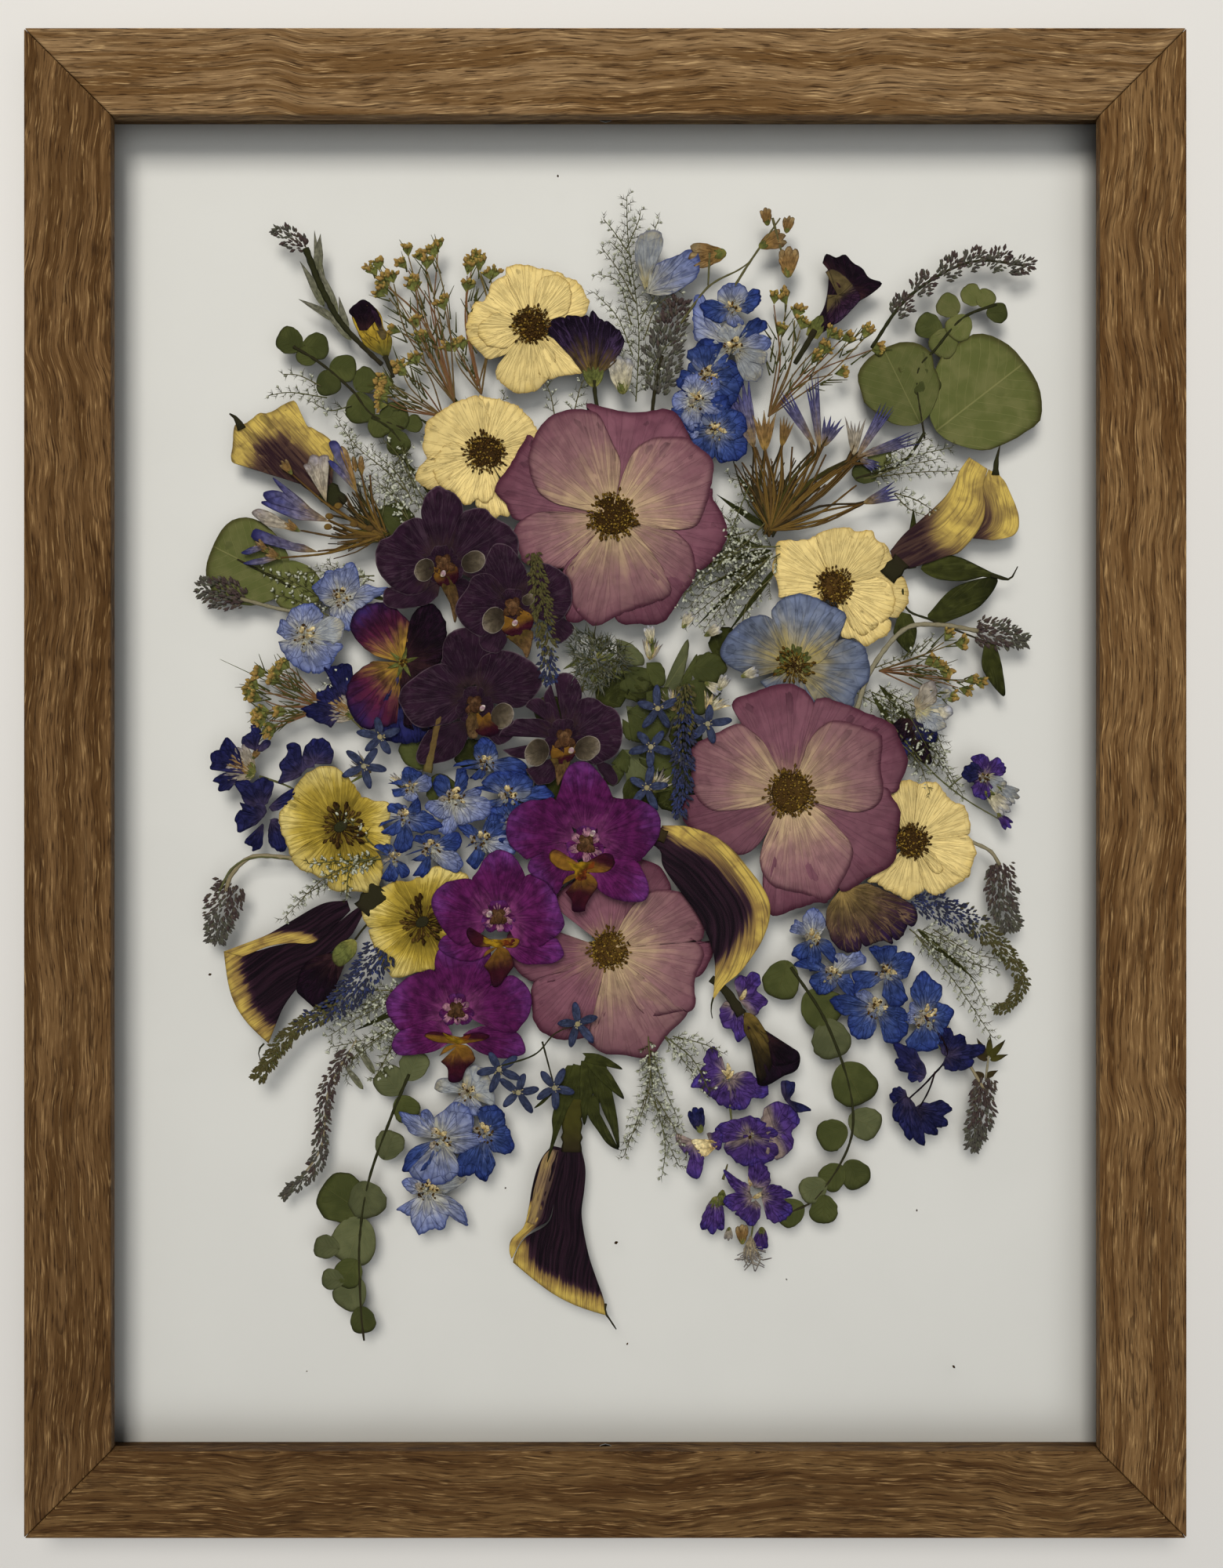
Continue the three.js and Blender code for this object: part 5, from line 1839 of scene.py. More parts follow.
@dataclass
class FloretCluster:
    """Several florets of one flower head, with buds and stems between them."""

    name: str
    florets: list[tuple[Point, float, Finish]]
    stems: list[list[Point]] = field(default_factory=list)
    buds: list[tuple[Point, float, float, Finish]] = field(default_factory=list)
    petals: list[tuple[Finish, Point, list[Point]]] = field(default_factory=list)
    drawn: list[tuple[Point, float, list[tuple[Finish, list[Point]]]]] = field(default_factory=list)

    def build(self) -> bpy.types.Object:
        """Builds the cluster in place of its solid."""
        sheet = Pressed(self.name, self.name)
        for path in self.stems:
            sheet.stem(path, 1.3, Finish.STEM, 0.7)
        for number, (finish, base, outline) in enumerate(self.petals):
            sheet.blade(outline, base, finish, 0.1 + number * 0.06, CRINKLED, *LEAF_STEPS)
        for spot, length, aim, finish in self.buds:
            bud(sheet, spot, length, aim, finish, 0.1)
        for number, (centre, radius, finish) in enumerate(self.florets):
            turn = sheet.rng.uniform(0, 360)
            floret(sheet, centre, radius, finish, turn, 0.08 + (number % 4) * 0.16)
        for number, (centre, radius, outlines) in enumerate(self.drawn):
            lift = 0.08 + (number % 3) * 0.2
            for place, (finish, outline) in enumerate(outlines):
                sheet.blade(outline, centre, finish, lift + place * 0.06, DELICATE, *DRAWN_STEPS)
            tuft(sheet, centre, radius, lift + len(outlines) * 0.06)
        return sheet.build(self.name)


def bud(sheet: Pressed, spot: Point, length: float, aim: float, finish: Finish, lift: float,
        width: float = 0.5) -> None:
    """Adds a folded bud: two petals over one another, and a green calyx at its foot.

    Args:
        sheet: The specimen.
        spot: Its foot.
        length: Its length.
        aim: Which way it points, in degrees.
        finish: The finish of its petals.
        lift: How far above the layer it lies.
        width: Its width, as a share of its length.
    """
    for number, side in enumerate((9, -9, 0)):
        sheet.petal(spot, aim + side, length * (0.95 + 0.05 * number), length * width * 0.75, finish,
                    PetalForm.OVAL, lift + number * 0.06, CRINKLED, side / 90, 0.1, 4, 24)
    for side in (-16, 16):
        sheet.petal(spot, aim + side, length * 0.36, length * width * 0.4, Finish.SEPAL,
                    PetalForm.POINTED, lift + 0.22, count=16, rings=3)


@dataclass
class RoundLeaves:
    """A eucalyptus sprig: round leaves along stems."""

    name: str
    leaves: list[tuple[Point, float, Point]]
    stems: list[list[Point]]
    finish: Finish
    dark: Finish | None = None

    def add_to(self, sheet: Pressed) -> None:
        """Adds the sprig to a specimen.

        Args:
            sheet: The specimen.
        """
        rng = sheet.rng
        for path in self.stems:
            sheet.stem(path, 1.5, Finish.DARK_STEM, 1.0, 0.05)
        for number, (centre, radius, foot) in enumerate(self.leaves):
            aim = direction(foot, centre)
            start = polar(centre, -radius * 0.96, aim)
            finish = self.dark if self.dark and number % 3 == 2 else self.finish
            sheet.petal(start, aim, radius * 1.98, radius * rng.uniform(1.85, 2.05), finish,
                        PetalForm.ROUND, 0.1 + (number % 5) * 0.08, LEATHERY, rng.uniform(-0.05, 0.05),
                        0.05, *ROUND_LEAF_STEPS)

    def build(self, *replaced: str) -> bpy.types.Object:
        """Builds the sprig in place of its solid."""
        sheet = Pressed(self.name, self.name)
        self.add_to(sheet)
        return sheet.build(self.name, *replaced)


def spray(sheet: Pressed, path: Sequence[Point], reach: float, lift: float,
          whites: float = 0.35) -> None:
    """Adds a feathery spray of limonium: a stem set with short side twigs of scales and pale florets.

    Args:
        sheet: The specimen.
        path: The stem's path, from its foot to its tip.
        reach: The length of the side twigs.
        lift: How far above the layer it lies.
        whites: The share of pale florets.
    """
    scales_to_a_millimetre = 2.0
    rng = sheet.rng
    length = sum(distance(a, b) for a, b in zip(path, path[1:]))
    sheet.stem(path, 0.7, Finish.STEM, 0.35, lift, 5)
    line = smooth_line(path, max(6, int(length / 1.9)))
    for number in range(1, len(line)):
        here = tuple(line[number])
        heading = direction(tuple(line[number - 1]), here)
        twig = reach * (1 - 0.55 * number / len(line)) * rng.uniform(0.6, 1.1)
        side = 1 if number % 2 else -1
        aim = heading + side * rng.uniform(32, 50)
        steps = max(2, int(twig * scales_to_a_millimetre / 2))
        for step in range(steps):
            run = (step + 0.5) / steps
            spot = polar(here, twig * run, aim + side * 10 * run)
            for turn in (-38, 38):
                pale = rng.uniform() < whites * 1.1 * run
                sheet.strew(BitForm.GRAIN if pale else BitForm.NEEDLE,
                            Finish.WHITE_BIT if pale else Finish.NEEDLE, spot, lift + rng.uniform(0.1, 0.4),
                            aim + turn + rng.uniform(-12, 12),
                            rng.uniform(1.1, 1.7) if pale else rng.uniform(1.7, 2.7), 0.2, 0.2)
        sheet.stem([here, polar(here, twig, aim + side * 8)], 0.35, Finish.NEEDLE, 0.2, lift + 0.05, 3, 3)


def bud_spike(sheet: Pressed, path: Sequence[Point], widths: Sequence[float], finishes: Sequence[Finish],
              lift: float, size: float = 2.2, density: float = 3.2) -> None:
    """Packs buds round a path, such as a head of lavender or a veronica spike.

    Args:
        sheet: The specimen.
        path: The path, from its foot to its tip.
        widths: The head's width at even steps along the path.
        finishes: The buds' finishes at even steps along the path.
        lift: How far above the layer it lies.
        size: A bud's length.
        density: Buds to each millimetre of path, for a width of 6.
    """
    rng = sheet.rng
    length = sum(distance(a, b) for a, b in zip(path, path[1:]))
    line = smooth_line(path, 60)
    count = int(length * density * np.mean(widths) / 6)
    for number in range(count):
        run = (number + rng.uniform()) / count
        spot = min(int(run * 59), 58)
        heading = direction(tuple(line[spot]), tuple(line[spot + 1]))
        half = float(np.interp(run, np.linspace(0, 1, len(widths)), widths)) / 2
        off = rng.uniform(-0.85, 0.85) * half
        place = polar(tuple(line[spot]), off, heading + 90)
        wander = run * (len(finishes) - 1) + rng.normal(0, 0.28)
        finish = finishes[int(np.clip(round(wander), 0, len(finishes) - 1))]
        rise = 0.55 * (1 - abs(off) / half) if half else 0.3
        sheet.strew(BitForm.BUD, finish, place, lift + rng.uniform(0.0, 0.35),
                    heading + off / half * 62 + rng.uniform(-12, 12), size * rng.uniform(0.75, 1.2),
                    rise, 0.25)


def wax_flowers(sheet: Pressed, root: Point, cups: Sequence[Point], lift: float,
                middle: Point | None = None) -> None:
    """Adds branching tan stems that end in small olive cups with mustard beads and needle leaves.

    Args:
        sheet: The specimen.
        root: Where the stems meet.
        cups: The tips of the cups.
        lift: How far above the layer they lie.
        middle: A point that all the stems pass.
    """
    rng = sheet.rng
    for cup in cups:
        aim = direction(root, cup)
        gap = distance(root, cup)
        side = rng.uniform(-0.1, 0.1) * gap
        turn = polar(polar(root, gap * 0.55, aim), side, aim + 90)
        if middle:
            turn = ((turn[0] + middle[0]) / 2, (turn[1] + middle[1]) / 2)
        foot = polar(cup, -4.5, direction(turn, cup))
        sheet.stem([root, turn, foot], 0.8, Finish.RED_STEM, 0.55, lift, 6)
        heading = direction(turn, cup)
        for _ in range(2):
            lean = heading + rng.uniform(-32, 32)
            start = polar(foot, rng.uniform(-0.5, 1.5), lean)
            sheet.petal(start, lean, 5.2, 4.6, Finish.SEPAL, PetalForm.SPOON, lift + 0.1, CRINKLED,
                        0.0, 0.05, 3, 14)
            for bead in range(5):
                sheet.strew(BitForm.GRAIN, Finish.WAX_BUD,
                            polar(start, 4.4 + rng.uniform(-0.7, 0.7), lean + (bead - 2) * 11),
                            lift + rng.uniform(0.2, 0.5), lean + rng.uniform(-60, 60),
                            rng.uniform(1.7, 2.6), 0.3, 0.3)
        for _ in range(5):
            share = rng.uniform(0.3, 0.97)
            spot = (root[0] + (cup[0] - root[0]) * share, root[1] + (cup[1] - root[1]) * share)
            lean = heading + rng.choice([-1, 1]) * rng.uniform(8, 30)
            sheet.stem([spot, polar(spot, rng.uniform(5.0, 11.0), lean)], 0.8, Finish.NEEDLE, 0.25,
                       lift + 0.1, 4, 3)


def pedicels(sheet: Pressed, root: Point, start: float, stop: float, reach: float, count: int) -> None:
    """Adds the crowded golden stalks of an agapanthus head.

    Args:
        sheet: The specimen.
        root: Where the stalks meet.
        start: The direction of the first stalk, in degrees.
        stop: The direction of the last one.
        reach: The length of the longest one.
        count: How many there are.
    """
    rng = sheet.rng
    for _ in range(count):
        aim, length = rng.uniform(start, stop), reach * rng.uniform(0.45, 1.0)
        begin = polar(root, rng.uniform(0, 3.5), rng.uniform(0, 360))
        finish = (Finish.GOLD_STEM, Finish.OLIVE_STEM, Finish.DARK_STEM, Finish.GOLD_STEM)[rng.integers(4)]
        sheet.stem([begin, polar(root, length * 0.5, aim + rng.uniform(-12, 12)), polar(root, length, aim)],
                   rng.uniform(0.8, 1.4), finish, 0.5, rng.uniform(0.0, 0.35), 4, 6)


def pale_tuft(sheet: Pressed, foot: Point, aim: float, length: float, lift: float) -> None:
    """Adds a dried pale flower: a fan of thin pointed scales from a green foot.

    Args:
        sheet: The specimen.
        foot: Its foot.
        aim: Which way it points, in degrees.
        length: Its length.
        lift: How far above the layer it lies.
    """
    rng = sheet.rng
    for number in range(15):
        lean = aim + rng.uniform(-34, 34)
        finish = (Finish.DRY_PETAL, Finish.PALE_SEPAL, Finish.CREAM_SCALE, Finish.SEPAL)[number % 4]
        sheet.petal(foot, lean, length * rng.uniform(0.7, 1.1), length * rng.uniform(0.1, 0.2), finish,
                    PetalForm.LANCE, lift + number * 0.03, CRINKLED, rng.uniform(-0.3, 0.3), 0.1, 4, 16)


def long_leaves(sheet: Pressed, leaves: Sequence[tuple[Point, Point]], width: float, finish: Finish,
                lift: float) -> None:
    """Adds narrow leaves, each from its foot to its tip.

    Args:
        sheet: The specimen.
        leaves: Each leaf's foot and tip.
        width: Their width.
        finish: Their finish.
        lift: How far above the layer they lie.
    """
    for number, (foot, tip) in enumerate(leaves):
        sheet.petal(foot, direction(foot, tip), distance(foot, tip), width * sheet.rng.uniform(0.85, 1.15),
                    finish, PetalForm.LANCE, lift + (number % 4) * 0.06, FLAT,
                    sheet.rng.uniform(-0.08, 0.08), 0.05, *LONG_LEAF_STEPS)


def star_flower(sheet: Pressed, centre: Point, radius: float, turn: float, lift: float) -> None:
    """Adds a star flower with five narrow petals.

    Args:
        sheet: The specimen.
        centre: Its middle.
        radius: The length of its petals.
        turn: The direction of the first petal, in degrees.
        lift: How far above the layer it lies.
    """
    rng = sheet.rng
    for number in range(5):
        aim = turn + number * 72 + rng.uniform(-8, 8)
        sheet.petal(centre, aim, radius * rng.uniform(0.85, 1.1), radius * 0.36, Finish.SLATE,
                    PetalForm.OVAL, lift + number * 0.04, FLAT, rng.uniform(-0.1, 0.1), 0.06, *STAR_STEPS)
    sheet.knob(centre, radius * 0.12, Finish.PALE_BUD, lift + 0.25, 0.4)
    for _ in range(6):
        sheet.strew(BitForm.ANTHER, Finish.PALE_BUD, centre, lift + 0.4, rng.uniform(0, 360),
                    radius * 0.25, 0.4, 0.3)


def funnel(sheet: Pressed, foot: Point, tip: Point, width: float, finish: Finish, lift: float) -> None:
    """Adds an agapanthus flower: petals that fan from a narrow golden foot.

    Args:
        sheet: The specimen.
        foot: Its foot.
        tip: The middle of its mouth.
        width: The width of its mouth.
        finish: The finish of its petals.
        lift: How far above the layer it lies.
    """
    petals = 5
    rng = sheet.rng
    aim, length = direction(foot, tip), distance(foot, tip)
    spread = math.degrees(math.atan2(width / 2, length))
    for number in range(petals):
        turn = spread * (2 * number / max(1, petals - 1) - 1)
        sheet.petal(foot, aim + turn * rng.uniform(0.8, 1.1), length * rng.uniform(0.85, 1.05),
                    max(1.8, width * 0.27), finish, PetalForm.LANCE, lift + 0.06 * number,
                    TRUMPET, turn / 200, 0.08, *FUNNEL_STEPS)


@dataclass
class Calla:
    """A calla spathe laid flat: its folds, its pale rim, its stem and the thread at its tip."""

    name: str
    folds: list[tuple[Finish, list[Point], list[Point], list[Point], float, float]]
    stems: list[tuple[Finish, list[Point], float, float]] = field(default_factory=list)
    leaves: list[tuple[Finish, Point, list[Point]]] = field(default_factory=list)
    spread: tuple | None = None
    fold_step: float = 0.22

    def build(self) -> bpy.types.Object:
        """Builds the calla in place of its solid."""
        sheet = Pressed(self.name, self.name)
        if self.spread:
            finish, base, outline, line, width = self.spread
            sheet.blade(outline, base, finish, 0.1, SPREAD, *SPATHE_STEPS, line, width)
        for finish, path, width, tip in self.stems:
            sheet.stem(path, width, finish, tip, 0.05, 8)
        for number, (finish, left, right, line, width, bulge) in enumerate(self.folds):
            sheet.ribbon(left, right, finish, 0.1 + number * self.fold_step, ROLLED, line, width, bulge,
                         *ROLL_STEPS)
        lift = 0.15 + len(self.folds) * self.fold_step
        for number, (finish, base, outline) in enumerate(self.leaves):
            sheet.blade(outline, base, finish, lift + number * 0.06, FLAT, *LEAF_STEPS)
        return sheet.build(self.name)


# ---- The bunch --------------------------------------------------------------------------------


def greenery() -> None:
    """Lays down the leaves and the fine green sprays at the edge of the bunch."""
    RoundLeaves("eucalyptus_top_right", [leaf(1252, 361, 15, 1262, 372), leaf(1269, 365, 13, 1262, 376),
            leaf(1284, 383, 14, 1262, 384), leaf(1222, 375, 16, 1240, 386),
            leaf(1236, 401, 18, 1250, 386), leaf(1197, 401, 18, 1216, 410),
            leaf(1216, 421, 20, 1228, 404), leaf(1176, 454, 20, 1192, 448),
            leaf(1191, 474, 20, 1180, 455), leaf(1160, 481, 55, 1190, 540),
            leaf(1262, 495, 74, 1192, 548), leaf(1113, 592, 17, 1130, 604),
            leaf(1130, 575, 16, 1128, 590)], [
            trace(1284, 372, 1240, 390, 1205, 430, 1180, 465, 1190, 548),
            trace(1190, 540, 1160, 580, 1100, 600)], Finish.SILVER_LEAF, Finish.OLIVE_LEAF).build()
    RoundLeaves("eucalyptus_left", [leaf(308, 716, 56, 365, 742), leaf(365, 739, 34, 352, 706)],
        [trace(360, 742, 330, 726, 290, 706)], Finish.SILVER_LEAF).build()
    RoundLeaves("eucalyptus_top_left", [TOP_LEFT.leaf(150, 965, 18, 240, 1010),
            TOP_LEFT.leaf(310, 1000, 18, 240, 1010), TOP_LEFT.leaf(260, 1065, 14, 330, 1110),
            TOP_LEFT.leaf(495, 1140, 18, 390, 1130), TOP_LEFT.leaf(400, 1235, 17, 370, 1150),
            TOP_LEFT.leaf(640, 1225, 17, 570, 1290), TOP_LEFT.leaf(610, 1400, 21, 600, 1300),
            TOP_LEFT.leaf(830, 1460, 20, 740, 1480), TOP_LEFT.leaf(735, 1520, 16, 690, 1450),
            leaf(500, 552, 17, 490, 530), TOP_LEFT.leaf(960, 1510, 12, 905, 1530)],
        [TOP_LEFT.trace(170, 1000, 350, 1110, 560, 1290, 690, 1450, 900, 1540),
            trace(466, 520, 490, 535, 510, 560)], Finish.OLIVE_LEAF).build()
    RoundLeaves("eucalyptus_bottom_left", [leaf(491, 1391, 21, 505, 1405), leaf(520, 1370, 21, 510, 1392),
            leaf(510, 1424, 18, 500, 1410), leaf(488, 1474, 20, 480, 1495),
            leaf(459, 1543, 25, 452, 1520), leaf(430, 1545, 33, 452, 1560),
            leaf(443, 1596, 32, 452, 1572), leaf(408, 1606, 17, 428, 1610),
            leaf(436, 1639, 20, 446, 1625), leaf(416, 1649, 15, 436, 1652),
            leaf(439, 1666, 23, 450, 1650), leaf(454, 1701, 18, 452, 1686)],
        [trace(515, 1380, 490, 1440, 462, 1520, 450, 1600, 452, 1690, 456, 1729)], Finish.GREY_LEAF,
        Finish.OLIVE_LEAF).build()
    RoundLeaves("eucalyptus_bottom_right", [leaf(1003, 1255, 26, 1010, 1236),
            leaf(1053, 1292, 28, 1036, 1276), leaf(1067, 1332, 27, 1060, 1310),
            leaf(1095, 1391, 30, 1084, 1368), leaf(1070, 1458, 21, 1090, 1448),
            leaf(1110, 1444, 22, 1094, 1436), leaf(1098, 1510, 20, 1088, 1494),
            leaf(1070, 1513, 19, 1084, 1500), leaf(1045, 1530, 19, 1064, 1522),
            leaf(1058, 1556, 19, 1060, 1536), leaf(1015, 1560, 20, 1038, 1548)],
        [trace(1015, 1240, 1060, 1310, 1092, 1400, 1092, 1470, 1050, 1540, 1012, 1562)],
        Finish.OLIVE_LEAF, Finish.GREY_LEAF).build()
    top_left = Pressed("greens_top_left", "greens_top_left")
    long_leaves(top_left, pairs(404, 360, 385, 275, 396, 330, 396, 279, 404, 376, 376, 312,
            421, 388, 398, 322, 424, 396, 371, 361, 434, 415, 423, 361, 440, 420, 400, 372), span(11),
        Finish.GREY_NEEDLE, 0.1)
    top_left.stem(trace(380, 300, 400, 350, 425, 395, 458, 431, 480, 452), span(9), Finish.DARK_STEM,
        span(6))
    bud_spike(top_left, trace(380, 300, 358, 285, 340, 274), (6, 9, 8, 3),
        (Finish.LAVENDER_BROWN, Finish.LAVENDER), 0.2, 2.4, 5.0)
    wax_flowers(top_left, at(575, 500),
        trace(464, 328, 481, 342, 481, 355, 511, 298, 535, 308, 553, 295, 520, 345), 0.25, at(545, 400))
    wax_flowers(top_left, at(610, 491), trace(600, 308, 591, 323, 606, 318, 570, 425, 583, 425), 0.35)
    wax_flowers(top_left, at(575, 502), trace(497, 402, 523, 395, 527, 415), 0.3)
    wax_flowers(top_left, at(560, 520), trace(503, 458, 478, 474, 484, 484, 478, 500), 0.35)
    for path, reach in ((trace(408, 495, 360, 488, 332, 492), 5),
            (trace(400, 480, 372, 466, 350, 464), 4), (trace(440, 505, 412, 512, 388, 500), 5),
            (trace(506, 560, 515, 590, 528, 640), 4)):
        spray(top_left, path, reach, 0.1, 0.3)
    top_left.build("greens_top_left")
    top = Pressed("greens_top", "greens_top")
    for path, reach in ((trace(812, 500, 816, 420, 812, 365, 802, 290, 800, 232), 8),
            (trace(806, 400, 790, 345, 762, 333), 5), (trace(808, 440, 788, 390, 757, 357), 5),
            (trace(822, 420, 840, 375, 872, 352), 6), (trace(806, 350, 796, 310, 780, 292), 5),
            (trace(800, 300, 815, 265, 818, 250), 4)):
        spray(top, path, reach, 0.1, 0.3)
    bud_spike(top, trace(838, 490, 846, 440, 858, 400, 868, 368), (12, 20, 18, 14, 9),
        (Finish.LAVENDER, Finish.LAVENDER, Finish.LAVENDER_BROWN), 0.3, 3.0, 3.0)
    top.stem(trace(832, 530, 836, 490, 846, 440), span(5), Finish.DARK_STEM)
    wax_flowers(top, at(985, 520),
        trace(991, 361, 1021, 381, 1071, 408, 1088, 411, 1115, 401, 1131, 428, 1081, 461, 1050, 440), 0.2,
        at(1020, 470))
    for path, widths in ((trace(1150, 388, 1168, 362), (8, 11, 4)),
            (trace(1178, 360, 1198, 334), (8, 12, 6)), (trace(1212, 338, 1234, 314), (7, 12, 6)),
            (trace(1244, 326, 1262, 302), (7, 11, 5)), (trace(1272, 326, 1296, 304), (7, 11, 5)),
            (trace(1298, 326, 1330, 318), (7, 10, 4))):
        bud_spike(top, path, widths, (Finish.LAVENDER, Finish.LAVENDER_BROWN), 0.2, 2.4, 5.0)
    top.stem(trace(1120, 430, 1160, 372, 1210, 334, 1260, 316, 1318, 322), span(5), Finish.DARK_STEM,
        span(3))
    top.build("greens_top")
    left = Pressed("greens_left", "greens_left")
    bud_spike(left, trace(300, 760, 270, 750, 240, 742), (8, 15, 16, 6),
        (Finish.LAVENDER_BROWN, Finish.LAVENDER), 0.2, 2.5, 5.0)
    left.stem(trace(380, 778, 340, 770, 295, 758), span(5), Finish.DRY_STEM)
    wax_flowers(left, at(400, 900), trace(318, 850, 342, 852, 308, 871, 312, 886, 320, 908, 332, 928),
        0.25)
    left.stem(trace(400, 900, 330, 866, 268, 837), 0.8, Finish.NEEDLE, 0.2, 0.3)
    for path, reach in ((trace(420, 770, 370, 738, 325, 722), 6),
            (trace(410, 780, 370, 760, 340, 752), 5), (trace(470, 640, 450, 590, 436, 540), 6),
            (trace(480, 650, 490, 600, 512, 560), 6)):
        spray(left, path, reach, 0.1, 0.35)
    bud_spike(left, trace(284, 1130, 270, 1165, 262, 1206), (16, 18, 14, 7),
        (Finish.LAVENDER_BROWN, Finish.LAVENDER), 0.2, 2.5, 5.0)
    left.stem(trace(372, 1098, 312, 1095, 284, 1118, 276, 1140), span(6), Finish.DRY_STEM)
    left.build("greens_left")
    right = Pressed("greens_right", "greens_right")
    bud_spike(right, trace(1256, 800, 1290, 804, 1324, 812), (12, 15, 13, 5),
        (Finish.LAVENDER_BROWN, Finish.LAVENDER), 0.2, 2.5, 5.0)
    right.stem(trace(1100, 905, 1120, 850, 1163, 798, 1210, 792, 1260, 800), span(7), Finish.DRY_STEM,
        span(6), 0.1)
    bud_spike(right, trace(1288, 1104, 1292, 1150, 1304, 1192), (13, 16, 13, 9),
        (Finish.LAVENDER_BROWN, Finish.LAVENDER), 0.2, 2.5, 5.0)
    right.stem(trace(1252, 1076, 1276, 1088, 1288, 1106), span(5), Finish.DRY_STEM)
    bud_spike(right, RIGHT.trace(740, 1080, 900, 1120, 1100, 1200, 1260, 1290, 1420, 1440, 1520, 1580) +
            trace(1318, 1262, 1300, 1290, 1279, 1295), (5, 14, 15, 12, 9, 7, 6, 5, 3),
        (Finish.VERONICA_BLUE, Finish.VERONICA_BLUE, Finish.VERONICA_GREEN, Finish.VERONICA_GREEN,
            Finish.VERONICA_GREEN), 0.2, 2.0, 7.5)
    wax_flowers(right, at(1130, 852), trace(1226, 808, 1199, 840, 1219, 852, 1265, 865, 1246, 878), 0.2)
    for path, reach in ((trace(1120, 850, 1170, 830, 1200, 808), 3),
            (trace(1100, 880, 1160, 920, 1180, 980), 7), (trace(1130, 890, 1190, 940, 1226, 1000), 6),
            (trace(1160, 900, 1200, 950, 1240, 1015), 6), (trace(1170, 1190, 1210, 1220, 1285, 1245), 6),
            (trace(1180, 1200, 1230, 1260, 1279, 1332), 6), (trace(1110, 600, 1180, 592, 1240, 590), 5),
            (trace(1130, 575, 1160, 560, 1195, 548), 6), (trace(1150, 620, 1170, 640, 1196, 650), 3)):
        spray(right, path, reach, 0.1, 0.45)
    for base, outline in ((RIGHT_CALLA.at(320, 1400), RIGHT_CALLA.trace(300, 1400, 240, 1300, 250, 1100,
                310, 1000, 350, 800, 370, 850, 400, 1050, 430, 1250, 380, 1390)),
            (RIGHT_CALLA.at(430, 1400), RIGHT_CALLA.trace(440, 1370, 520, 1290, 650, 1250, 800, 1270,
                    950, 1330, 1150, 1430, 1340, 1500, 1330, 1515, 1150, 1470, 900, 1520, 700, 1520,
                    560, 1490, 470, 1440)),
            (at(1194, 785), trace(1194, 778, 1230, 742, 1285, 730, 1262, 768, 1210, 792)),
            (at(1160, 775), trace(1153, 785, 1150, 806, 1170, 828, 1180, 800, 1172, 778)),
            (at(1272, 812), trace(1268, 815, 1266, 850, 1294, 886, 1292, 850, 1284, 818))):
        right.blade(outline, base, Finish.DARK_LEAF, 0.25, FLAT, 6, 44)
    right.stem(RIGHT_CALLA.trace(1150, 1470, 1330, 1510, 1390, 1440, 1425, 1375), 1.6, Finish.DARK_STEM,
        0.5, 0.3)
    right.stem(trace(1160, 728, 1166, 770, 1200, 786, 1272, 815), 1.3, Finish.DARK_STEM, 0.8, 0.2)
    right.build("greens_right")
    low_left = Pressed("greens_bottom_left", "greens_bottom_left")
    bud_spike(low_left,
        trace(436, 1350, 418, 1375, 405, 1410, 400, 1454, 396, 1490, 380, 1515, 348, 1542),
        (5, 6, 7, 6, 6, 5, 3), (Finish.LAVENDER_BROWN, Finish.LAVENDER), 0.2, 2.4, 5.5)
    low_left.stem(trace(446, 1335, 410, 1400, 398, 1480, 350, 1540), 0.9, Finish.DRY_STEM)
    for path, reach in ((trace(520, 1262, 470, 1290, 418, 1310), 6),
            (trace(520, 1290, 470, 1330, 412, 1345), 7), (trace(530, 1300, 490, 1350, 470, 1385), 7),
            (trace(510, 1310, 450, 1350, 432, 1385), 6)):
        spray(low_left, path, reach, 0.1, 0.4)
    long_leaves(low_left, pairs(455, 1400, 425, 1362, 470, 1380, 440, 1330), span(9), Finish.GREY_NEEDLE,
        0.2)
    low_left.build("greens_bottom_left")
    low_right = Pressed("greens_bottom_right", "greens_bottom_right")
    for path, reach in ((trace(828, 1345, 826, 1400, 810, 1450, 796, 1488), 7),
            (trace(828, 1350, 836, 1410, 850, 1460, 868, 1500), 7),
            (trace(826, 1400, 850, 1440, 872, 1450), 5), (trace(848, 1330, 880, 1370, 901, 1398), 5)):
        spray(low_right, path, reach, 0.1, 0.55)
    bud_spike(low_right, trace(1270, 1384, 1264, 1430, 1252, 1478), (9, 13, 12, 5),
        (Finish.LAVENDER_BROWN, Finish.LAVENDER), 0.2, 2.5, 6.5)
    long_leaves(low_right, pairs(1272, 1358, 1258, 1332, 1274, 1356, 1276, 1328, 1274, 1358, 1298, 1336,
            1272, 1362, 1250, 1350, 1276, 1362, 1300, 1354, 1268, 1384, 1252, 1376,
            1270, 1384, 1286, 1374), span(9), Finish.OLIVE_STEM, 0.15)
    low_right.stem(trace(1274, 1356, 1270, 1386), span(3), Finish.DRY_STEM)
    low_right.stem(trace(1215, 1310, 1250, 1370, 1268, 1400), span(4), Finish.DRY_STEM)
    low_right.build("greens_bottom_right")


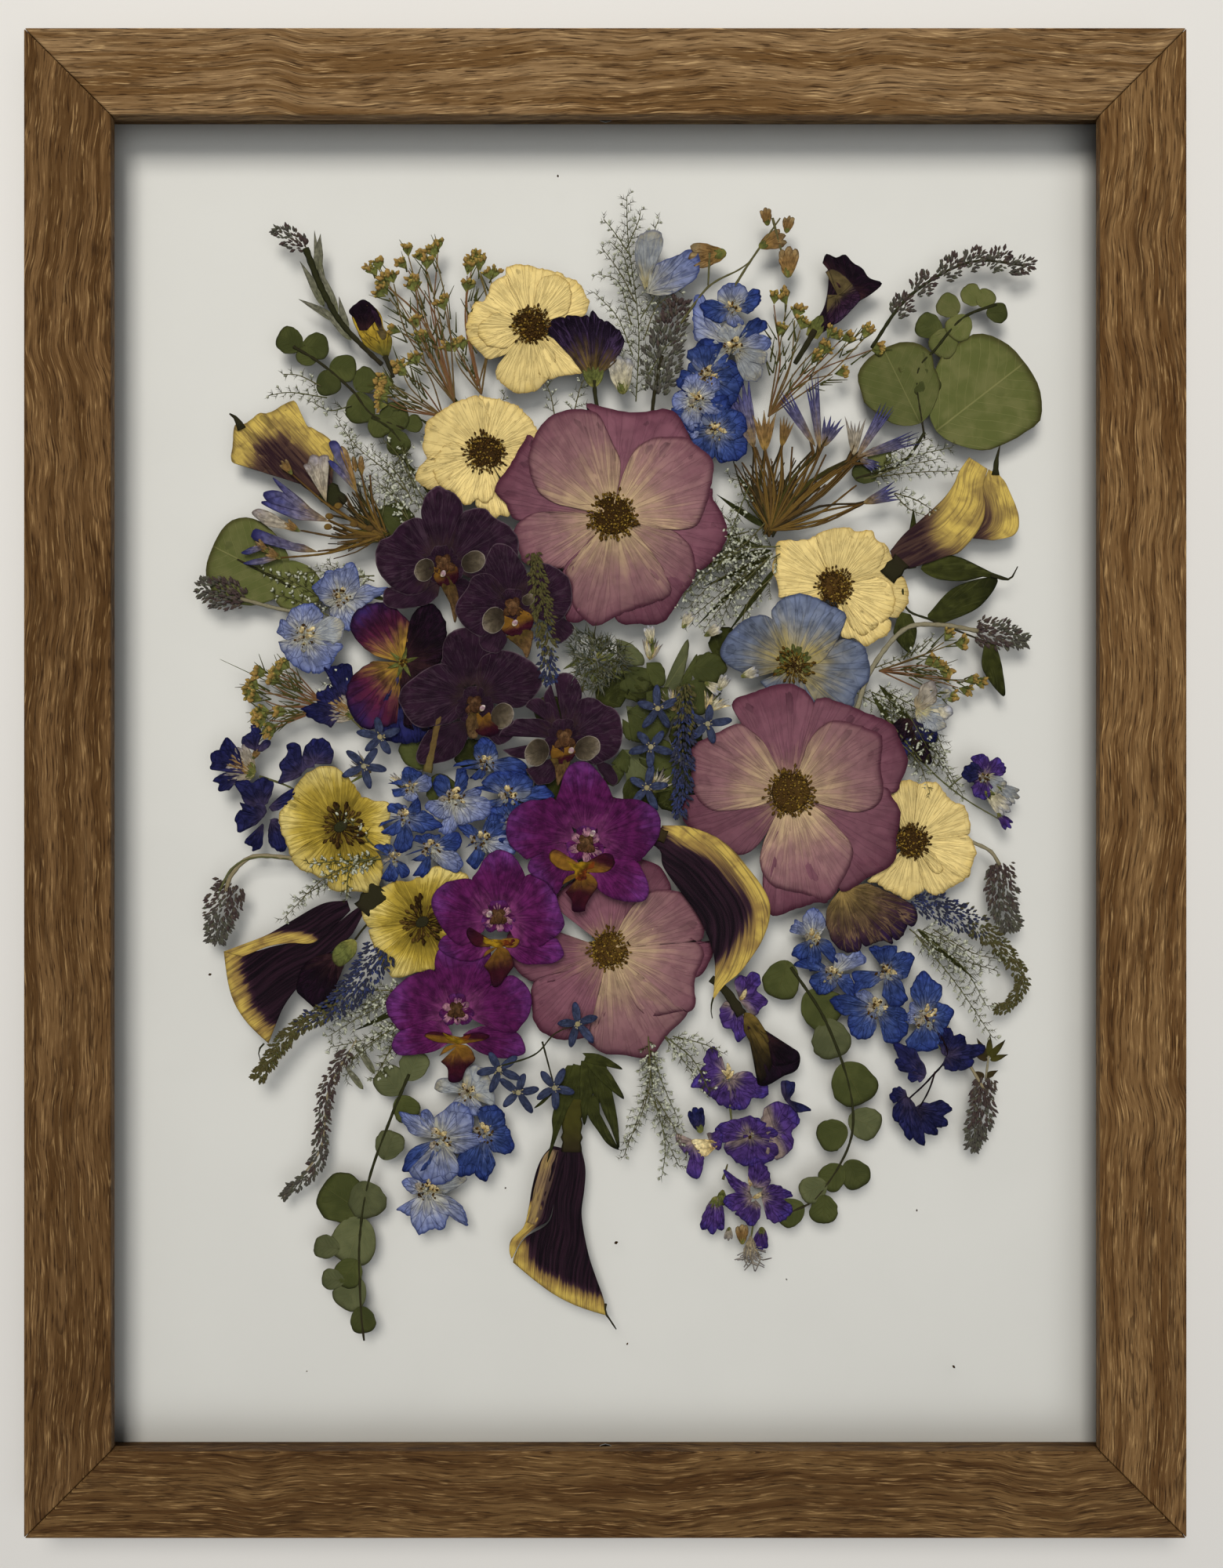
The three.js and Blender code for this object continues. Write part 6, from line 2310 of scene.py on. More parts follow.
def understory() -> None:
    """Fills the gaps of the bunch with leaves, pale tufts and sprays that lie under the blooms."""
    leaves = Pressed("leaves_in_the_middle", "greens_right", 0.2)
    for number, outline in enumerate((
            LOW_ORCHID.trace(1000, 60, 1100, 90, 1180, 150, 1230, 230, 1200, 270, 1100, 270, 1010, 200),
            LOW_ORCHID.trace(1040, 290, 1150, 280, 1250, 300, 1280, 380, 1250, 470, 1140, 490, 1030, 460,
                1000, 380),
            LOW_ORCHID.trace(1240, 250, 1350, 250, 1390, 340, 1380, 420, 1300, 440, 1240, 330),
            LOW_ORCHID.trace(1080, 590, 1230, 620, 1200, 700, 1100, 690),
            LOW_ORCHID.trace(1050, 690, 1150, 760, 1200, 830, 1100, 860, 1050, 800),
            LOW_ORCHID.trace(1050, 930, 1110, 1000, 1080, 1120, 960, 1050),
            LOW_ORCHID.trace(1150, 1110, 1230, 1040, 1330, 1100, 1300, 1180, 1200, 1190),
            LOW_ORCHID.trace(900, 1080, 1000, 1060, 1060, 1130, 1000, 1220, 900, 1200),
            LOW_ORCHID.trace(1240, 480, 1330, 470, 1400, 560, 1330, 640, 1240, 600),
            LOW_ORCHID.trace(1360, 500, 1400, 380, 1470, 220, 1568, 60, 1568, 200, 1520, 400, 1480, 500,
                1380, 560), LOW_ORCHID.trace(1500, 420, 1560, 300, 1640, 180, 1620, 320, 1560, 460),
            trace(800, 905, 830, 890, 858, 912, 842, 948, 806, 944),
            trace(795, 955, 828, 960, 836, 995, 800, 1000),
            trace(846, 985, 872, 972, 890, 1000, 868, 1030),
            trace(470, 640, 505, 632, 525, 660, 500, 690))):
        leaves.blade(outline, outline[0], Finish.OLIVE_LEAF if number % 3 else Finish.GREY_LEAF,
            0.05 + number % 3 * 0.08, CRINKLED, 6, 40)
    long_leaves(leaves, pairs(990, 704, 880, 792, 988, 700, 900, 748, 990, 694, 896, 712,
            996, 716, 930, 808, 975, 690, 905, 668, 982, 664, 914, 622, 984, 650, 940, 592,
            600, 540, 560, 470, 590, 560, 520, 520, 560, 640, 500, 560, 486, 760, 392, 726,
            480, 770, 400, 790, 1130, 870, 1206, 960, 1120, 880, 1180, 980, 1180, 1190, 1262, 1262,
            530, 1280, 440, 1330), span(8), Finish.DARK_LEAF, 0.02)
    for number, centre in enumerate(trace(812, 872, 850, 900, 880, 940, 842, 962, 862, 1012, 893, 884,
            815, 1012, 905, 850, 780, 880, 560, 1012, 600, 962, 650, 986, 700, 1002, 745, 930, 700, 905,
            770, 1040, 930, 820, 528, 960)):
        leaves.petal(polar(centre, -8, number * 50), number * 50, 17, 15,
            (Finish.DARK_LEAF, Finish.OLIVE_LEAF)[number % 2], PetalForm.OVAL, 0.02 + number % 4 * 0.06,
            CRINKLED, 0.1, 0.1, 5, 30)
    for foot, aim in ((at(830, 838), 78), (at(905, 905), 60), (at(832, 1010), 40), (at(862, 905), 100),
            (at(620, 560), 60), (at(466, 985), 160), (at(515, 1010), 120), (at(556, 965), 140)):
        pale_tuft(leaves, foot, aim, 12, 0.4)
    leaves.build()
    sprays = Pressed("limonium_below", "greens_top", 0.3)
    for path, reach, whites in ((trace(812, 372, 790, 330, 768, 300), 6, 0.3),
            (trace(806, 312, 786, 282, 770, 262), 5, 0.3), (trace(815, 312, 832, 285, 842, 262), 5, 0.3),
            (trace(818, 392, 842, 352, 852, 322), 6, 0.3), (trace(806, 470, 786, 440, 764, 424), 6, 0.3),
            (trace(826, 470, 850, 430, 872, 412), 6, 0.3),
            (trace(513, 618, 482, 588, 448, 560, 424, 528), 7, 0.35),
            (trace(520, 632, 500, 595, 468, 566), 7, 0.35), (trace(522, 610, 502, 572, 482, 550), 6, 0.5),
            (trace(514, 655, 492, 622, 466, 598), 7, 0.4), (trace(520, 668, 505, 632, 486, 612), 7, 0.5),
            (trace(540, 640, 520, 600, 510, 565), 6, 0.4),
            (trace(470, 728, 430, 728, 392, 722, 366, 728), 6, 0.6),
            (trace(470, 735, 430, 722, 408, 712), 6, 0.6), (trace(620, 560, 610, 520, 596, 500), 6, 0.4),
            (trace(640, 560, 634, 520, 640, 492), 6, 0.4), (trace(596, 590, 560, 560, 536, 548), 6, 0.4),
            (trace(706, 520, 700, 490, 690, 470), 6, 0.4), (trace(730, 520, 740, 480, 752, 462), 6, 0.4),
            (trace(986, 700, 952, 716, 912, 738, 880, 770), 9, 0.5),
            (trace(990, 690, 950, 690, 905, 716, 870, 748), 9, 0.5),
            (trace(980, 716, 944, 746, 922, 790), 9, 0.5), (trace(990, 730, 960, 760, 948, 800), 8, 0.5),
            (trace(968, 690, 930, 700, 896, 712), 8, 0.5), (trace(975, 640, 962, 610, 935, 600), 7, 0.4),
            (trace(950, 690, 936, 660, 916, 640), 7, 0.4), (trace(960, 670, 925, 680, 900, 700), 7, 0.4),
            (trace(1120, 880, 1160, 900, 1190, 948, 1206, 980), 8, 0.4),
            (trace(1140, 880, 1190, 910, 1216, 960), 8, 0.4),
            (trace(1150, 940, 1180, 970, 1196, 1010), 7, 0.4),
            (trace(1120, 600, 1160, 585, 1210, 575), 6, 0.4),
            (trace(1130, 585, 1180, 570, 1225, 560), 6, 0.4),
            (trace(1150, 620, 1176, 628, 1200, 642), 5, 0.4),
            (trace(1180, 1190, 1230, 1212, 1262, 1240), 8, 0.5),
            (trace(1190, 1200, 1240, 1240, 1270, 1290), 8, 0.5),
            (trace(1200, 1190, 1250, 1220, 1290, 1230), 6, 0.5),
            (trace(520, 1262, 480, 1280, 428, 1296, 398, 1300), 8, 0.6),
            (trace(500, 1280, 455, 1302, 410, 1330), 8, 0.6),
            (trace(530, 1296, 480, 1330, 440, 1362), 8, 0.6),
            (trace(536, 1300, 500, 1330, 480, 1370), 8, 0.6),
            (trace(500, 1270, 460, 1270, 420, 1272), 7, 0.6),
            (trace(828, 1330, 830, 1390, 816, 1440, 800, 1470), 5, 0.8),
            (trace(832, 1350, 850, 1400, 868, 1440), 5, 0.8),
            (trace(838, 1410, 862, 1450, 878, 1486), 5, 0.8),
            (trace(846, 1440, 850, 1480, 846, 1512), 4, 0.8),
            (trace(850, 1330, 886, 1360, 908, 1402), 7, 0.8),
            (trace(860, 1330, 900, 1340, 926, 1352), 6, 0.6),
            (trace(452, 1130, 410, 1130, 372, 1150), 7, 0.6),
            (trace(470, 1110, 420, 1100, 380, 1110), 7, 0.6),
            (trace(440, 845, 420, 862, 398, 884), 5, 0.5),
            (trace(470, 1090, 430, 1070, 402, 1060), 6, 0.5)):
        spray(sprays, path, reach, 0.1, whites)
    sprays.build()
    cups = Pressed("wax_flowers_below", "greens_left", 0.2)
    for root, tips in ((at(400, 892), trace(317, 850, 339, 850, 305, 880, 337, 863, 350, 840)),
            (at(392, 906), trace(316, 904, 320, 916, 328, 931, 345, 905)),
            (at(575, 500), trace(470, 318, 492, 334, 536, 318, 548, 300, 522, 338, 508, 318)),
            (at(560, 520), trace(500, 450, 486, 470, 478, 488, 520, 440)),
            (at(606, 480), trace(598, 318, 590, 345, 622, 330, 560, 370)),
            (at(985, 520), trace(1011, 361, 1030, 395, 1060, 430, 1118, 410, 998, 402)),
            (at(1130, 852), trace(1240, 812, 1210, 848, 1252, 870, 1226, 892))):
        wax_flowers(cups, root, tips, 0.25)
    cups.build()


def side_flowers() -> None:
    """Lays down the agapanthus heads, the delphiniums, the larkspurs and the dark side flowers."""
    left = Pressed("agapanthus_left", "agapanthus_left")
    root = AGAPANTHUS.at(715, 690)
    pedicels(left, root, 105, 206, 27, 95)
    for tip in ([AGAPANTHUS.at(390, 500)], [AGAPANTHUS.at(565, 455)], [AGAPANTHUS.at(400, 600)],
            [AGAPANTHUS.at(240, 660)], [AGAPANTHUS.at(340, 780)], [AGAPANTHUS.at(190, 335)],
            [AGAPANTHUS.at(590, 330)], [AGAPANTHUS.at(640, 340)], [AGAPANTHUS.at(430, 520)],
            [AGAPANTHUS.at(100, 820)]):
        left.stem([root, polar(root, distance(root, tip[0]) * 0.5, direction(root, tip[0]) + 6), tip[0]],
            1.5, Finish.GOLD_STEM, 0.8, 0.3)
    violet, dry = Finish.AGAPANTHUS, Finish.DRY_PETAL
    for number, (finish, base, outline) in enumerate(((violet, AGAPANTHUS.at(345, 785),
            AGAPANTHUS.trace(345, 785, 240, 785, 120, 760, 50, 740, -40, 705, -20, 650, 60, 680, 160, 720,
                260, 740)), (dry, AGAPANTHUS.at(240, 665), AGAPANTHUS.trace(240, 665, 160, 645, 60, 640,
                    0, 600, -40, 560, 0, 535, 80, 560, 130, 600)),
            (violet, AGAPANTHUS.at(420, 612), AGAPANTHUS.trace(420, 612, 330, 600, 230, 600, 110, 555,
                    10, 500, 60, 490, 150, 500, 260, 540)),
            (violet, AGAPANTHUS.at(400, 600), AGAPANTHUS.trace(400, 600, 300, 570, 180, 530, 60, 500,
                    25, 445, 100, 430, 200, 470, 300, 530)),
            (violet, AGAPANTHUS.at(330, 560),
                AGAPANTHUS.trace(330, 560, 240, 520, 140, 440, 80, 355, 160, 410, 250, 480)),
            (violet, AGAPANTHUS.at(120, 820),
                AGAPANTHUS.trace(120, 820, 40, 850, -30, 860, -90, 850, -20, 825, 60, 810)),
            (violet, AGAPANTHUS.at(60, 760),
                AGAPANTHUS.trace(60, 760, 0, 780, -60, 800, -100, 790, -50, 760, 0, 745)),
            (dry, AGAPANTHUS.at(390, 500),
                AGAPANTHUS.trace(392, 505, 350, 400, 280, 320, 258, 285, 300, 280, 350, 330, 385, 420)),
            (dry, AGAPANTHUS.at(390, 500),
                AGAPANTHUS.trace(392, 505, 330, 370, 285, 300, 300, 230, 350, 240, 380, 330, 395, 430)),
            (dry, AGAPANTHUS.at(390, 500),
                AGAPANTHUS.trace(392, 505, 370, 400, 355, 300, 350, 235, 405, 235, 402, 330, 396, 430)),
            (violet, AGAPANTHUS.at(570, 450),
                AGAPANTHUS.trace(575, 460, 500, 370, 420, 300, 400, 255, 440, 270, 500, 330, 560, 400)),
            (violet, AGAPANTHUS.at(570, 450),
                AGAPANTHUS.trace(575, 460, 530, 360, 450, 260, 405, 160, 450, 148, 500, 230, 550, 340)),
            (Finish.GOLD_PETAL, AGAPANTHUS.at(570, 450),
                AGAPANTHUS.trace(575, 460, 540, 360, 490, 280, 470, 180, 510, 200, 535, 280, 560, 370)),
            (Finish.GOLD_PETAL, AGAPANTHUS.at(600, 340),
                AGAPANTHUS.trace(600, 350, 575, 300, 580, 240, 600, 240, 612, 300)),
            (Finish.GOLD_PETAL, AGAPANTHUS.at(560, 330),
                AGAPANTHUS.trace(560, 330, 540, 290, 540, 240, 555, 245, 572, 300)))):
        left.blade(outline, base, finish, 0.35 + number * 0.05, Relief(0.25, 0.12, 3, 0.08, 4, 0.12), 7,
            40)
    for spot, aim in ((AGAPANTHUS.at(195, 340), 128), (AGAPANTHUS.at(130, 825), 150),
            (AGAPANTHUS.at(240, 668), 150), (AGAPANTHUS.at(60, 790), 140)):
        bud(left, spot, 8, aim, Finish.GOLD_PETAL, 0.6, 0.32)
    for spot in ([AGAPANTHUS.at(408, 580)], [AGAPANTHUS.at(460, 520)], [AGAPANTHUS.at(550, 625)],
            [AGAPANTHUS.at(400, 640)], [AGAPANTHUS.at(640, 650)]):
        left.knob(spot[0], 1.5, Finish.GOLD_STEM, 0.6, 0.8, 1.3)
    left.build("agapanthus_left")
    right = Pressed("agapanthus_right", "agapanthus_right")
    root = at(987, 669)
    pedicels(right, root, 36, 124, 36, 90)
    for tip in ([at(968, 560)], [at(980, 560)], [at(1002, 560)], [at(1040, 575)], [at(1060, 570)],
            [at(1095, 570)], [at(1030, 600)], [at(1100, 610)], [at(1108, 635)], [at(1080, 646)],
            [at(1016, 560)], [at(950, 580)]):
        right.stem([root, polar(root, distance(root, tip[0]) * 0.5, direction(root, tip[0]) - 9), tip[0]],
            1.4, Finish.GOLD_STEM, 0.8, 0.1 + right.rng.uniform(0, 0.3))
    for foot, tip, width, finish in ((at(966, 562), at(938, 466), 13, Finish.AGAPANTHUS),
            (at(980, 566), at(979, 512), 11, Finish.GOLD_PETAL),
            (at(1052, 566), at(1040, 460), 6, Finish.AGAPANTHUS),
            (at(1046, 560), at(1000, 486), 6, Finish.AGAPANTHUS),
            (at(1056, 560), at(1074, 520), 9, Finish.AGAPANTHUS),
            (at(1096, 572), at(1098, 520), 8, Finish.DRY_PETAL),
            (at(1100, 574), at(1146, 500), 6, Finish.AGAPANTHUS),
            (at(1100, 574), at(1184, 546), 6, Finish.AGAPANTHUS),
            (at(1104, 576), at(1130, 590), 5, Finish.AGAPANTHUS),
            (at(1108, 634), at(1156, 616), 8, Finish.AGAPANTHUS),
            (at(1002, 560), at(1010, 520), 6, Finish.GOLD_PETAL)):
        funnel(right, foot, tip, width, finish, 0.3 + right.rng.uniform(0, 0.3))
        for lean in (-5, 4, 10):
            turn = polar(root, distance(root, foot) * 0.55, direction(root, foot) + lean)
            end = polar(foot, 5.0, direction(foot, tip))
            right.stem([root, turn, foot, end], 1.3, (Finish.GOLD_STEM, Finish.OLIVE_STEM)[lean > 5], 0.9,
                0.2 + right.rng.uniform(0, 0.3), 4, 7)
    right.build("agapanthus_right")
    FloretCluster("delphinium_top", [(at(886, 512), span(30), Finish.BLUE),
            (at(905, 470), span(44), Finish.BLUE), (at(915, 540), span(42), Finish.BLUE),
            (at(890, 500), span(36), Finish.PERIWINKLE)], [trace(870, 400, 906, 352, 945, 330, 962, 318),
            trace(908, 308, 906, 350), trace(990, 262, 1000, 300, 1008, 326),
            trace(940, 352, 960, 320, 1000, 262)], [(at(930, 308), 17, 185, Finish.GOLD_PETAL),
            (at(972, 300), 13, 25, Finish.GOLD_PETAL), (at(1010, 340), 14, 88, Finish.GOLD_PETAL),
            (at(984, 272), 8, 100, Finish.GOLD_PETAL), (at(1008, 282), 8, 80, Finish.GOLD_PETAL),
            (at(795, 492), 17, 95, Finish.PALE_SEPAL)], [(Finish.PALE_BLUE, TOP.at(1300, 400),
            TOP.trace(1290, 420, 1245, 300, 1225, 180, 1250, 80, 1310, 42, 1385, 45, 1410, 110, 1390, 190,
                1345, 260, 1320, 330, 1310, 410)), (Finish.PERIWINKLE, TOP.at(1300, 440),
                TOP.trace(1310, 420, 1330, 290, 1400, 235, 1500, 200, 1575, 160, 1640, 200, 1630, 330,
                    1560, 390, 1480, 440, 1380, 460))], [(BLUE_TOP.at(220, 1290), span(11),
            [(Finish.BLUE,
                BLUE_TOP.trace(180, 1240, 140, 1200, 0, 1190, -20, 1120, 60, 1078, 140, 1088, 210, 1150)),
                (Finish.PERIWINKLE, BLUE_TOP.trace(190, 1290, 50, 1208, -10, 1230, 8, 1330, 60, 1414,
                        140, 1424, 210, 1370)), (Finish.BLUE,
                    BLUE_TOP.trace(230, 1330, 300, 1340, 360, 1358, 394, 1430, 384, 1500, 330, 1564,
                        260, 1572, 222, 1500))]), (BLUE_TOP.at(150, 850), span(13),
                [(Finish.PERIWINKLE,
                    BLUE_TOP.trace(150, 860, 40, 820, 28, 720, 60, 688, 150, 748, 190, 820)),
                    (Finish.BLUE, BLUE_TOP.trace(140, 880, 60, 858, -30, 860, -60, 960, -10, 1084,
                            60, 1064, 124, 1010)), (Finish.BLUE,
                        BLUE_TOP.trace(170, 840, 220, 758, 300, 698, 400, 718, 434, 790, 370, 862,
                            300, 880))]), (BLUE_TOP.at(370, 260), span(12),
                [(Finish.PERIWINKLE,
                    BLUE_TOP.trace(340, 290, 320, 330, 330, 390, 390, 424, 474, 392, 440, 330)),
                    (Finish.BLUE, BLUE_TOP.trace(420, 270, 490, 180, 530, 108, 604, 108, 619, 190,
                            574, 262, 510, 314)), (Finish.BLUE,
                        BLUE_TOP.trace(330, 280, 270, 230, 240, 198, 170, 188, 98, 240, 150, 334,
                            250, 384, 320, 370)), (Finish.PERIWINKLE,
                        BLUE_TOP.trace(340, 240, 250, 200, 258, 120, 320, 58, 440, 53, 504, 110, 504, 182,
                            440, 240))]), (BLUE_TOP.at(380, 590), span(16),
                [(Finish.PERIWINKLE,
                    BLUE_TOP.trace(120, 540, 60, 530, 44, 430, 44, 190, 132, 148, 134, 350, 164, 420)),
                    (Finish.BLUE,
                        BLUE_TOP.trace(440, 520, 500, 390, 560, 348, 640, 358, 679, 420, 600, 480)),
                    (Finish.PALE_BLUE, BLUE_TOP.trace(350, 560, 250, 490, 300, 398, 360, 398, 480, 388,
                            504, 470, 440, 560)), (Finish.PERIWINKLE,
                        BLUE_TOP.trace(430, 570, 500, 498, 600, 478, 694, 520, 694, 592, 640, 624,
                            520, 610)), (Finish.PALE_BLUE, BLUE_TOP.trace(340, 610, 290, 560, 200, 518,
                            98, 560, 118, 622, 200, 654, 300, 650)),
                    (Finish.PALE_BLUE, BLUE_TOP.trace(340, 650, 280, 680, 200, 668, 138, 700, 150, 752,
                            220, 764, 320, 740)), (Finish.PALE_BLUE,
                        BLUE_TOP.trace(410, 650, 500, 640, 600, 728, 634, 790, 604, 872, 540, 884,
                            470, 864, 420, 780)), (Finish.PALE_BLUE,
                        BLUE_TOP.trace(420, 620, 500, 598, 600, 608, 674, 650, 664, 722, 620, 744,
                            540, 720, 440, 700))])]).build()
    grey, blue, pale = Finish.PALE_BLUE, Finish.BLUE, Finish.PERIWINKLE
    FloretCluster("delphinium_left", [], drawn=[(AGAPANTHUS.at(470, 1050), span(16),
            [(pale, AGAPANTHUS.trace(500, 1080, 450, 1100, 400, 1110, 440, 1190, 520, 1240, 570, 1180,
                    600, 1110, 560, 1070)), (pale, AGAPANTHUS.trace(520, 1060, 600, 970, 680, 985,
                        742, 985, 720, 1020, 640, 1064, 570, 1140, 530, 1110)),
                (pale, AGAPANTHUS.trace(450, 1060, 400, 1100, 340, 1040, 305, 985, 350, 940, 395, 885,
                        440, 900, 500, 990)), (pale, AGAPANTHUS.trace(480, 1040, 430, 960, 430, 890,
                        480, 868, 530, 836, 566, 880, 578, 980, 540, 1060))]),
            (AGAPANTHUS.at(255, 1265), span(19), [(pale, AGAPANTHUS.trace(250, 1290, 170, 1290, 105, 1250,
                        110, 1215, 130, 1170, 200, 1200, 260, 1250)),
                    (pale, AGAPANTHUS.trace(250, 1290, 210, 1320, 130, 1320, 110, 1300, 150, 1385,
                            220, 1450, 290, 1475, 320, 1400, 300, 1310)),
                    (pale, AGAPANTHUS.trace(280, 1290, 330, 1300, 480, 1310, 450, 1370, 400, 1455,
                            310, 1482, 290, 1400)), (grey, AGAPANTHUS.trace(280, 1260, 340, 1190,
                            400, 1155, 460, 1160, 490, 1215, 470, 1290, 400, 1320, 320, 1310)),
                    (pale, AGAPANTHUS.trace(240, 1250, 160, 1180, 200, 1105, 300, 1076, 345, 1110,
                            370, 1160, 330, 1230, 290, 1270))])]).build()
    FloretCluster("delphinium_bottom", [], drawn=[(BLUE_FOOT.at(570, 360), span(15),
            [(grey,
                BLUE_FOOT.trace(540, 350, 430, 360, 350, 350, 330, 290, 370, 255, 450, 255, 540, 290)),
                (grey, BLUE_FOOT.trace(560, 330, 530, 220, 600, 155, 700, 190, 745, 280, 765, 440,
                        660, 420, 600, 380)), (pale, BLUE_FOOT.trace(560, 380, 480, 400, 460, 470,
                        540, 530, 640, 520, 670, 450, 620, 390))]),
            (BLUE_FOOT.at(690, 650), span(17), [(blue, BLUE_FOOT.trace(670, 620, 640, 480, 740, 450,
                        800, 460, 835, 500, 845, 590, 760, 630)),
                    (blue, BLUE_FOOT.trace(700, 660, 780, 620, 850, 595, 885, 640, 912, 755, 870, 803,
                            760, 790, 710, 730)), (blue, BLUE_FOOT.trace(650, 720, 540, 770, 480, 870,
                            490, 955, 600, 962, 660, 900, 670, 800)),
                    (blue, BLUE_FOOT.trace(660, 760, 700, 820, 765, 840, 772, 900, 735, 950, 705, 1008,
                            650, 985, 620, 930, 640, 830))]),
            (BLUE_FOOT.at(370, 690), span(18), [(pale,
                    BLUE_FOOT.trace(330, 690, 250, 680, 150, 650, 70, 505, 160, 515, 235, 530, 300, 620)),
                    (pale, BLUE_FOOT.trace(330, 660, 240, 600, 232, 490, 290, 485, 335, 560, 360, 640)),
                    (pale, BLUE_FOOT.trace(380, 660, 320, 560, 400, 480, 480, 425, 580, 470, 620, 600,
                            560, 690, 450, 700)), (blue, BLUE_FOOT.trace(340, 720, 230, 730, 130, 800,
                            98, 925, 180, 935, 300, 900, 380, 800)),
                    (pale, BLUE_FOOT.trace(360, 720, 430, 760, 495, 840, 500, 950, 380, 1030, 240, 1010,
                            140, 940, 200, 860, 300, 780)),
                    (pale, BLUE_FOOT.trace(400, 690, 500, 650, 600, 645, 710, 700, 620, 750, 500, 800,
                            420, 760))]), (BLUE_FOOT.at(270, 1080), span(17),
                [(pale, BLUE_FOOT.trace(240, 1070, 160, 1100, 85, 1010, 130, 980, 240, 985, 280, 1040)),
                    (grey,
                        BLUE_FOOT.trace(330, 1070, 400, 1010, 500, 960, 570, 990, 480, 1060, 380, 1100)),
                    (pale,
                        BLUE_FOOT.trace(240, 1110, 160, 1140, 55, 1205, 70, 1225, 150, 1260, 220, 1200)),
                    (pale, BLUE_FOOT.trace(330, 1120, 420, 1110, 530, 1190, 572, 1325, 480, 1290,
                            400, 1220)), (pale, BLUE_FOOT.trace(280, 1100, 180, 1140, 148, 1260,
                            190, 1370, 225, 1395, 320, 1350, 385, 1365, 430, 1270, 440, 1160,
                            360, 1110))])]).build()
    navy, purple = Finish.NAVY, Finish.PURPLE
    FloretCluster("larkspur_left", [], [trace(462, 935, 440, 915), trace(320, 990, 350, 1000, 372, 1010),
            trace(268, 1140, 285, 1110, 315, 1096, 365, 1098)],
        [(DARK_LEFT.at(1000, 430), 13, 150, Finish.GOLD_PETAL),
            (DARK_LEFT.at(1000, 430), 12, 172, Finish.DRY_PETAL),
            (DARK_LEFT.at(990, 400), 9, 125, Finish.DRY_PETAL),
            (DARK_LEFT.at(400, 770), 14, 160, Finish.GOLD_PETAL),
            (DARK_LEFT.at(390, 760), 13, 128, Finish.DRY_PETAL),
            (DARK_LEFT.at(395, 780), 14, 184, Finish.DRY_PETAL),
            (DARK_LEFT.at(380, 690), 5, 60, Finish.GOLD_PETAL)],
        [(navy, DARK_LEFT.at(960, 380), DARK_LEFT.trace(950, 370, 880, 320, 862, 240, 838, 180, 812, 128,
                870, 120, 960, 103, 990, 150, 985, 240, 970, 320)),
            (navy, DARK_LEFT.at(940, 380), DARK_LEFT.trace(930, 370, 860, 352, 790, 356, 765, 330,
                    780, 280, 820, 260, 838, 236, 880, 260, 930, 300)),
            (navy, DARK_LEFT.at(930, 400), DARK_LEFT.trace(900, 400, 862, 440, 864, 498, 820, 480,
                    780, 468, 735, 440, 710, 436, 695, 400, 670, 385, 720, 360, 780, 344, 870, 360)),
            (navy, DARK_LEFT.at(330, 780), DARK_LEFT.trace(290, 700, 285, 760, 240, 775, 180, 755,
                    122, 752, 125, 700, 128, 650, 175, 632, 190, 600, 222, 555, 262, 590, 300, 640)),
            (navy, DARK_LEFT.at(300, 790), DARK_LEFT.trace(280, 800, 262, 850, 230, 882, 172, 880,
                    170, 840, 136, 820, 180, 785, 230, 768)),
            (navy, DARK_LEFT.at(400, 640), DARK_LEFT.trace(400, 640, 350, 620, 318, 600, 314, 560,
                    368, 525, 370, 480, 405, 488, 442, 530, 400, 566, 420, 600, 462, 568, 494, 600,
                    440, 645)), (navy, DARK_LEFT.at(440, 980),
                DARK_LEFT.trace(420, 990, 340, 965, 300, 890, 270, 830, 350, 815, 380, 830, 440, 800,
                    505, 820, 505, 880, 470, 960)), (navy, DARK_LEFT.at(450, 1040),
                DARK_LEFT.trace(430, 1060, 400, 1090, 340, 1120, 296, 1138, 280, 1080, 270, 1050,
                    300, 1000, 320, 1000, 300, 950, 330, 960, 440, 960, 470, 1010)),
            (navy, DARK_LEFT.at(440, 1080), DARK_LEFT.trace(450, 1090, 445, 1180, 440, 1215, 420, 1240,
                    380, 1248, 375, 1215, 330, 1205, 345, 1170, 390, 1130)),
            (navy, DARK_LEFT.at(490, 1060), DARK_LEFT.trace(480, 1060, 530, 1050, 555, 1120, 590, 1225,
                    560, 1258, 520, 1240, 480, 1200, 475, 1120)),
            (navy, DARK_LEFT.at(480, 980),
                DARK_LEFT.trace(480, 1000, 500, 960, 560, 905, 640, 865, 620, 930, 560, 990, 500, 1010)),
            (navy, DARK_LEFT.at(680, 780), DARK_LEFT.trace(680, 790, 620, 820, 540, 838, 558, 780,
                    545, 730, 560, 690, 595, 660, 592, 600, 665, 598, 690, 690, 720, 740)),
            (navy, DARK_LEFT.at(760, 720), DARK_LEFT.trace(760, 740, 700, 740, 690, 660, 710, 600,
                    770, 560, 840, 580, 875, 650, 860, 720))]).build()
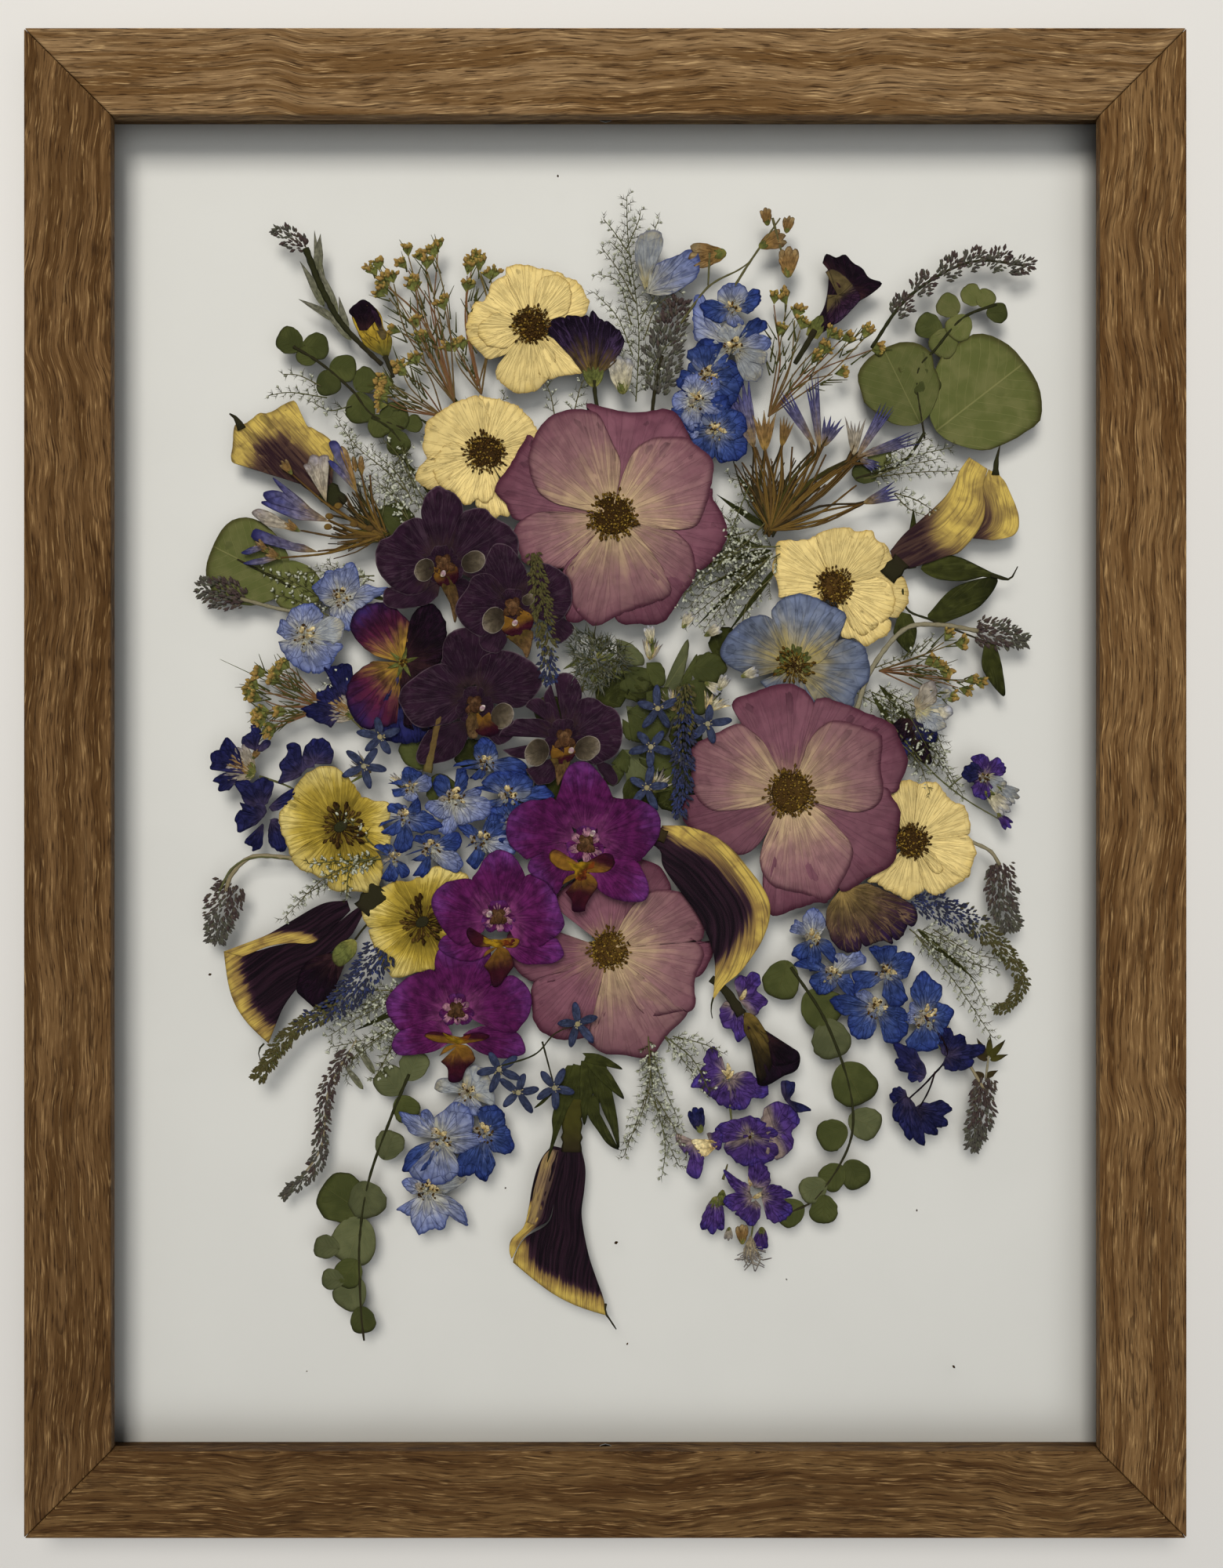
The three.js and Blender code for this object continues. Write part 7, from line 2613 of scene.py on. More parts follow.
    FloretCluster("larkspur_bottom", [(PURPLE_FOOT.at(330, 770), span(14), purple)],
        [trace(935, 1420, 938, 1450), trace(926, 1518, 932, 1498), trace(968, 1560, 962, 1600)],
        [(PURPLE_FOOT.at(165, 1050), 17, -97, purple), (PURPLE_FOOT.at(195, 1020), 8, -100, Finish.SEPAL),
            (PURPLE_FOOT.at(285, 1270), 9, 92, Finish.GOLD_PETAL),
            (PURPLE_FOOT.at(375, 1190), 11, -95, purple),
            (PURPLE_FOOT.at(225, 1190), 6, -95, Finish.DRY_PETAL),
            (PURPLE_FOOT.at(95, 760), 12, 105, navy)], [(purple, PURPLE_FOOT.at(270, 150),
            PURPLE_FOOT.trace(280, 150, 255, 100, 248, 65, 275, 35, 300, 45, 325, 20, 360, 30, 370, 70,
                352, 110, 405, 155, 370, 190, 340, 225, 300, 190)),
            (purple, PURPLE_FOOT.at(265, 170), PURPLE_FOOT.trace(270, 180, 300, 250, 302, 312, 260, 342,
                    238, 290, 196, 272, 178, 210, 205, 158, 240, 155)),
            (purple, PURPLE_FOOT.at(215, 490), PURPLE_FOOT.trace(200, 500, 160, 560, 138, 595, 90, 555,
                    50, 550, 60, 520, 100, 460, 112, 400, 150, 362, 190, 410, 200, 460)),
            (purple, PURPLE_FOOT.at(215, 510), PURPLE_FOOT.trace(200, 510, 250, 580, 290, 620, 290, 655,
                    200, 640, 150, 600, 135, 560, 160, 540)),
            (purple, PURPLE_FOOT.at(230, 510), PURPLE_FOOT.trace(230, 500, 270, 480, 320, 478, 350, 510,
                    405, 545, 385, 600, 330, 600, 300, 650, 240, 640, 215, 570)),
            (purple, PURPLE_FOOT.at(420, 750), PURPLE_FOOT.trace(380, 780, 370, 700, 392, 640, 450, 615,
                    520, 650, 548, 710, 512, 755, 520, 820, 450, 880, 390, 850)),
            (purple, PURPLE_FOOT.at(320, 775),
                PURPLE_FOOT.trace(310, 780, 230, 800, 190, 800, 158, 765, 170, 725, 225, 700, 290, 690)),
            (purple, PURPLE_FOOT.at(320, 775),
                PURPLE_FOOT.trace(310, 770, 270, 700, 330, 680, 400, 720, 450, 760, 400, 800)),
            (purple, PURPLE_FOOT.at(320, 775), PURPLE_FOOT.trace(320, 780, 420, 790, 450, 850, 380, 905,
                    290, 908, 220, 860, 200, 810, 260, 790)),
            (purple, PURPLE_FOOT.at(340, 1010), PURPLE_FOOT.trace(345, 1020, 312, 970, 318, 890, 350, 868,
                    390, 905, 412, 960, 405, 1010)), (purple, PURPLE_FOOT.at(320, 1030),
                PURPLE_FOOT.trace(320, 1030, 260, 1030, 220, 985, 200, 925, 260, 965, 320, 1000)),
            (purple, PURPLE_FOOT.at(330, 1050),
                PURPLE_FOOT.trace(330, 1060, 300, 1110, 230, 1112, 196, 1060, 250, 1030, 320, 1030)),
            (purple, PURPLE_FOOT.at(340, 1070), PURPLE_FOOT.trace(340, 1060, 370, 1100, 350, 1170,
                    320, 1185, 270, 1140, 250, 1125, 300, 1080)),
            (purple, PURPLE_FOOT.at(370, 1050), PURPLE_FOOT.trace(370, 1060, 400, 1030, 450, 1050,
                    510, 1090, 505, 1130, 440, 1172, 395, 1150)),
            (purple, PURPLE_FOOT.at(370, 1040),
                PURPLE_FOOT.trace(370, 1050, 380, 1010, 440, 995, 518, 1040, 470, 1060)),
            (navy, PURPLE_FOOT.at(480, 610), PURPLE_FOOT.trace(480, 610, 462, 570, 465, 520, 520, 525,
                    520, 570, 505, 605, 560, 625, 600, 655, 530, 665)),
            (purple, PURPLE_FOOT.at(60, 800), PURPLE_FOOT.trace(90, 830, 110, 880, 80, 968, 25, 930,
                    60, 880, 0, 830, -20, 760, 50, 785)),
            (purple, PURPLE_FOOT.at(130, 790), PURPLE_FOOT.trace(120, 760, 185, 750, 188, 830, 150, 830)),
            (Finish.CREAM_SCALE, PURPLE_FOOT.at(170, 810),
                PURPLE_FOOT.trace(168, 820, 110, 868, 80, 840, 50, 790, 110, 785, 160, 790))]).build()
    foot = Pressed("larkspur_foot", "larkspur_bottom", 0.2)
    for number in range(46):
        aim = -90 + foot.rng.uniform(-34, 34)
        start = polar(PURPLE_FOOT.at(320, 1230), foot.rng.uniform(0, 7), -90 + foot.rng.uniform(-30, 30))
        foot.stem([start, polar(start, 5, aim),
            polar(start, foot.rng.uniform(7, 11), aim + foot.rng.uniform(-40, 40))], 0.8,
            Finish.DRY_PETAL, 0.5, foot.rng.uniform(0, 0.3), 5, 6)
    for spot, length, aim in ((PURPLE_FOOT.at(215, 500), 6, 70), (PURPLE_FOOT.at(225, 505), 5, 120),
            (PURPLE_FOOT.at(210, 510), 5, 30), (PURPLE_FOOT.at(330, 1055), 6, 10),
            (PURPLE_FOOT.at(320, 1005), 5, 80), (PURPLE_FOOT.at(270, 150), 6, 40)):
        foot.petal(spot, aim, length, length * 0.4, Finish.CREAM_SCALE, PetalForm.OVAL, 0.35, CRINKLED,
            0.3, 0.1, 4, 20)
    foot.build()
    FloretCluster("delphinium_blue_left", [(at(652, 1052), span(32), blue)],
        drawn=[(BLUE_LEFT.at(160, 980), span(13), [
                (blue, BLUE_LEFT.trace(0, 890, 60, 868, 150, 880, 160, 940, 60, 950)),
                (blue, BLUE_LEFT.trace(60, 1060, 120, 1010, 190, 1060, 200, 1130, 150, 1180, 60, 1150)),
                (blue, BLUE_LEFT.trace(190, 1010, 260, 1030, 300, 1100, 240, 1150, 190, 1090))]),
            (BLUE_LEFT.at(250, 640), span(13), [(blue, BLUE_LEFT.trace(170, 790, 200, 720, 260, 700,
                        322, 790, 315, 880, 270, 925, 200, 935, 158, 880)),
                    (blue, BLUE_LEFT.trace(36, 730, 70, 688, 150, 678, 240, 660, 280, 720, 180, 792,
                            110, 792, 58, 770)), (blue, BLUE_LEFT.trace(108, 600, 118, 550, 180, 528,
                            260, 550, 280, 620, 200, 650, 140, 642)),
                    (blue, BLUE_LEFT.trace(270, 600, 300, 550, 350, 488, 384, 500, 386, 600, 330, 660)),
                    (blue, BLUE_LEFT.trace(270, 640, 370, 598, 430, 600, 522, 668, 566, 722, 480, 755,
                            400, 775, 325, 765, 270, 700))]),
            (BLUE_LEFT.at(300, 400), span(11), [
                    (pale, BLUE_LEFT.trace(250, 440, 330, 420, 366, 490, 300, 525, 245, 490)),
                    (blue, BLUE_LEFT.trace(128, 375, 200, 345, 290, 380, 290, 450, 180, 485, 148, 420)),
                    (blue, BLUE_LEFT.trace(218, 370, 238, 270, 280, 228, 330, 250, 398, 300, 360, 370,
                            300, 410)), (pale, BLUE_LEFT.trace(320, 360, 400, 308, 442, 298, 484, 370,
                            452, 432, 400, 445, 320, 430))]),
            (BLUE_LEFT.at(470, 900), span(14), [(blue, BLUE_LEFT.trace(310, 1040, 360, 1000, 450, 960,
                        470, 1040, 450, 1105, 400, 1135, 318, 1125)),
                    (blue, BLUE_LEFT.trace(250, 965, 330, 928, 440, 900, 460, 970, 400, 1004, 300, 1004)),
                    (blue, BLUE_LEFT.trace(318, 835, 350, 798, 450, 788, 545, 800, 520, 880, 430, 900,
                            340, 880)), (pale, BLUE_LEFT.trace(470, 920, 540, 880, 640, 915, 702, 960,
                            733, 1040, 682, 1098, 620, 1084, 540, 1044, 480, 980)),
                    (blue, BLUE_LEFT.trace(490, 870, 600, 788, 690, 768, 722, 830, 704, 900, 650, 935,
                            540, 920))]), (BLUE_LEFT.at(920, 200), span(13),
                [(blue, BLUE_LEFT.trace(648, 237, 690, 203, 780, 178, 900, 200, 880, 250, 800, 255,
                        700, 250)),
                    (blue, BLUE_LEFT.trace(760, 250, 880, 220, 920, 280, 900, 320, 850, 343, 782, 330)),
                    (blue, BLUE_LEFT.trace(940, 220, 1060, 163, 1130, 153, 1202, 180, 1254, 232,
                            1242, 300, 1150, 310, 1000, 290)),
                    (blue, BLUE_LEFT.trace(850, 200, 818, 130, 828, 60, 870, 8, 922, -3, 972, 30,
                            1012, 100, 1014, 165, 950, 210))]),
            (BLUE_LEFT.at(1100, 480), span(16), [(blue, BLUE_LEFT.trace(1180, 520, 1290, 440, 1330, 388,
                        1400, 388, 1464, 450, 1464, 492, 1380, 504, 1260, 540)),
                    (blue, BLUE_LEFT.trace(820, 410, 900, 388, 1000, 400, 1080, 470, 1040, 560, 960, 555,
                            890, 520)), (blue, BLUE_LEFT.trace(1060, 440, 960, 400, 888, 382, 920, 318,
                            1000, 278, 1100, 268, 1222, 288, 1294, 338, 1304, 400, 1272, 472,
                            1200, 510))]), (BLUE_LEFT.at(880, 840), span(16),
                [(blue, BLUE_LEFT.trace(820, 840, 750, 800, 688, 722, 760, 698, 832, 738, 880, 790)),
                    (blue, BLUE_LEFT.trace(748, 900, 800, 860, 900, 860, 924, 900, 904, 980, 852, 1064,
                            800, 1064, 758, 1000)), (pale, BLUE_LEFT.trace(900, 840, 1000, 788, 1092, 800,
                            1144, 880, 1154, 955, 1050, 925, 950, 955)),
                    (blue, BLUE_LEFT.trace(880, 800, 900, 718, 950, 628, 1040, 628, 1094, 680, 1094, 762,
                            1000, 830))]), (BLUE_LEFT.at(650, 500), span(19),
                [(pale, BLUE_LEFT.trace(508, 670, 570, 600, 650, 600, 690, 680, 684, 730, 642, 782,
                        580, 794, 528, 762)),
                    (blue, BLUE_LEFT.trace(640, 500, 530, 480, 488, 400, 498, 330, 560, 298, 620, 340)),
                    (blue, BLUE_LEFT.trace(660, 500, 680, 330, 680, 258, 742, 248, 774, 320, 764, 400,
                            720, 460)), (pale, BLUE_LEFT.trace(700, 500, 750, 440, 800, 418, 862, 398,
                            890, 440, 850, 492, 740, 560)),
                    (pale, BLUE_LEFT.trace(650, 560, 560, 560, 470, 508, 418, 560, 500, 642, 570, 667,
                            660, 645)), (pale, BLUE_LEFT.trace(660, 550, 720, 510, 800, 488, 880, 478,
                            942, 508, 964, 570, 944, 632, 882, 668, 800, 694, 700, 714,
                            660, 650))])]).build()
    trumpets = Pressed("navy_trumpets", "delphinium_blue_right", 0.5)
    trumpets.stem(trace(1189, 1302, 1219, 1350, 1196, 1385, 1168, 1412), 1.1, Finish.BLACK, 0.8)
    trumpets.stem(trace(1203, 1376, 1194, 1402, 1178, 1430), 0.9, Finish.BLACK, 0.7)
    for foot, tips in (
            (at(1217, 1356), trace(1222, 1318, 1244, 1332, 1270, 1350, 1252, 1370, 1228, 1376)),
            (at(1166, 1408), trace(1144, 1404, 1148, 1440, 1163, 1466, 1180, 1474)),
            (at(1176, 1424), trace(1224, 1430, 1216, 1450, 1200, 1462)),
            (at(1190, 1382), trace(1156, 1334, 1154, 1356, 1168, 1376))):
        for number, tip in enumerate(tips):
            trumpets.petal(foot, direction(foot, tip), distance(foot, tip), span(21), Finish.NAVY,
                PetalForm.OVAL, 0.1 + number * 0.08, CRINKLED, 0.12, 0.25, 6, 36)
    trumpets.build()
    FloretCluster("delphinium_blue_right", [], [trace(1189, 1302, 1200, 1330, 1217, 1356)],
        drawn=[(BLUE_RIGHT.at(150, 270), span(16), [
                (pale, BLUE_RIGHT.trace(60, 230, -40, 220, 0, 120, 60, 140, 150, 200)),
                (blue, BLUE_RIGHT.trace(100, 300, 20, 330, -30, 400, 20, 450, 110, 440, 170, 360)),
                (blue, BLUE_RIGHT.trace(120, 340, 190, 320, 225, 430, 205, 540, 130, 555, 98, 460)),
                (blue, BLUE_RIGHT.trace(190, 260, 280, 288, 342, 370, 366, 470, 330, 494, 250, 420,
                        180, 340)), (pale,
                    BLUE_RIGHT.trace(100, 240, 60, 130, 100, 38, 180, 18, 242, 80, 264, 160, 220, 240))]),
            (BLUE_RIGHT.at(320, 580), span(16), [
                    (blue, BLUE_RIGHT.trace(260, 560, -4, 510, 60, 438, 130, 418, 210, 470, 300, 540)),
                    (blue, BLUE_RIGHT.trace(360, 600, 460, 580, 504, 690, 492, 792, 420, 735, 370, 680)),
                    (blue, BLUE_RIGHT.trace(300, 560, 210, 560, 140, 590, 122, 640, 150, 702, 200, 754,
                            280, 744, 350, 690, 350, 620)),
                    (pale, BLUE_RIGHT.trace(330, 520, 350, 400, 450, 418, 540, 368, 604, 470, 520, 520,
                            400, 560))]), (BLUE_RIGHT.at(1110, 950), span(20),
                [(blue, BLUE_RIGHT.trace(1000, 1000, 1080, 1030, 1200, 1078, 1264, 1150, 1200, 1224,
                        1000, 1234, 938, 1150)),
                    (pale, BLUE_RIGHT.trace(1080, 960, 960, 1000, 985, 820, 1060, 845, 1120, 900)),
                    (blue, BLUE_RIGHT.trace(1080, 900, 980, 740, 1040, 600, 1100, 548, 1172, 618,
                            1254, 690, 1244, 780, 1180, 860)),
                    (blue, BLUE_RIGHT.trace(1130, 920, 1100, 830, 1230, 818, 1334, 868, 1354, 920,
                            1312, 1000, 1272, 1072, 1240, 1104, 1160, 1040))]),
            (BLUE_RIGHT.at(770, 560), span(16), [
                    (blue, BLUE_RIGHT.trace(740, 500, 630, 358, 760, 338, 864, 338, 864, 410, 820, 500)),
                    (blue, BLUE_RIGHT.trace(820, 540, 850, 400, 960, 393, 1019, 420, 994, 520, 964, 602,
                            900, 630)), (blue, BLUE_RIGHT.trace(720, 640, 780, 620, 900, 630, 944, 740,
                            964, 800, 900, 854, 820, 854, 740, 760)),
                    (blue, BLUE_RIGHT.trace(720, 560, 560, 548, 478, 570, 500, 650, 496, 752, 560, 712,
                            664, 690, 740, 620))]), (BLUE_RIGHT.at(690, 870), span(19),
                [(blue, BLUE_RIGHT.trace(800, 860, 880, 848, 964, 920, 974, 985, 870, 965, 760, 920)),
                    (blue, BLUE_RIGHT.trace(720, 960, 800, 930, 880, 978, 964, 1000, 944, 1110, 850, 1174,
                            756, 1144, 760, 1050)),
                    (pale, BLUE_RIGHT.trace(640, 850, 520, 790, 528, 738, 600, 716, 664, 756, 700, 830)),
                    (blue, BLUE_RIGHT.trace(620, 850, 570, 798, 480, 758, 360, 758, 298, 800, 350, 882,
                            420, 934, 520, 910, 620, 900)),
                    (blue, BLUE_RIGHT.trace(650, 900, 560, 880, 458, 930, 448, 1010, 500, 1114, 580, 1134,
                            654, 1114, 694, 1022, 690, 940))])]).build()
    fan = Pressed("fan_flower", "fan_flower")
    fan.stem(TOP.trace(968, 1000, 972, 1080, 985, 1170, 990, 1260), 2.0, Finish.DARK_STEM, 1.6)
    for number, outline in enumerate((TOP.trace(900, 960, 780, 800, 680, 700, 675, 650, 700, 605,
            760, 595, 830, 640, 900, 760, 940, 900),
            TOP.trace(930, 930, 850, 760, 780, 620, 800, 580, 880, 592, 935, 592, 960, 750, 955, 920),
            TOP.trace(1000, 930, 1080, 900, 1110, 870, 1160, 750, 1110, 665, 1040, 620, 1000, 700,
                980, 850), TOP.trace(950, 930, 920, 760, 935, 600, 950, 552, 975, 568, 990, 592,
                1040, 640, 1030, 760, 985, 920))):
        fan.blade(outline, TOP.at(960, 1000), Finish.FAN, 0.08 + number * 0.08, CRINKLED, 9, 48)
    for number, aim in enumerate((62, 78, 92, 106, 122)):
        fan.petal(TOP.at(965, 1045), aim, 10, 3.4, Finish.SEPAL, PetalForm.POINTED, 0.5 + number * 0.03)
    fan.build("fan_flower")
    pleated = Pressed("pleated_flower", "pleated_flower")
    for number, outline in enumerate((RIGHT.trace(230, 1010, 150, 1080, 110, 1200, 160, 1380, 270, 1460,
            370, 1420, 360, 1250, 290, 1080), RIGHT.trace(290, 1030, 330, 1200, 380, 1400, 450, 1400,
                520, 1370, 600, 1390, 560, 1260, 420, 1120),
            RIGHT.trace(300, 1020, 420, 1100, 560, 1240, 620, 1370, 700, 1290, 690, 1200, 560, 1080,
                400, 1000), RIGHT.trace(340, 1000, 500, 1060, 640, 1180, 740, 1270, 780, 1170, 720, 1090,
                560, 1010, 420, 950))):
        pleated.blade(outline, RIGHT.at(230, 985), Finish.PLEATED, 0.1 + number * 0.09, CRINKLED, 9, 48)
    pleated.build("pleated_flower")
    pansy = Pressed("pansy", "pansy")
    for number, (finish, outline) in enumerate((
            (Finish.NAVY, trace(500, 880, 470, 900, 480, 940, 530, 945, 548, 910)),
            (Finish.BLACK, trace(520, 830, 560, 850, 566, 900, 548, 928, 510, 925, 500, 880)),
            (Finish.PANSY, trace(500, 850, 470, 840, 438, 866, 436, 900, 460, 928, 500, 922)),
            (Finish.PANSY, trace(512, 840, 470, 832, 440, 800, 450, 772, 486, 764, 520, 790)),
            (Finish.BLACK, trace(510, 838, 520, 780, 548, 766, 566, 800, 556, 842, 530, 852)))):
        pansy.blade(outline, at(508, 842), finish, 0.1 + number * 0.09, CRINKLED, 9, 48)
    for number, aim in enumerate((20, 75, 140, 200, 250, 300)):
        pansy.petal(at(508, 842), aim, 8, 2.0, Finish.SEPAL, PetalForm.LANCE, 0.6 + number * 0.03)
    disc_of_stamens(pansy, at(508, 842), 1.8, Finish.STAMEN, 0.7, 1.4, 24, 18)
    pansy.build("pansy")


def callas() -> None:
    """Lays down the callas."""
    dark, yellow = Finish.DARK_SPATHE, Finish.YELLOW_SPATHE
    Calla("calla_bottom", [(dark,
            LOW_CALLA.trace(590, 340, 560, 520, 520, 680, 480, 850, 330, 950, 262, 1060, 250, 1110),
            LOW_CALLA.trace(680, 350, 714, 500, 708, 640, 690, 780, 702, 900, 735, 1060, 780, 1200,
                830, 1340, 850, 1450),
            LOW_CALLA.trace(240, 1040, 262, 1140, 370, 1250, 480, 1310, 620, 1375, 740, 1420, 850, 1450),
            13, 4), (dark, LOW_CALLA.trace(500, 360, 440, 430, 400, 520, 370, 640, 350, 760, 318, 880,
                    240, 960, 226, 1030, 240, 1085), LOW_CALLA.trace(585, 380, 584, 450, 556, 590,
                    515, 720, 478, 838, 400, 885, 330, 940, 285, 1000, 250, 1075),
                LOW_CALLA.trace(360, 790, 290, 900, 232, 980, 235, 1070), 9, 0),
            (Finish.TAN_SPATHE,
                LOW_CALLA.trace(490, 380, 440, 440, 412, 540, 385, 640, 365, 760, 340, 850),
                LOW_CALLA.trace(545, 390, 530, 470, 505, 580, 470, 690, 440, 790, 400, 870),
                LOW_CALLA.trace(480, 420, 430, 560, 395, 700, 360, 850), 5, 0)],
        [(Finish.OLIVE_STEM, LOW_CALLA.trace(640, 60, 630, 200, 625, 400), span(26), span(26)),
            (Finish.DARK_STEM, LOW_CALLA.trace(845, 1375, 842, 1430, 880, 1490, 912, 1540), 1.2, 0.6)],
        [(Finish.DARK_LEAF, at(731, 1368),
            trace(722, 1368, 708, 1392, 708, 1425, 707, 1457, 716, 1428, 728, 1398, 738, 1372)),
            (Finish.DARK_LEAF, at(738, 1368),
                trace(730, 1366, 720, 1400, 722, 1436, 727, 1465, 737, 1430, 746, 1396, 748, 1366)),
            (Finish.DARK_LEAF, at(750, 1362),
                trace(740, 1362, 738, 1400, 744, 1447, 754, 1410, 762, 1384, 762, 1360)),
            (Finish.DARK_LEAF, at(758, 1362),
                trace(748, 1362, 752, 1392, 763, 1419, 768, 1396, 770, 1360)),
            (Finish.DARK_LEAF, at(762, 1366),
                trace(754, 1368, 766, 1420, 779, 1450, 790, 1478, 788, 1440, 780, 1398, 772, 1362)),
            (Finish.DARK_LEAF, LOW_CALLA.at(600, 20), LOW_CALLA.trace(540, 20, 500, 180, 505, 270,
                    480, 400, 468, 470, 500, 390, 545, 270, 600, 130, 640, 60)),
            (Finish.DARK_LEAF, at(752, 1360),
                trace(748, 1356, 764, 1362, 780, 1380, 797, 1412, 774, 1396, 756, 1378, 746, 1366)),
            (Finish.DARK_LEAF, LOW_CALLA.at(750, 40), LOW_CALLA.trace(740, 50, 730, 160, 800, 270,
                    860, 350, 935, 388, 850, 320, 815, 200, 800, 80, 770, 30)),
            (Finish.DARK_LEAF, at(746, 1356),
                trace(742, 1352, 758, 1352, 774, 1358, 795, 1373, 772, 1369, 756, 1366, 744, 1362)),
            (Finish.DARK_LEAF, LOW_CALLA.at(510, 20),
                LOW_CALLA.trace(500, 30, 440, 90, 385, 116, 450, 50, 500, 0))]).build()
    Calla("calla_left", [(dark, LEFT_CALLA.trace(1390, 190, 1290, 260, 1080, 430, 930, 525, 760, 530,
                600, 560, 400, 612, 162, 608), LEFT_CALLA.trace(1395, 290, 1290, 470, 1130, 600, 950, 790,
                800, 950, 700, 1090, 640, 1220, 560, 1425),
            LEFT_CALLA.trace(160, 610, 150, 800, 190, 900, 290, 1180, 390, 1310, 490, 1430, 580, 1420),
            14, 6), (dark, LEFT_CALLA.trace(1260, 150, 1040, 180, 750, 340, 550, 455, 350, 535, 160, 606),
                LEFT_CALLA.trace(1290, 240, 1180, 350, 970, 522, 760, 530, 560, 560, 330, 655),
                LEFT_CALLA.trace(930, 525, 760, 500, 560, 520, 330, 590, 160, 610), 6, 0)],
        [(Finish.DARK_STEM, LEFT_CALLA.trace(1568, 40, 1390, 240), span(34), span(24)),
            (Finish.DARK_STEM, LEFT_CALLA.trace(520, 1425, 470, 1490, 485, 1568), 1.0, 0.4),
            (Finish.DARK_STEM, LEFT_CALLA.trace(1560, 240, 1410, 395, 1330, 500), 1.0, 1.0)],
        [(Finish.BLACK, LEFT_CALLA.at(1180, 640), LEFT_CALLA.trace(1110, 620, 980, 650, 870, 730,
                820, 860, 810, 960, 860, 1010, 960, 1100, 1040, 1140, 1120, 1130, 1160, 1060, 1150, 950,
                1200, 820, 1240, 720)), (Finish.SEPAL, LEFT_CALLA.at(1330, 500),
                LEFT_CALLA.trace(1300, 490, 1210, 520, 1140, 590, 1130, 680, 1190, 740, 1270, 700,
                    1340, 620, 1350, 530))]).build()
    Calla("calla_middle", [(dark, MIDDLE_CALLA.trace(85, 290, 140, 340, 150, 430, 200, 520, 290, 640,
                400, 790, 470, 920, 520, 1050, 545, 1150, 550, 1260, 535, 1450),
            MIDDLE_CALLA.trace(150, 140, 240, 140, 330, 145, 450, 180, 580, 240, 700, 340, 800, 460,
                900, 590, 962, 720, 962, 850, 920, 980, 860, 1090, 740, 1250, 620, 1350, 540, 1455),
            MIDDLE_CALLA.trace(330, 145, 450, 180, 580, 240, 700, 340, 800, 460, 900, 590, 962, 720,
                962, 850, 920, 980, 860, 1090, 740, 1250, 620, 1350, 540, 1455), 16, 0)],
        [(Finish.DARK_STEM, MIDDLE_CALLA.trace(538, 1440, 520, 1520, 530, 1600), 0.9, 0.4),
            (Finish.OLIVE_STEM, MIDDLE_CALLA.trace(100, 200, 180, 230), span(20), span(16))]).build()
    Calla("calla_right", [(yellow,
            RIGHT_CALLA.trace(960, 1090, 1060, 930, 1080, 750, 1060, 560, 1120, 380),
            RIGHT_CALLA.trace(1170, 1110, 1390, 1050, 1430, 860, 1310, 550, 1230, 440),
            RIGHT_CALLA.trace(1390, 1050, 1430, 860, 1310, 550, 1200, 430), 20, 0),
            (yellow,
                RIGHT_CALLA.trace(110, 1220, 250, 1050, 400, 920, 640, 700, 760, 540, 820, 400, 920, 258),
                RIGHT_CALLA.trace(180, 1430, 480, 1350, 700, 1270, 810, 1240, 960, 1085, 1060, 920,
                    1085, 750, 1064, 560, 1110, 380),
                RIGHT_CALLA.trace(930, 280, 930, 500, 880, 760, 820, 960), 22, 0)],
        [(Finish.DARK_STEM, RIGHT_CALLA.trace(1190, 440, 1200, 300, 1238, 140), 3.4, 0.5),
            (Finish.DARK_STEM, trace(1140, 730, 1160, 708), span(24), span(24))]).build()
    Calla("calla_top_left", [], [
            (Finish.DARK_STEM, TOP_CALLA.trace(240, 420, 190, 320, 130, 250, 90, 232), 4.2, 0.7),
            (Finish.DARK_STEM, TOP_CALLA.trace(1250, 1150, 1450, 1350), span(30), span(24))],
        spread=(yellow, TOP_CALLA.at(1250, 1180), TOP_CALLA.trace(1180, 1230, 1000, 1130, 850, 1000,
                700, 940, 550, 870, 400, 850, 250, 840, 115, 810, 130, 600, 150, 370, 280, 350, 450, 230,
                540, 230, 680, 160, 830, 80, 890, 92, 960, 240, 1030, 380, 1100, 410, 1330, 580,
                1340, 900, 1330, 1100),
            TOP_CALLA.trace(115, 760, 120, 480, 400, 320, 800, 180, 1080, 400, 1320, 640), 17)).build()
    Calla("calla_small_top_right", [(dark, trace(1040, 404, 1058, 376, 1064, 340, 1060, 309),
            trace(1050, 414, 1072, 398, 1100, 372, 1129, 350), trace(1120, 340, 1129, 350), 0.5, 3)],
        [(Finish.DARK_STEM, trace(1020, 450, 1036, 424, 1046, 406), 2.2, 3.0)],
        [(Finish.SEPAL, at(1042, 416), trace(1034, 412, 1040, 396, 1056, 386, 1058, 404, 1050, 418)),
            (Finish.BLACK, at(1084, 352), trace(1056, 318, 1061, 306, 1074, 311, 1086, 307, 1096, 318,
                    1108, 325, 1118, 338, 1134, 344, 1124, 356, 1108, 366, 1096, 372, 1084, 360,
                    1070, 338)), (Finish.WINE, at(1076, 360),
                trace(1060, 330, 1070, 326, 1086, 336, 1098, 350, 1106, 364, 1092, 382, 1074, 398,
                    1062, 392, 1062, 360))]).build()
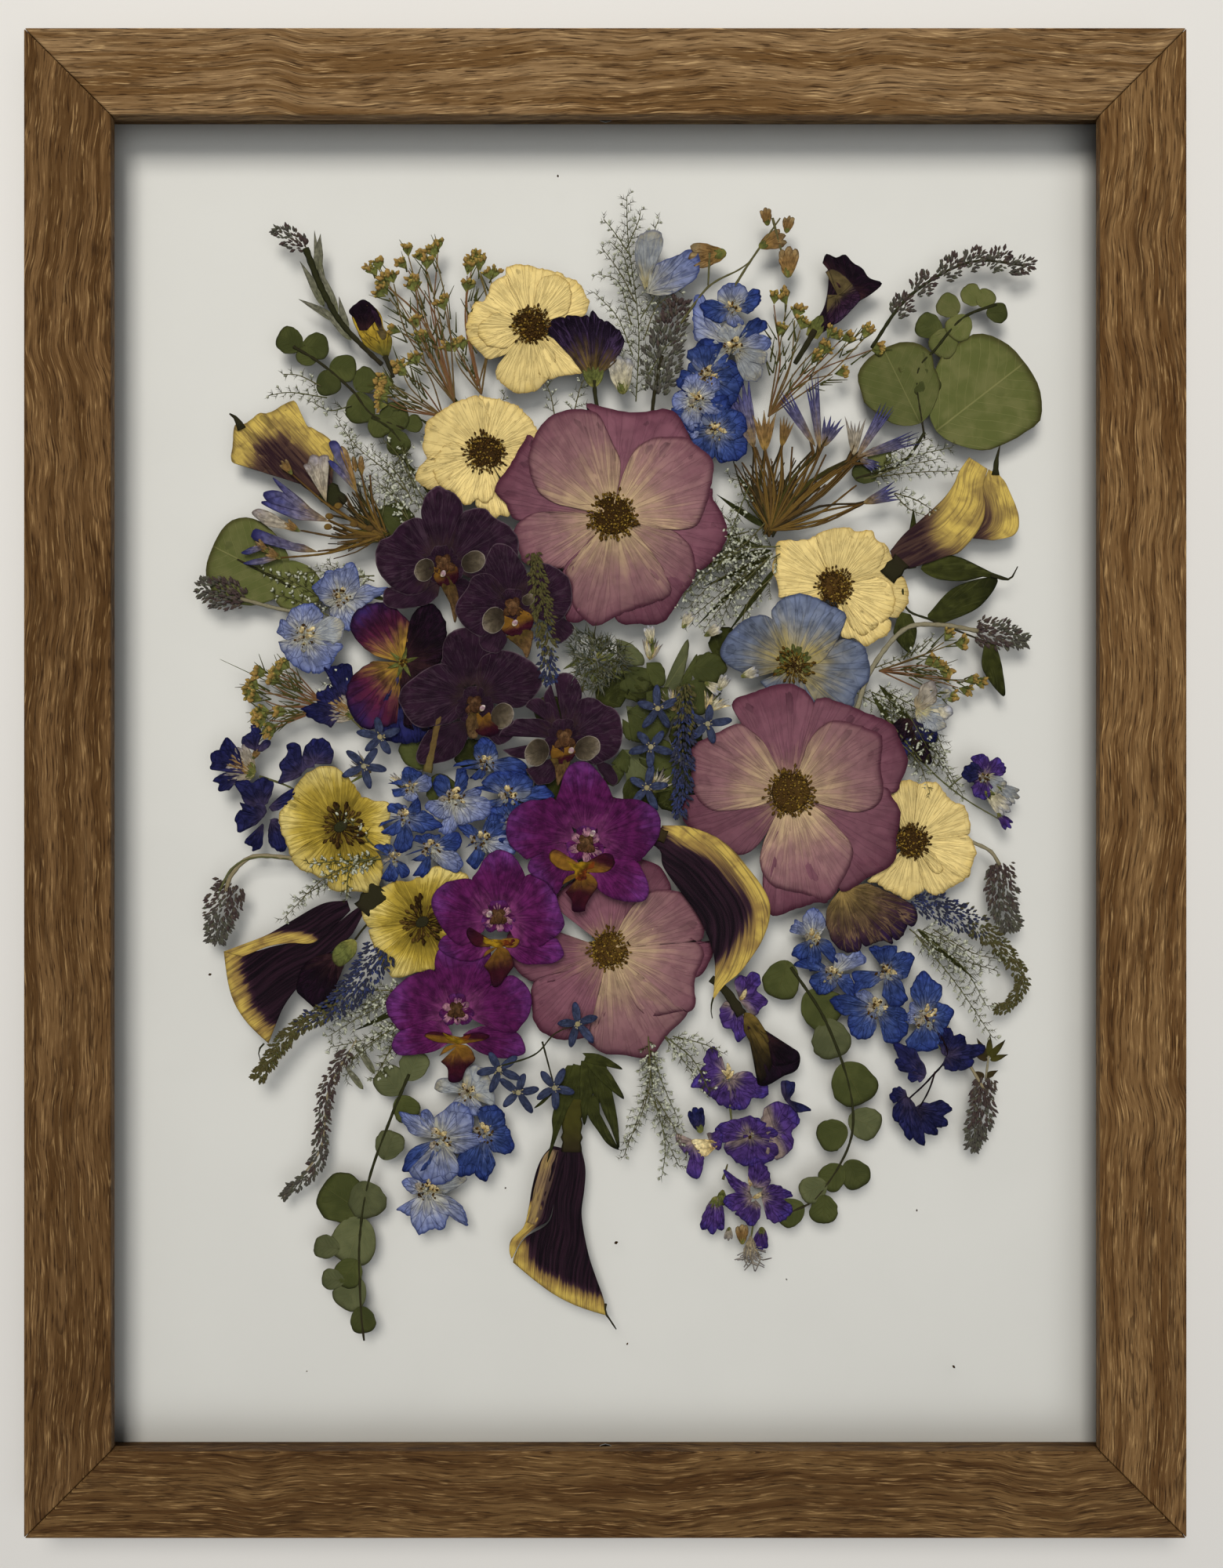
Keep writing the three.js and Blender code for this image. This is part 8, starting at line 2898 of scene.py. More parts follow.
    Calla("calla_bottom_right", [],
        [(Finish.DARK_STEM, PURPLE_FOOT.trace(140, 50, 210, 110, 280, 215), 3.4, 5.0)],
        [(Finish.BLACK, PURPLE_FOOT.at(300, 230), PURPLE_FOOT.trace(400, 310, 470, 340, 500, 372,
                540, 385, 549, 430, 530, 472, 470, 500, 400, 540, 352, 532, 358, 450, 332, 370, 300, 300,
                340, 270)), (Finish.DARK_CALLA, PURPLE_FOOT.at(290, 210),
                PURPLE_FOOT.trace(275, 212, 300, 205, 345, 225, 395, 300, 420, 380, 420, 450, 380, 520,
                    354, 528, 358, 450, 332, 370, 290, 290)),
            (Finish.BLACK, PURPLE_FOOT.at(400, 330), PURPLE_FOOT.trace(400, 310, 470, 340, 500, 372,
                    542, 388, 530, 430, 460, 450, 420, 440, 410, 370))]).build()
    Calla("calla_bud_top_left", [],
        [(Finish.DARK_STEM, TOP_LEFT.trace(780, 1070, 810, 1140, 835, 1210), 2.6, 1.6)],
        [(Finish.BUD_YELLOW, TOP_LEFT.at(780, 1075), TOP_LEFT.trace(700, 1035, 640, 990, 595, 900,
                560, 800, 620, 740, 700, 740, 755, 800, 770, 880, 805, 920, 828, 960, 818, 1030,
                800, 1075)), (Finish.BLACK, TOP_LEFT.at(660, 900),
                TOP_LEFT.trace(610, 900, 575, 820, 540, 772, 600, 712, 640, 695, 700, 735, 745, 800,
                    725, 810, 690, 760, 640, 780, 650, 850)),
            (Finish.WINE, TOP_LEFT.at(740, 900), TOP_LEFT.trace(700, 820, 690, 760, 745, 805, 765, 880,
                    790, 940, 760, 960, 720, 900))]).build()


def blooms() -> None:
    """Lays down the yellow blooms, the poppies, the hellebore and the roses."""
    cream, poppy = Finish.CREAM, Finish.POPPY
    Bloom("yellow_bloom_top", TOP.at(562, 645), span(23), [(cream,
            TOP.trace(640, 560, 700, 400, 720, 300, 800, 335, 880, 380, 912, 450, 936, 490, 915, 560,
                880, 600, 760, 640)), (cream, TOP.trace(480, 560, 420, 420, 400, 310, 420, 265, 485, 248,
                    590, 268, 690, 292, 740, 320, 720, 480, 640, 560)),
            (cream, TOP.trace(500, 560, 430, 400, 400, 320, 310, 385, 265, 484, 205, 497, 165, 580,
                    155, 680, 300, 700, 450, 640)), (cream,
                TOP.trace(450, 640, 300, 640, 157, 660, 172, 755, 232, 812, 285, 860, 345, 848, 430, 815,
                    500, 750)), (cream, TOP.trace(640, 720, 760, 760, 860, 880, 885, 945, 770, 968,
                    680, 990, 600, 940, 560, 800)), (cream,
                TOP.trace(520, 740, 440, 810, 370, 870, 338, 935, 352, 990, 430, 1060, 515, 1080,
                    600, 1058, 640, 1020, 690, 960, 720, 840, 640, 740)),
            (cream, TOP.trace(600, 560, 590, 430, 630, 345, 705, 320, 790, 352, 820, 430, 815, 520,
                    775, 580, 690, 600)),
            (cream, TOP.trace(460, 600, 360, 560, 250, 620, 225, 700, 290, 775, 400, 790, 470, 740))],
        Finish.DARK_STAMEN, CRINKLED).build()
    Bloom("yellow_bloom_left", LEFT_BLOOM.at(820, 625), span(24),
        [(cream, LEFT_BLOOM.trace(900, 780, 980, 930, 1060, 1190, 950, 1210, 895, 1245, 830, 1160,
                730, 1110, 760, 900)),
            (cream, LEFT_BLOOM.trace(980, 540, 1190, 500, 1200, 620, 1100, 760, 990, 870, 900, 760)),
            (cream, LEFT_BLOOM.trace(900, 500, 860, 300, 760, 102, 900, 120, 1000, 145, 1120, 190,
                    1230, 290, 1300, 400, 1338, 430, 1290, 505, 1150, 520)),
            (cream, LEFT_BLOOM.trace(700, 640, 500, 560, 350, 620, 242, 720, 168, 860, 310, 972, 385, 930,
                    500, 850, 650, 760)), (cream, LEFT_BLOOM.trace(680, 560, 540, 540, 420, 600, 300, 690,
                    240, 580, 260, 450, 275, 340, 380, 258, 490, 180, 620, 130, 760, 100, 850, 260,
                    850, 480)), (cream, LEFT_BLOOM.trace(680, 600, 560, 530, 440, 560, 370, 660, 335, 760,
                    350, 860, 400, 935, 460, 965, 545, 1010, 620, 880, 700, 740)),
            (cream, LEFT_BLOOM.trace(720, 720, 580, 740, 500, 830, 488, 930, 530, 1010, 580, 1060,
                    620, 1108, 680, 1112, 735, 1060, 820, 1092, 885, 1050, 910, 980, 950, 870,
                    880, 760))], Finish.DARK_STAMEN, CRINKLED).build()
    Bloom("yellow_bloom_right", MIDDLE.at(870, 465), span(22),
        [(cream, MIDDLE.trace(1000, 400, 1120, 300, 1190, 170, 1232, 240, 1272, 290, 1288, 345, 1270, 370,
                1310, 392, 1342, 440, 1360, 520, 1350, 580, 1310, 640, 1255, 672, 1100, 600)),
            (cream, MIDDLE.trace(930, 570, 915, 700, 915, 800, 1000, 810, 1065, 860, 1102, 850, 1155, 818,
                    1215, 780, 1238, 690, 1100, 600)), (cream,
                MIDDLE.trace(820, 380, 760, 250, 740, 130, 820, 92, 900, 74, 972, 80, 1005, 102, 1060, 94,
                    1122, 98, 1140, 150, 1190, 185, 1190, 280, 1120, 370, 980, 410)),
            (cream, MIDDLE.trace(790, 560, 680, 530, 560, 520, 502, 540, 498, 470, 470, 400, 455, 330,
                    480, 250, 475, 190, 520, 160, 620, 160, 700, 148, 745, 140, 770, 260, 820, 390)),
            (cream,
                MIDDLE.trace(940, 570, 950, 680, 1000, 760, 1060, 790, 1130, 740, 1160, 700, 1040, 600)),
            (cream, MIDDLE.trace(970, 420, 1080, 405, 1180, 410, 1240, 460, 1268, 550, 1250, 640,
                    1190, 700, 1110, 725, 1040, 700, 980, 640, 930, 560))], Finish.DARK_STAMEN,
        CRINKLED).build()
    Bloom("yellow_bloom_low_right", RIGHT.at(745, 645), span(21),
        [(cream, RIGHT.trace(680, 740, 560, 840, 418, 935, 500, 948, 600, 940, 720, 860)),
            (cream, RIGHT.trace(660, 560, 640, 430, 600, 360, 588, 300, 640, 212, 760, 205, 850, 300,
                    840, 420, 790, 540)), (cream, RIGHT.trace(850, 700, 980, 760, 1100, 880, 1150, 905,
                    1090, 950, 1000, 1000, 932, 1040, 870, 1022, 820, 960, 800, 820)),
            (cream, RIGHT.trace(700, 760, 600, 860, 495, 940, 540, 990, 640, 1040, 715, 1076, 770, 1040,
                    832, 990, 800, 860, 780, 760)), (cream,
                RIGHT.trace(840, 600, 1000, 560, 1150, 600, 1192, 660, 1212, 740, 1180, 830, 1148, 912,
                    1000, 850, 860, 700)), (cream, RIGHT.trace(780, 540, 790, 400, 790, 230, 910, 213,
                    960, 258, 1000, 310, 1062, 362, 1122, 380, 1156, 450, 1170, 530, 1150, 605, 1000, 600,
                    860, 600)),
            (cream, RIGHT.trace(840, 700, 900, 730, 965, 830, 965, 870, 930, 886, 880, 850, 840, 770))],
        Finish.DARK_STAMEN, CRINKLED).build()
    Poppy("poppy_left", POPPIES.at(455, 500), 0, [(poppy, POPPIES.trace(400, 450, 250, 340, 130, 310,
                142, 230, 220, 140, 300, 95, 385, 84, 480, 140, 560, 240, 600, 330, 520, 450)),
            (poppy, POPPIES.trace(400, 480, 260, 330, 120, 320, 60, 370, 34, 425, 44, 520, 80, 610,
                    130, 710, 260, 640, 380, 560)), (poppy,
                POPPIES.trace(480, 560, 420, 760, 360, 900, 440, 940, 560, 942, 650, 948, 724, 880,
                    732, 720, 620, 600)), (poppy, POPPIES.trace(420, 560, 250, 600, 125, 700, 180, 790,
                    250, 820, 340, 850, 430, 820, 480, 640)),
            (poppy, POPPIES.trace(520, 430, 580, 300, 690, 325, 780, 340, 792, 440, 740, 480, 780, 560,
                    802, 575, 760, 660, 640, 640, 540, 540))], relief=CRINKLED).build()
    Poppy("poppy_bottom", POPPIES.at(1010, 1150), 0, [(poppy,
            POPPIES.trace(950, 1100, 820, 1150, 700, 1190, 635, 1180, 600, 1110, 596, 1065, 640, 1010,
                700, 950, 760, 900, 850, 870, 910, 950, 980, 1060)),
            (poppy,
                POPPIES.trace(1050, 1120, 1200, 1080, 1320, 1150, 1260, 1300, 1120, 1330, 1050, 1220)),
            (poppy, POPPIES.trace(940, 1150, 800, 1170, 650, 1200, 652, 1240, 690, 1340, 730, 1400,
                    850, 1330, 970, 1210)), (poppy, POPPIES.trace(980, 1200, 860, 1260, 715, 1385,
                    762, 1480, 830, 1530, 900, 1520, 970, 1492, 1090, 1478, 1112, 1400, 1122, 1300,
                    1070, 1200)), (poppy, POPPIES.trace(960, 1060, 860, 960, 820, 880, 920, 870,
                    1010, 830, 1100, 770, 1222, 790, 1330, 850, 1250, 1000, 1100, 1100))],
        relief=CRINKLED).build()
    Hellebore("hellebore", MIDDLE.at(600, 990), 0, [(Finish.HELLEBORE,
            MIDDLE.trace(540, 1040, 420, 1080, 380, 1100, 500, 1200, 700, 1250, 740, 1230, 690, 1120)),
            (Finish.HELLEBORE, MIDDLE.trace(680, 1000, 780, 930, 850, 860, 910, 815, 980, 820, 1062, 860,
                    1086, 930, 1102, 1010, 1092, 1080, 1050, 1130, 1008, 1180, 985, 1262, 900, 1240,
                    830, 1210, 740, 1230, 690, 1120)), (Finish.HELLEBORE,
                MIDDLE.trace(520, 1000, 360, 1060, 200, 1010, 120, 940, 118, 860, 170, 780, 240, 710,
                    320, 665, 400, 656, 462, 690, 500, 760, 540, 900)),
            (Finish.HELLEBORE, MIDDLE.trace(540, 930, 480, 760, 448, 640, 480, 580, 560, 530, 650, 514,
                    750, 545, 830, 590, 905, 618, 946, 655, 935, 700, 900, 790, 850, 880, 780, 965,
                    690, 990))]).build()
    rose, shade = Finish.ROSE, Finish.ROSE_SHADE
    Bloom("rose_top", TOP_ROSE.at(812, 725), span(29), [(shade,
            TOP_ROSE.trace(700, 600, 740, 200, 650, 65, 860, 110, 1000, 112, 1165, 105, 1265, 270,
                1290, 400, 900, 640)), (shade, TOP_ROSE.trace(700, 640, 360, 270, 300, 280, 210, 430,
                    125, 565, 190, 650, 265, 750, 600, 760)),
            (shade, TOP_ROSE.trace(900, 700, 1350, 560, 1400, 620, 1480, 785, 1440, 930, 1290, 1050,
                    1100, 950)), (shade, TOP_ROSE.trace(880, 800, 1150, 1000, 1290, 1080, 1240, 1150,
                    1110, 1340, 960, 1352, 830, 1325, 800, 1100)),
            (shade, TOP_ROSE.trace(700, 800, 520, 1050, 535, 1290, 560, 1340, 640, 1330, 760, 1200)),
            (rose, TOP_ROSE.trace(870, 750, 930, 770, 1080, 780, 1180, 815, 1260, 890, 1297, 1000,
                    1290, 1080, 1230, 1165, 1130, 1195, 1100, 1080, 1000, 950, 900, 850)),
            (rose, TOP_ROSE.trace(740, 715, 560, 700, 440, 695, 330, 715, 250, 775, 238, 850, 268, 930,
                    300, 1000, 400, 1020, 540, 1025, 620, 960, 740, 800)),
            (rose, TOP_ROSE.trace(760, 780, 690, 860, 600, 960, 535, 1050, 575, 1130, 580, 1240,
                    640, 1320, 700, 1366, 745, 1355, 900, 1280, 1140, 1190, 1132, 1080, 1080, 985,
                    1000, 880, 900, 770)), (rose, TOP_ROSE.trace(840, 660, 850, 560, 890, 440, 940, 340,
                    1030, 275, 1110, 262, 1240, 264, 1300, 310, 1397, 400, 1390, 530, 1350, 680,
                    1282, 790, 1100, 800, 980, 770, 880, 740)),
            (rose, TOP_ROSE.trace(760, 680, 690, 655, 560, 655, 480, 650, 370, 570, 322, 420, 345, 290,
                    400, 190, 480, 125, 600, 98, 720, 122, 770, 200, 815, 300, 858, 400, 850, 520,
                    820, 640))]).build()
    Bloom("rose_right", RIGHT_ROSE.at(728, 770), span(29), [(shade,
            RIGHT_ROSE.trace(600, 600, 400, 300, 370, 200, 480, 150, 680, 90, 800, 120, 872, 200,
                905, 300, 900, 390, 780, 600)), (shade, RIGHT_ROSE.trace(850, 500, 870, 230, 920, 178,
                    1010, 198, 1150, 250, 1350, 338, 1405, 430, 1458, 570, 1420, 680, 1360, 775,
                    1100, 740)), (shade, RIGHT_ROSE.trace(900, 800, 1290, 730, 1360, 800, 1412, 900,
                    1385, 1050, 1370, 1200, 1200, 1300, 1080, 1378, 1020, 1340, 900, 1000)),
            (shade, RIGHT_ROSE.trace(680, 950, 560, 1250, 600, 1518, 760, 1490, 880, 1450, 960, 1430,
                    820, 1150)), (shade, RIGHT_ROSE.trace(560, 830, 300, 830, 110, 780, 68, 830, 58, 910,
                    100, 985, 250, 1085, 400, 1155, 520, 1100, 640, 920)),
            (rose, RIGHT_ROSE.trace(680, 840, 610, 960, 550, 1110, 542, 1225, 600, 1332, 680, 1366,
                    800, 1392, 962, 1434, 1062, 1290, 1112, 1170, 1102, 1080, 1020, 980, 920, 880,
                    800, 810)), (rose, RIGHT_ROSE.trace(690, 690, 620, 560, 560, 450, 480, 378, 400, 338,
                    270, 398, 190, 438, 118, 480, 112, 600, 128, 760, 198, 852, 270, 880, 400, 873,
                    520, 852, 660, 800)), (rose, RIGHT_ROSE.trace(770, 700, 800, 600, 830, 480, 880, 395,
                    940, 343, 1010, 318, 1130, 343, 1262, 393, 1298, 435, 1287, 600, 1302, 720, 1292, 810,
                    1242, 862, 1140, 888, 1000, 863, 850, 820))]).build()
    Bloom("rose_bottom", LOW_ROSE.at(745, 650), span(25), [(shade,
            LOW_ROSE.trace(820, 560, 880, 100, 930, 85, 1062, 138, 1132, 270, 1080, 340, 900, 500)),
            (shade, LOW_ROSE.trace(900, 560, 1000, 290, 1310, 590, 1382, 598, 1388, 690, 1290, 825,
                    1100, 760, 900, 680)), (shade, LOW_ROSE.trace(640, 560, 430, 400, 430, 300, 560, 200,
                    700, 185, 840, 200, 850, 400, 800, 570)),
            (shade, LOW_ROSE.trace(660, 660, 420, 540, 200, 478, 100, 600, 140, 740, 280, 855, 500, 820,
                    680, 730)), (shade, LOW_ROSE.trace(680, 720, 500, 780, 280, 850, 268, 1040, 298, 1132,
                    380, 1192, 450, 1212, 592, 1198, 700, 1100, 760, 880)),
            (rose, LOW_ROSE.trace(810, 680, 900, 600, 960, 545, 1060, 505, 1180, 522, 1272, 590,
                    1337, 660, 1312, 750, 1277, 850, 1282, 1000, 1232, 1042, 1100, 1087, 1000, 1062,
                    900, 980, 800, 800)), (rose, LOW_ROSE.trace(740, 720, 720, 900, 690, 1090, 608, 1210,
                    660, 1262, 720, 1300, 850, 1307, 1000, 1322, 1102, 1190, 1235, 1037, 1000, 1062,
                    900, 980, 810, 800)), (rose, LOW_ROSE.trace(790, 600, 820, 500, 850, 440, 930, 338,
                    1030, 283, 1130, 280, 1232, 318, 1302, 430, 1342, 520, 1300, 602, 1180, 522,
                    1050, 502, 900, 562, 830, 640))]).build()


def orchids() -> None:
    """Lays down the dark and the purple moth orchids."""
    dark, tan = Finish.DARK_ORCHID, Finish.ORCHID_TAN
    Orchid("dark_orchid_upper", [(dark, UPPER_ORCHID.at(420, 640),
            UPPER_ORCHID.trace(350, 660, 330, 700, 240, 736, 150, 712, 80, 690, 60, 770, 100, 810,
                180, 818, 330, 792, 400, 740)), (dark, UPPER_ORCHID.at(440, 640),
                UPPER_ORCHID.trace(480, 700, 520, 760, 600, 800, 660, 760, 640, 680, 540, 620)),
            (dark, UPPER_ORCHID.at(420, 500), UPPER_ORCHID.trace(380, 440, 300, 260, 310, 150, 350, 90,
                    402, 58, 445, 80, 510, 110, 552, 180, 546, 270, 500, 440)),
            (dark, UPPER_ORCHID.at(400, 540), UPPER_ORCHID.trace(360, 580, 350, 640, 330, 700, 240, 736,
                    150, 712, 80, 650, 30, 580, 14, 490, 40, 400, 110, 368, 180, 290, 300, 262,
                    380, 430)), (dark, UPPER_ORCHID.at(470, 540),
                UPPER_ORCHID.trace(460, 450, 500, 330, 550, 230, 620, 198, 702, 204, 742, 250, 832, 300,
                    892, 372, 900, 450, 880, 520, 780, 600, 640, 640, 540, 600))],
        [(tan, UPPER_ORCHID.at(440, 620),
            UPPER_ORCHID.trace(400, 620, 430, 700, 480, 800, 505, 910, 530, 800, 520, 700, 480, 620)),
            (Finish.ORCHID_SHIELD, UPPER_ORCHID.at(440, 580),
                UPPER_ORCHID.trace(370, 560, 380, 640, 440, 690, 520, 650, 520, 560, 440, 520))],
        [(UPPER_ORCHID.at(318, 580), span(14)), (UPPER_ORCHID.at(620, 530), span(15))],
        (UPPER_ORCHID.at(440, 550), 4.0, -80), UPPER_ORCHID.at(435, 605), Finish.DARK_ORCHID).build()
    Orchid("dark_orchid_left", [(dark, LEFT_ORCHID.at(640, 860),
            LEFT_ORCHID.trace(450, 900, 640, 840, 660, 940, 620, 1030, 600, 1080, 540, 1150, 430, 1190,
                290, 1200, 255, 1140, 300, 1020, 350, 950)),
            (dark, LEFT_ORCHID.at(760, 900),
                LEFT_ORCHID.trace(760, 860, 900, 860, 980, 900, 960, 1000, 860, 1060, 780, 1000)),
            (dark, LEFT_ORCHID.at(640, 640), LEFT_ORCHID.trace(500, 640, 440, 470, 448, 430, 453, 330,
                    488, 260, 560, 213, 640, 213, 702, 258, 765, 300, 800, 400, 740, 600)),
            (dark, LEFT_ORCHID.at(640, 700), LEFT_ORCHID.trace(600, 640, 560, 580, 535, 512, 440, 468,
                    330, 508, 240, 570, 160, 640, 128, 720, 153, 790, 208, 880, 280, 932, 390, 922,
                    500, 902, 600, 832, 650, 760)), (dark, LEFT_ORCHID.at(720, 700),
                LEFT_ORCHID.trace(690, 640, 700, 520, 738, 420, 830, 378, 920, 373, 1000, 398, 1090, 448,
                    1162, 520, 1178, 600, 1132, 692, 1052, 772, 980, 792, 900, 770, 780, 750))],
        [(tan, LEFT_ORCHID.at(690, 800),
            LEFT_ORCHID.trace(640, 800, 620, 900, 640, 1000, 700, 1010, 720, 900, 720, 800)),
            (Finish.ORCHID_SHIELD, LEFT_ORCHID.at(740, 860),
                LEFT_ORCHID.trace(700, 820, 690, 960, 780, 1000, 860, 960, 830, 880, 790, 820))],
        [(LEFT_ORCHID.at(885, 850), span(16))], (LEFT_ORCHID.at(685, 775), 3.8, -85),
        LEFT_ORCHID.at(742, 793), Finish.DARK_ORCHID).build()
    Orchid("dark_orchid_low", [(dark, LOW_ORCHID.at(560, 1000),
            LOW_ORCHID.trace(300, 1040, 420, 1060, 540, 1060, 540, 1130, 500, 1190, 440, 1207, 380, 1212,
                330, 1150, 290, 1090)), (dark, LOW_ORCHID.at(820, 1000),
                LOW_ORCHID.trace(830, 1060, 940, 1050, 992, 1110, 1017, 1180, 980, 1217, 920, 1172,
                    870, 1110)), (dark, LOW_ORCHID.at(590, 770),
                LOW_ORCHID.trace(490, 420, 440, 500, 438, 560, 490, 640, 540, 760, 600, 800, 650, 740,
                    692, 580, 732, 530, 724, 450, 690, 380, 630, 338, 560, 338, 510, 368)),
            (dark, LOW_ORCHID.at(480, 730), LOW_ORCHID.trace(290, 600, 320, 553, 380, 533, 432, 548,
                    442, 575, 472, 568, 502, 600, 512, 660, 510, 740, 400, 730, 300, 700)),
            (dark, LOW_ORCHID.at(560, 850), LOW_ORCHID.trace(78, 830, 110, 780, 180, 740, 212, 700,
                    300, 695, 420, 700, 520, 750, 580, 840, 540, 940, 440, 1000, 340, 1020, 278, 1012,
                    180, 990, 110, 940)), (dark, LOW_ORCHID.at(640, 830),
                LOW_ORCHID.trace(640, 760, 690, 590, 720, 545, 790, 528, 862, 548, 912, 588, 972, 608,
                    1022, 660, 1047, 750, 1052, 830, 1032, 920, 992, 982, 930, 1022, 850, 1052, 790, 1040,
                    700, 960, 650, 880))], [(tan, LOW_ORCHID.at(570, 1000),
            LOW_ORCHID.trace(480, 1010, 520, 1080, 540, 1220, 580, 1160, 640, 1040, 620, 980)),
            (Finish.ORCHID_SHIELD, LOW_ORCHID.at(590, 960),
                LOW_ORCHID.trace(500, 900, 490, 1000, 570, 1050, 660, 1010, 690, 900, 600, 880))],
        [(LOW_ORCHID.at(380, 960), span(17)), (LOW_ORCHID.at(775, 928), span(16.5))],
        (LOW_ORCHID.at(598, 860), 4.2, -85), LOW_ORCHID.at(650, 945), Finish.DARK_ORCHID).build()
    Orchid("dark_orchid_right", [(dark, RIGHT_ORCHID.at(700, 930),
            RIGHT_ORCHID.trace(740, 940, 830, 970, 897, 1030, 852, 1100, 780, 1140, 720, 1050)),
            (dark, RIGHT_ORCHID.at(400, 1000),
                RIGHT_ORCHID.trace(330, 1060, 250, 1100, 280, 1180, 380, 1200, 440, 1120, 420, 1060)),
            (dark, RIGHT_ORCHID.at(470, 830), RIGHT_ORCHID.trace(400, 820, 320, 700, 290, 610, 310, 530,
                    350, 468, 410, 458, 470, 488, 522, 560, 570, 640, 580, 740, 540, 830)),
            (dark, RIGHT_ORCHID.at(460, 880), RIGHT_ORCHID.trace(440, 820, 400, 740, 330, 670, 260, 663,
                    200, 690, 178, 745, 150, 790, 110, 840, 88, 920, 140, 1012, 200, 1062, 270, 1092,
                    330, 1062, 400, 1040, 450, 980)), (dark, RIGHT_ORCHID.at(540, 880),
                RIGHT_ORCHID.trace(540, 800, 600, 640, 650, 598, 720, 598, 800, 640, 862, 700, 882, 790,
                    877, 870, 832, 950, 772, 992, 680, 980, 600, 940))],
        [(tan, RIGHT_ORCHID.at(520, 1060),
            RIGHT_ORCHID.trace(430, 1090, 480, 1130, 540, 1180, 580, 1235, 620, 1070, 560, 1040)),
            (Finish.ORCHID_SHIELD, RIGHT_ORCHID.at(500, 980),
                RIGHT_ORCHID.trace(400, 940, 400, 1040, 480, 1090, 590, 1060, 620, 960, 540, 900))],
        [(RIGHT_ORCHID.at(350, 980), span(16)), (RIGHT_ORCHID.at(585, 840), span(8))],
        (RIGHT_ORCHID.at(480, 900), 4.0, -88), RIGHT_ORCHID.at(495, 1000), Finish.DARK_ORCHID).build()
    purple, rust, shield = Finish.PURPLE_ORCHID, Finish.ORCHID_RUST, Finish.ORCHID_SHIELD
    Orchid("purple_orchid_low", [(purple, PURPLE_LOW.at(720, 650),
            PURPLE_LOW.trace(600, 600, 520, 420, 498, 300, 498, 200, 540, 105, 620, 130, 780, 190,
                900, 175, 1000, 110, 1030, 250, 1040, 380, 980, 500, 860, 620)),
            (purple, PURPLE_LOW.at(660, 900), PURPLE_LOW.trace(600, 780, 400, 770, 250, 820, 140, 900,
                    98, 1000, 128, 1070, 190, 1097, 330, 1087, 480, 1062, 580, 1012, 650, 960)),
            (purple, PURPLE_LOW.at(760, 900), PURPLE_LOW.trace(780, 980, 900, 1060, 1050, 1112,
                    1180, 1122, 1300, 1092, 1343, 1052, 1322, 970, 1260, 880, 1100, 840, 950, 820,
                    820, 860)), (purple, PURPLE_LOW.at(640, 700),
                PURPLE_LOW.trace(640, 600, 600, 480, 490, 308, 380, 318, 250, 368, 130, 468, 48, 588,
                    58, 700, 120, 802, 180, 862, 300, 812, 430, 770, 560, 780)),
            (purple, PURPLE_LOW.at(800, 700), PURPLE_LOW.trace(820, 600, 900, 520, 1030, 440, 1130, 370,
                    1230, 353, 1322, 418, 1383, 500, 1398, 620, 1363, 740, 1292, 832, 1240, 882,
                    1100, 872, 950, 812, 850, 760))], [(shield, PURPLE_LOW.at(700, 960),
            PURPLE_LOW.trace(640, 900, 500, 870, 400, 900, 440, 940, 520, 970, 620, 980, 720, 990,
                860, 970, 960, 950, 1010, 910, 900, 880, 780, 900)),
            (shield, PURPLE_LOW.at(700, 1010), PURPLE_LOW.trace(538, 1100, 600, 1015, 700, 990, 810, 1008,
                    865, 1090, 870, 1140, 785, 1230, 742, 1332, 630, 1332, 618, 1220, 555, 1150)),
            (rust, PURPLE_LOW.at(710, 950), PURPLE_LOW.trace(569, 876, 599, 928, 658, 965, 703, 987,
                    762, 968, 821, 935, 851, 883, 777, 913, 710, 920, 629, 898))], [],
        (PURPLE_LOW.at(700, 680), 3.4, -90), None, Finish.ORCHID_PINK).build()
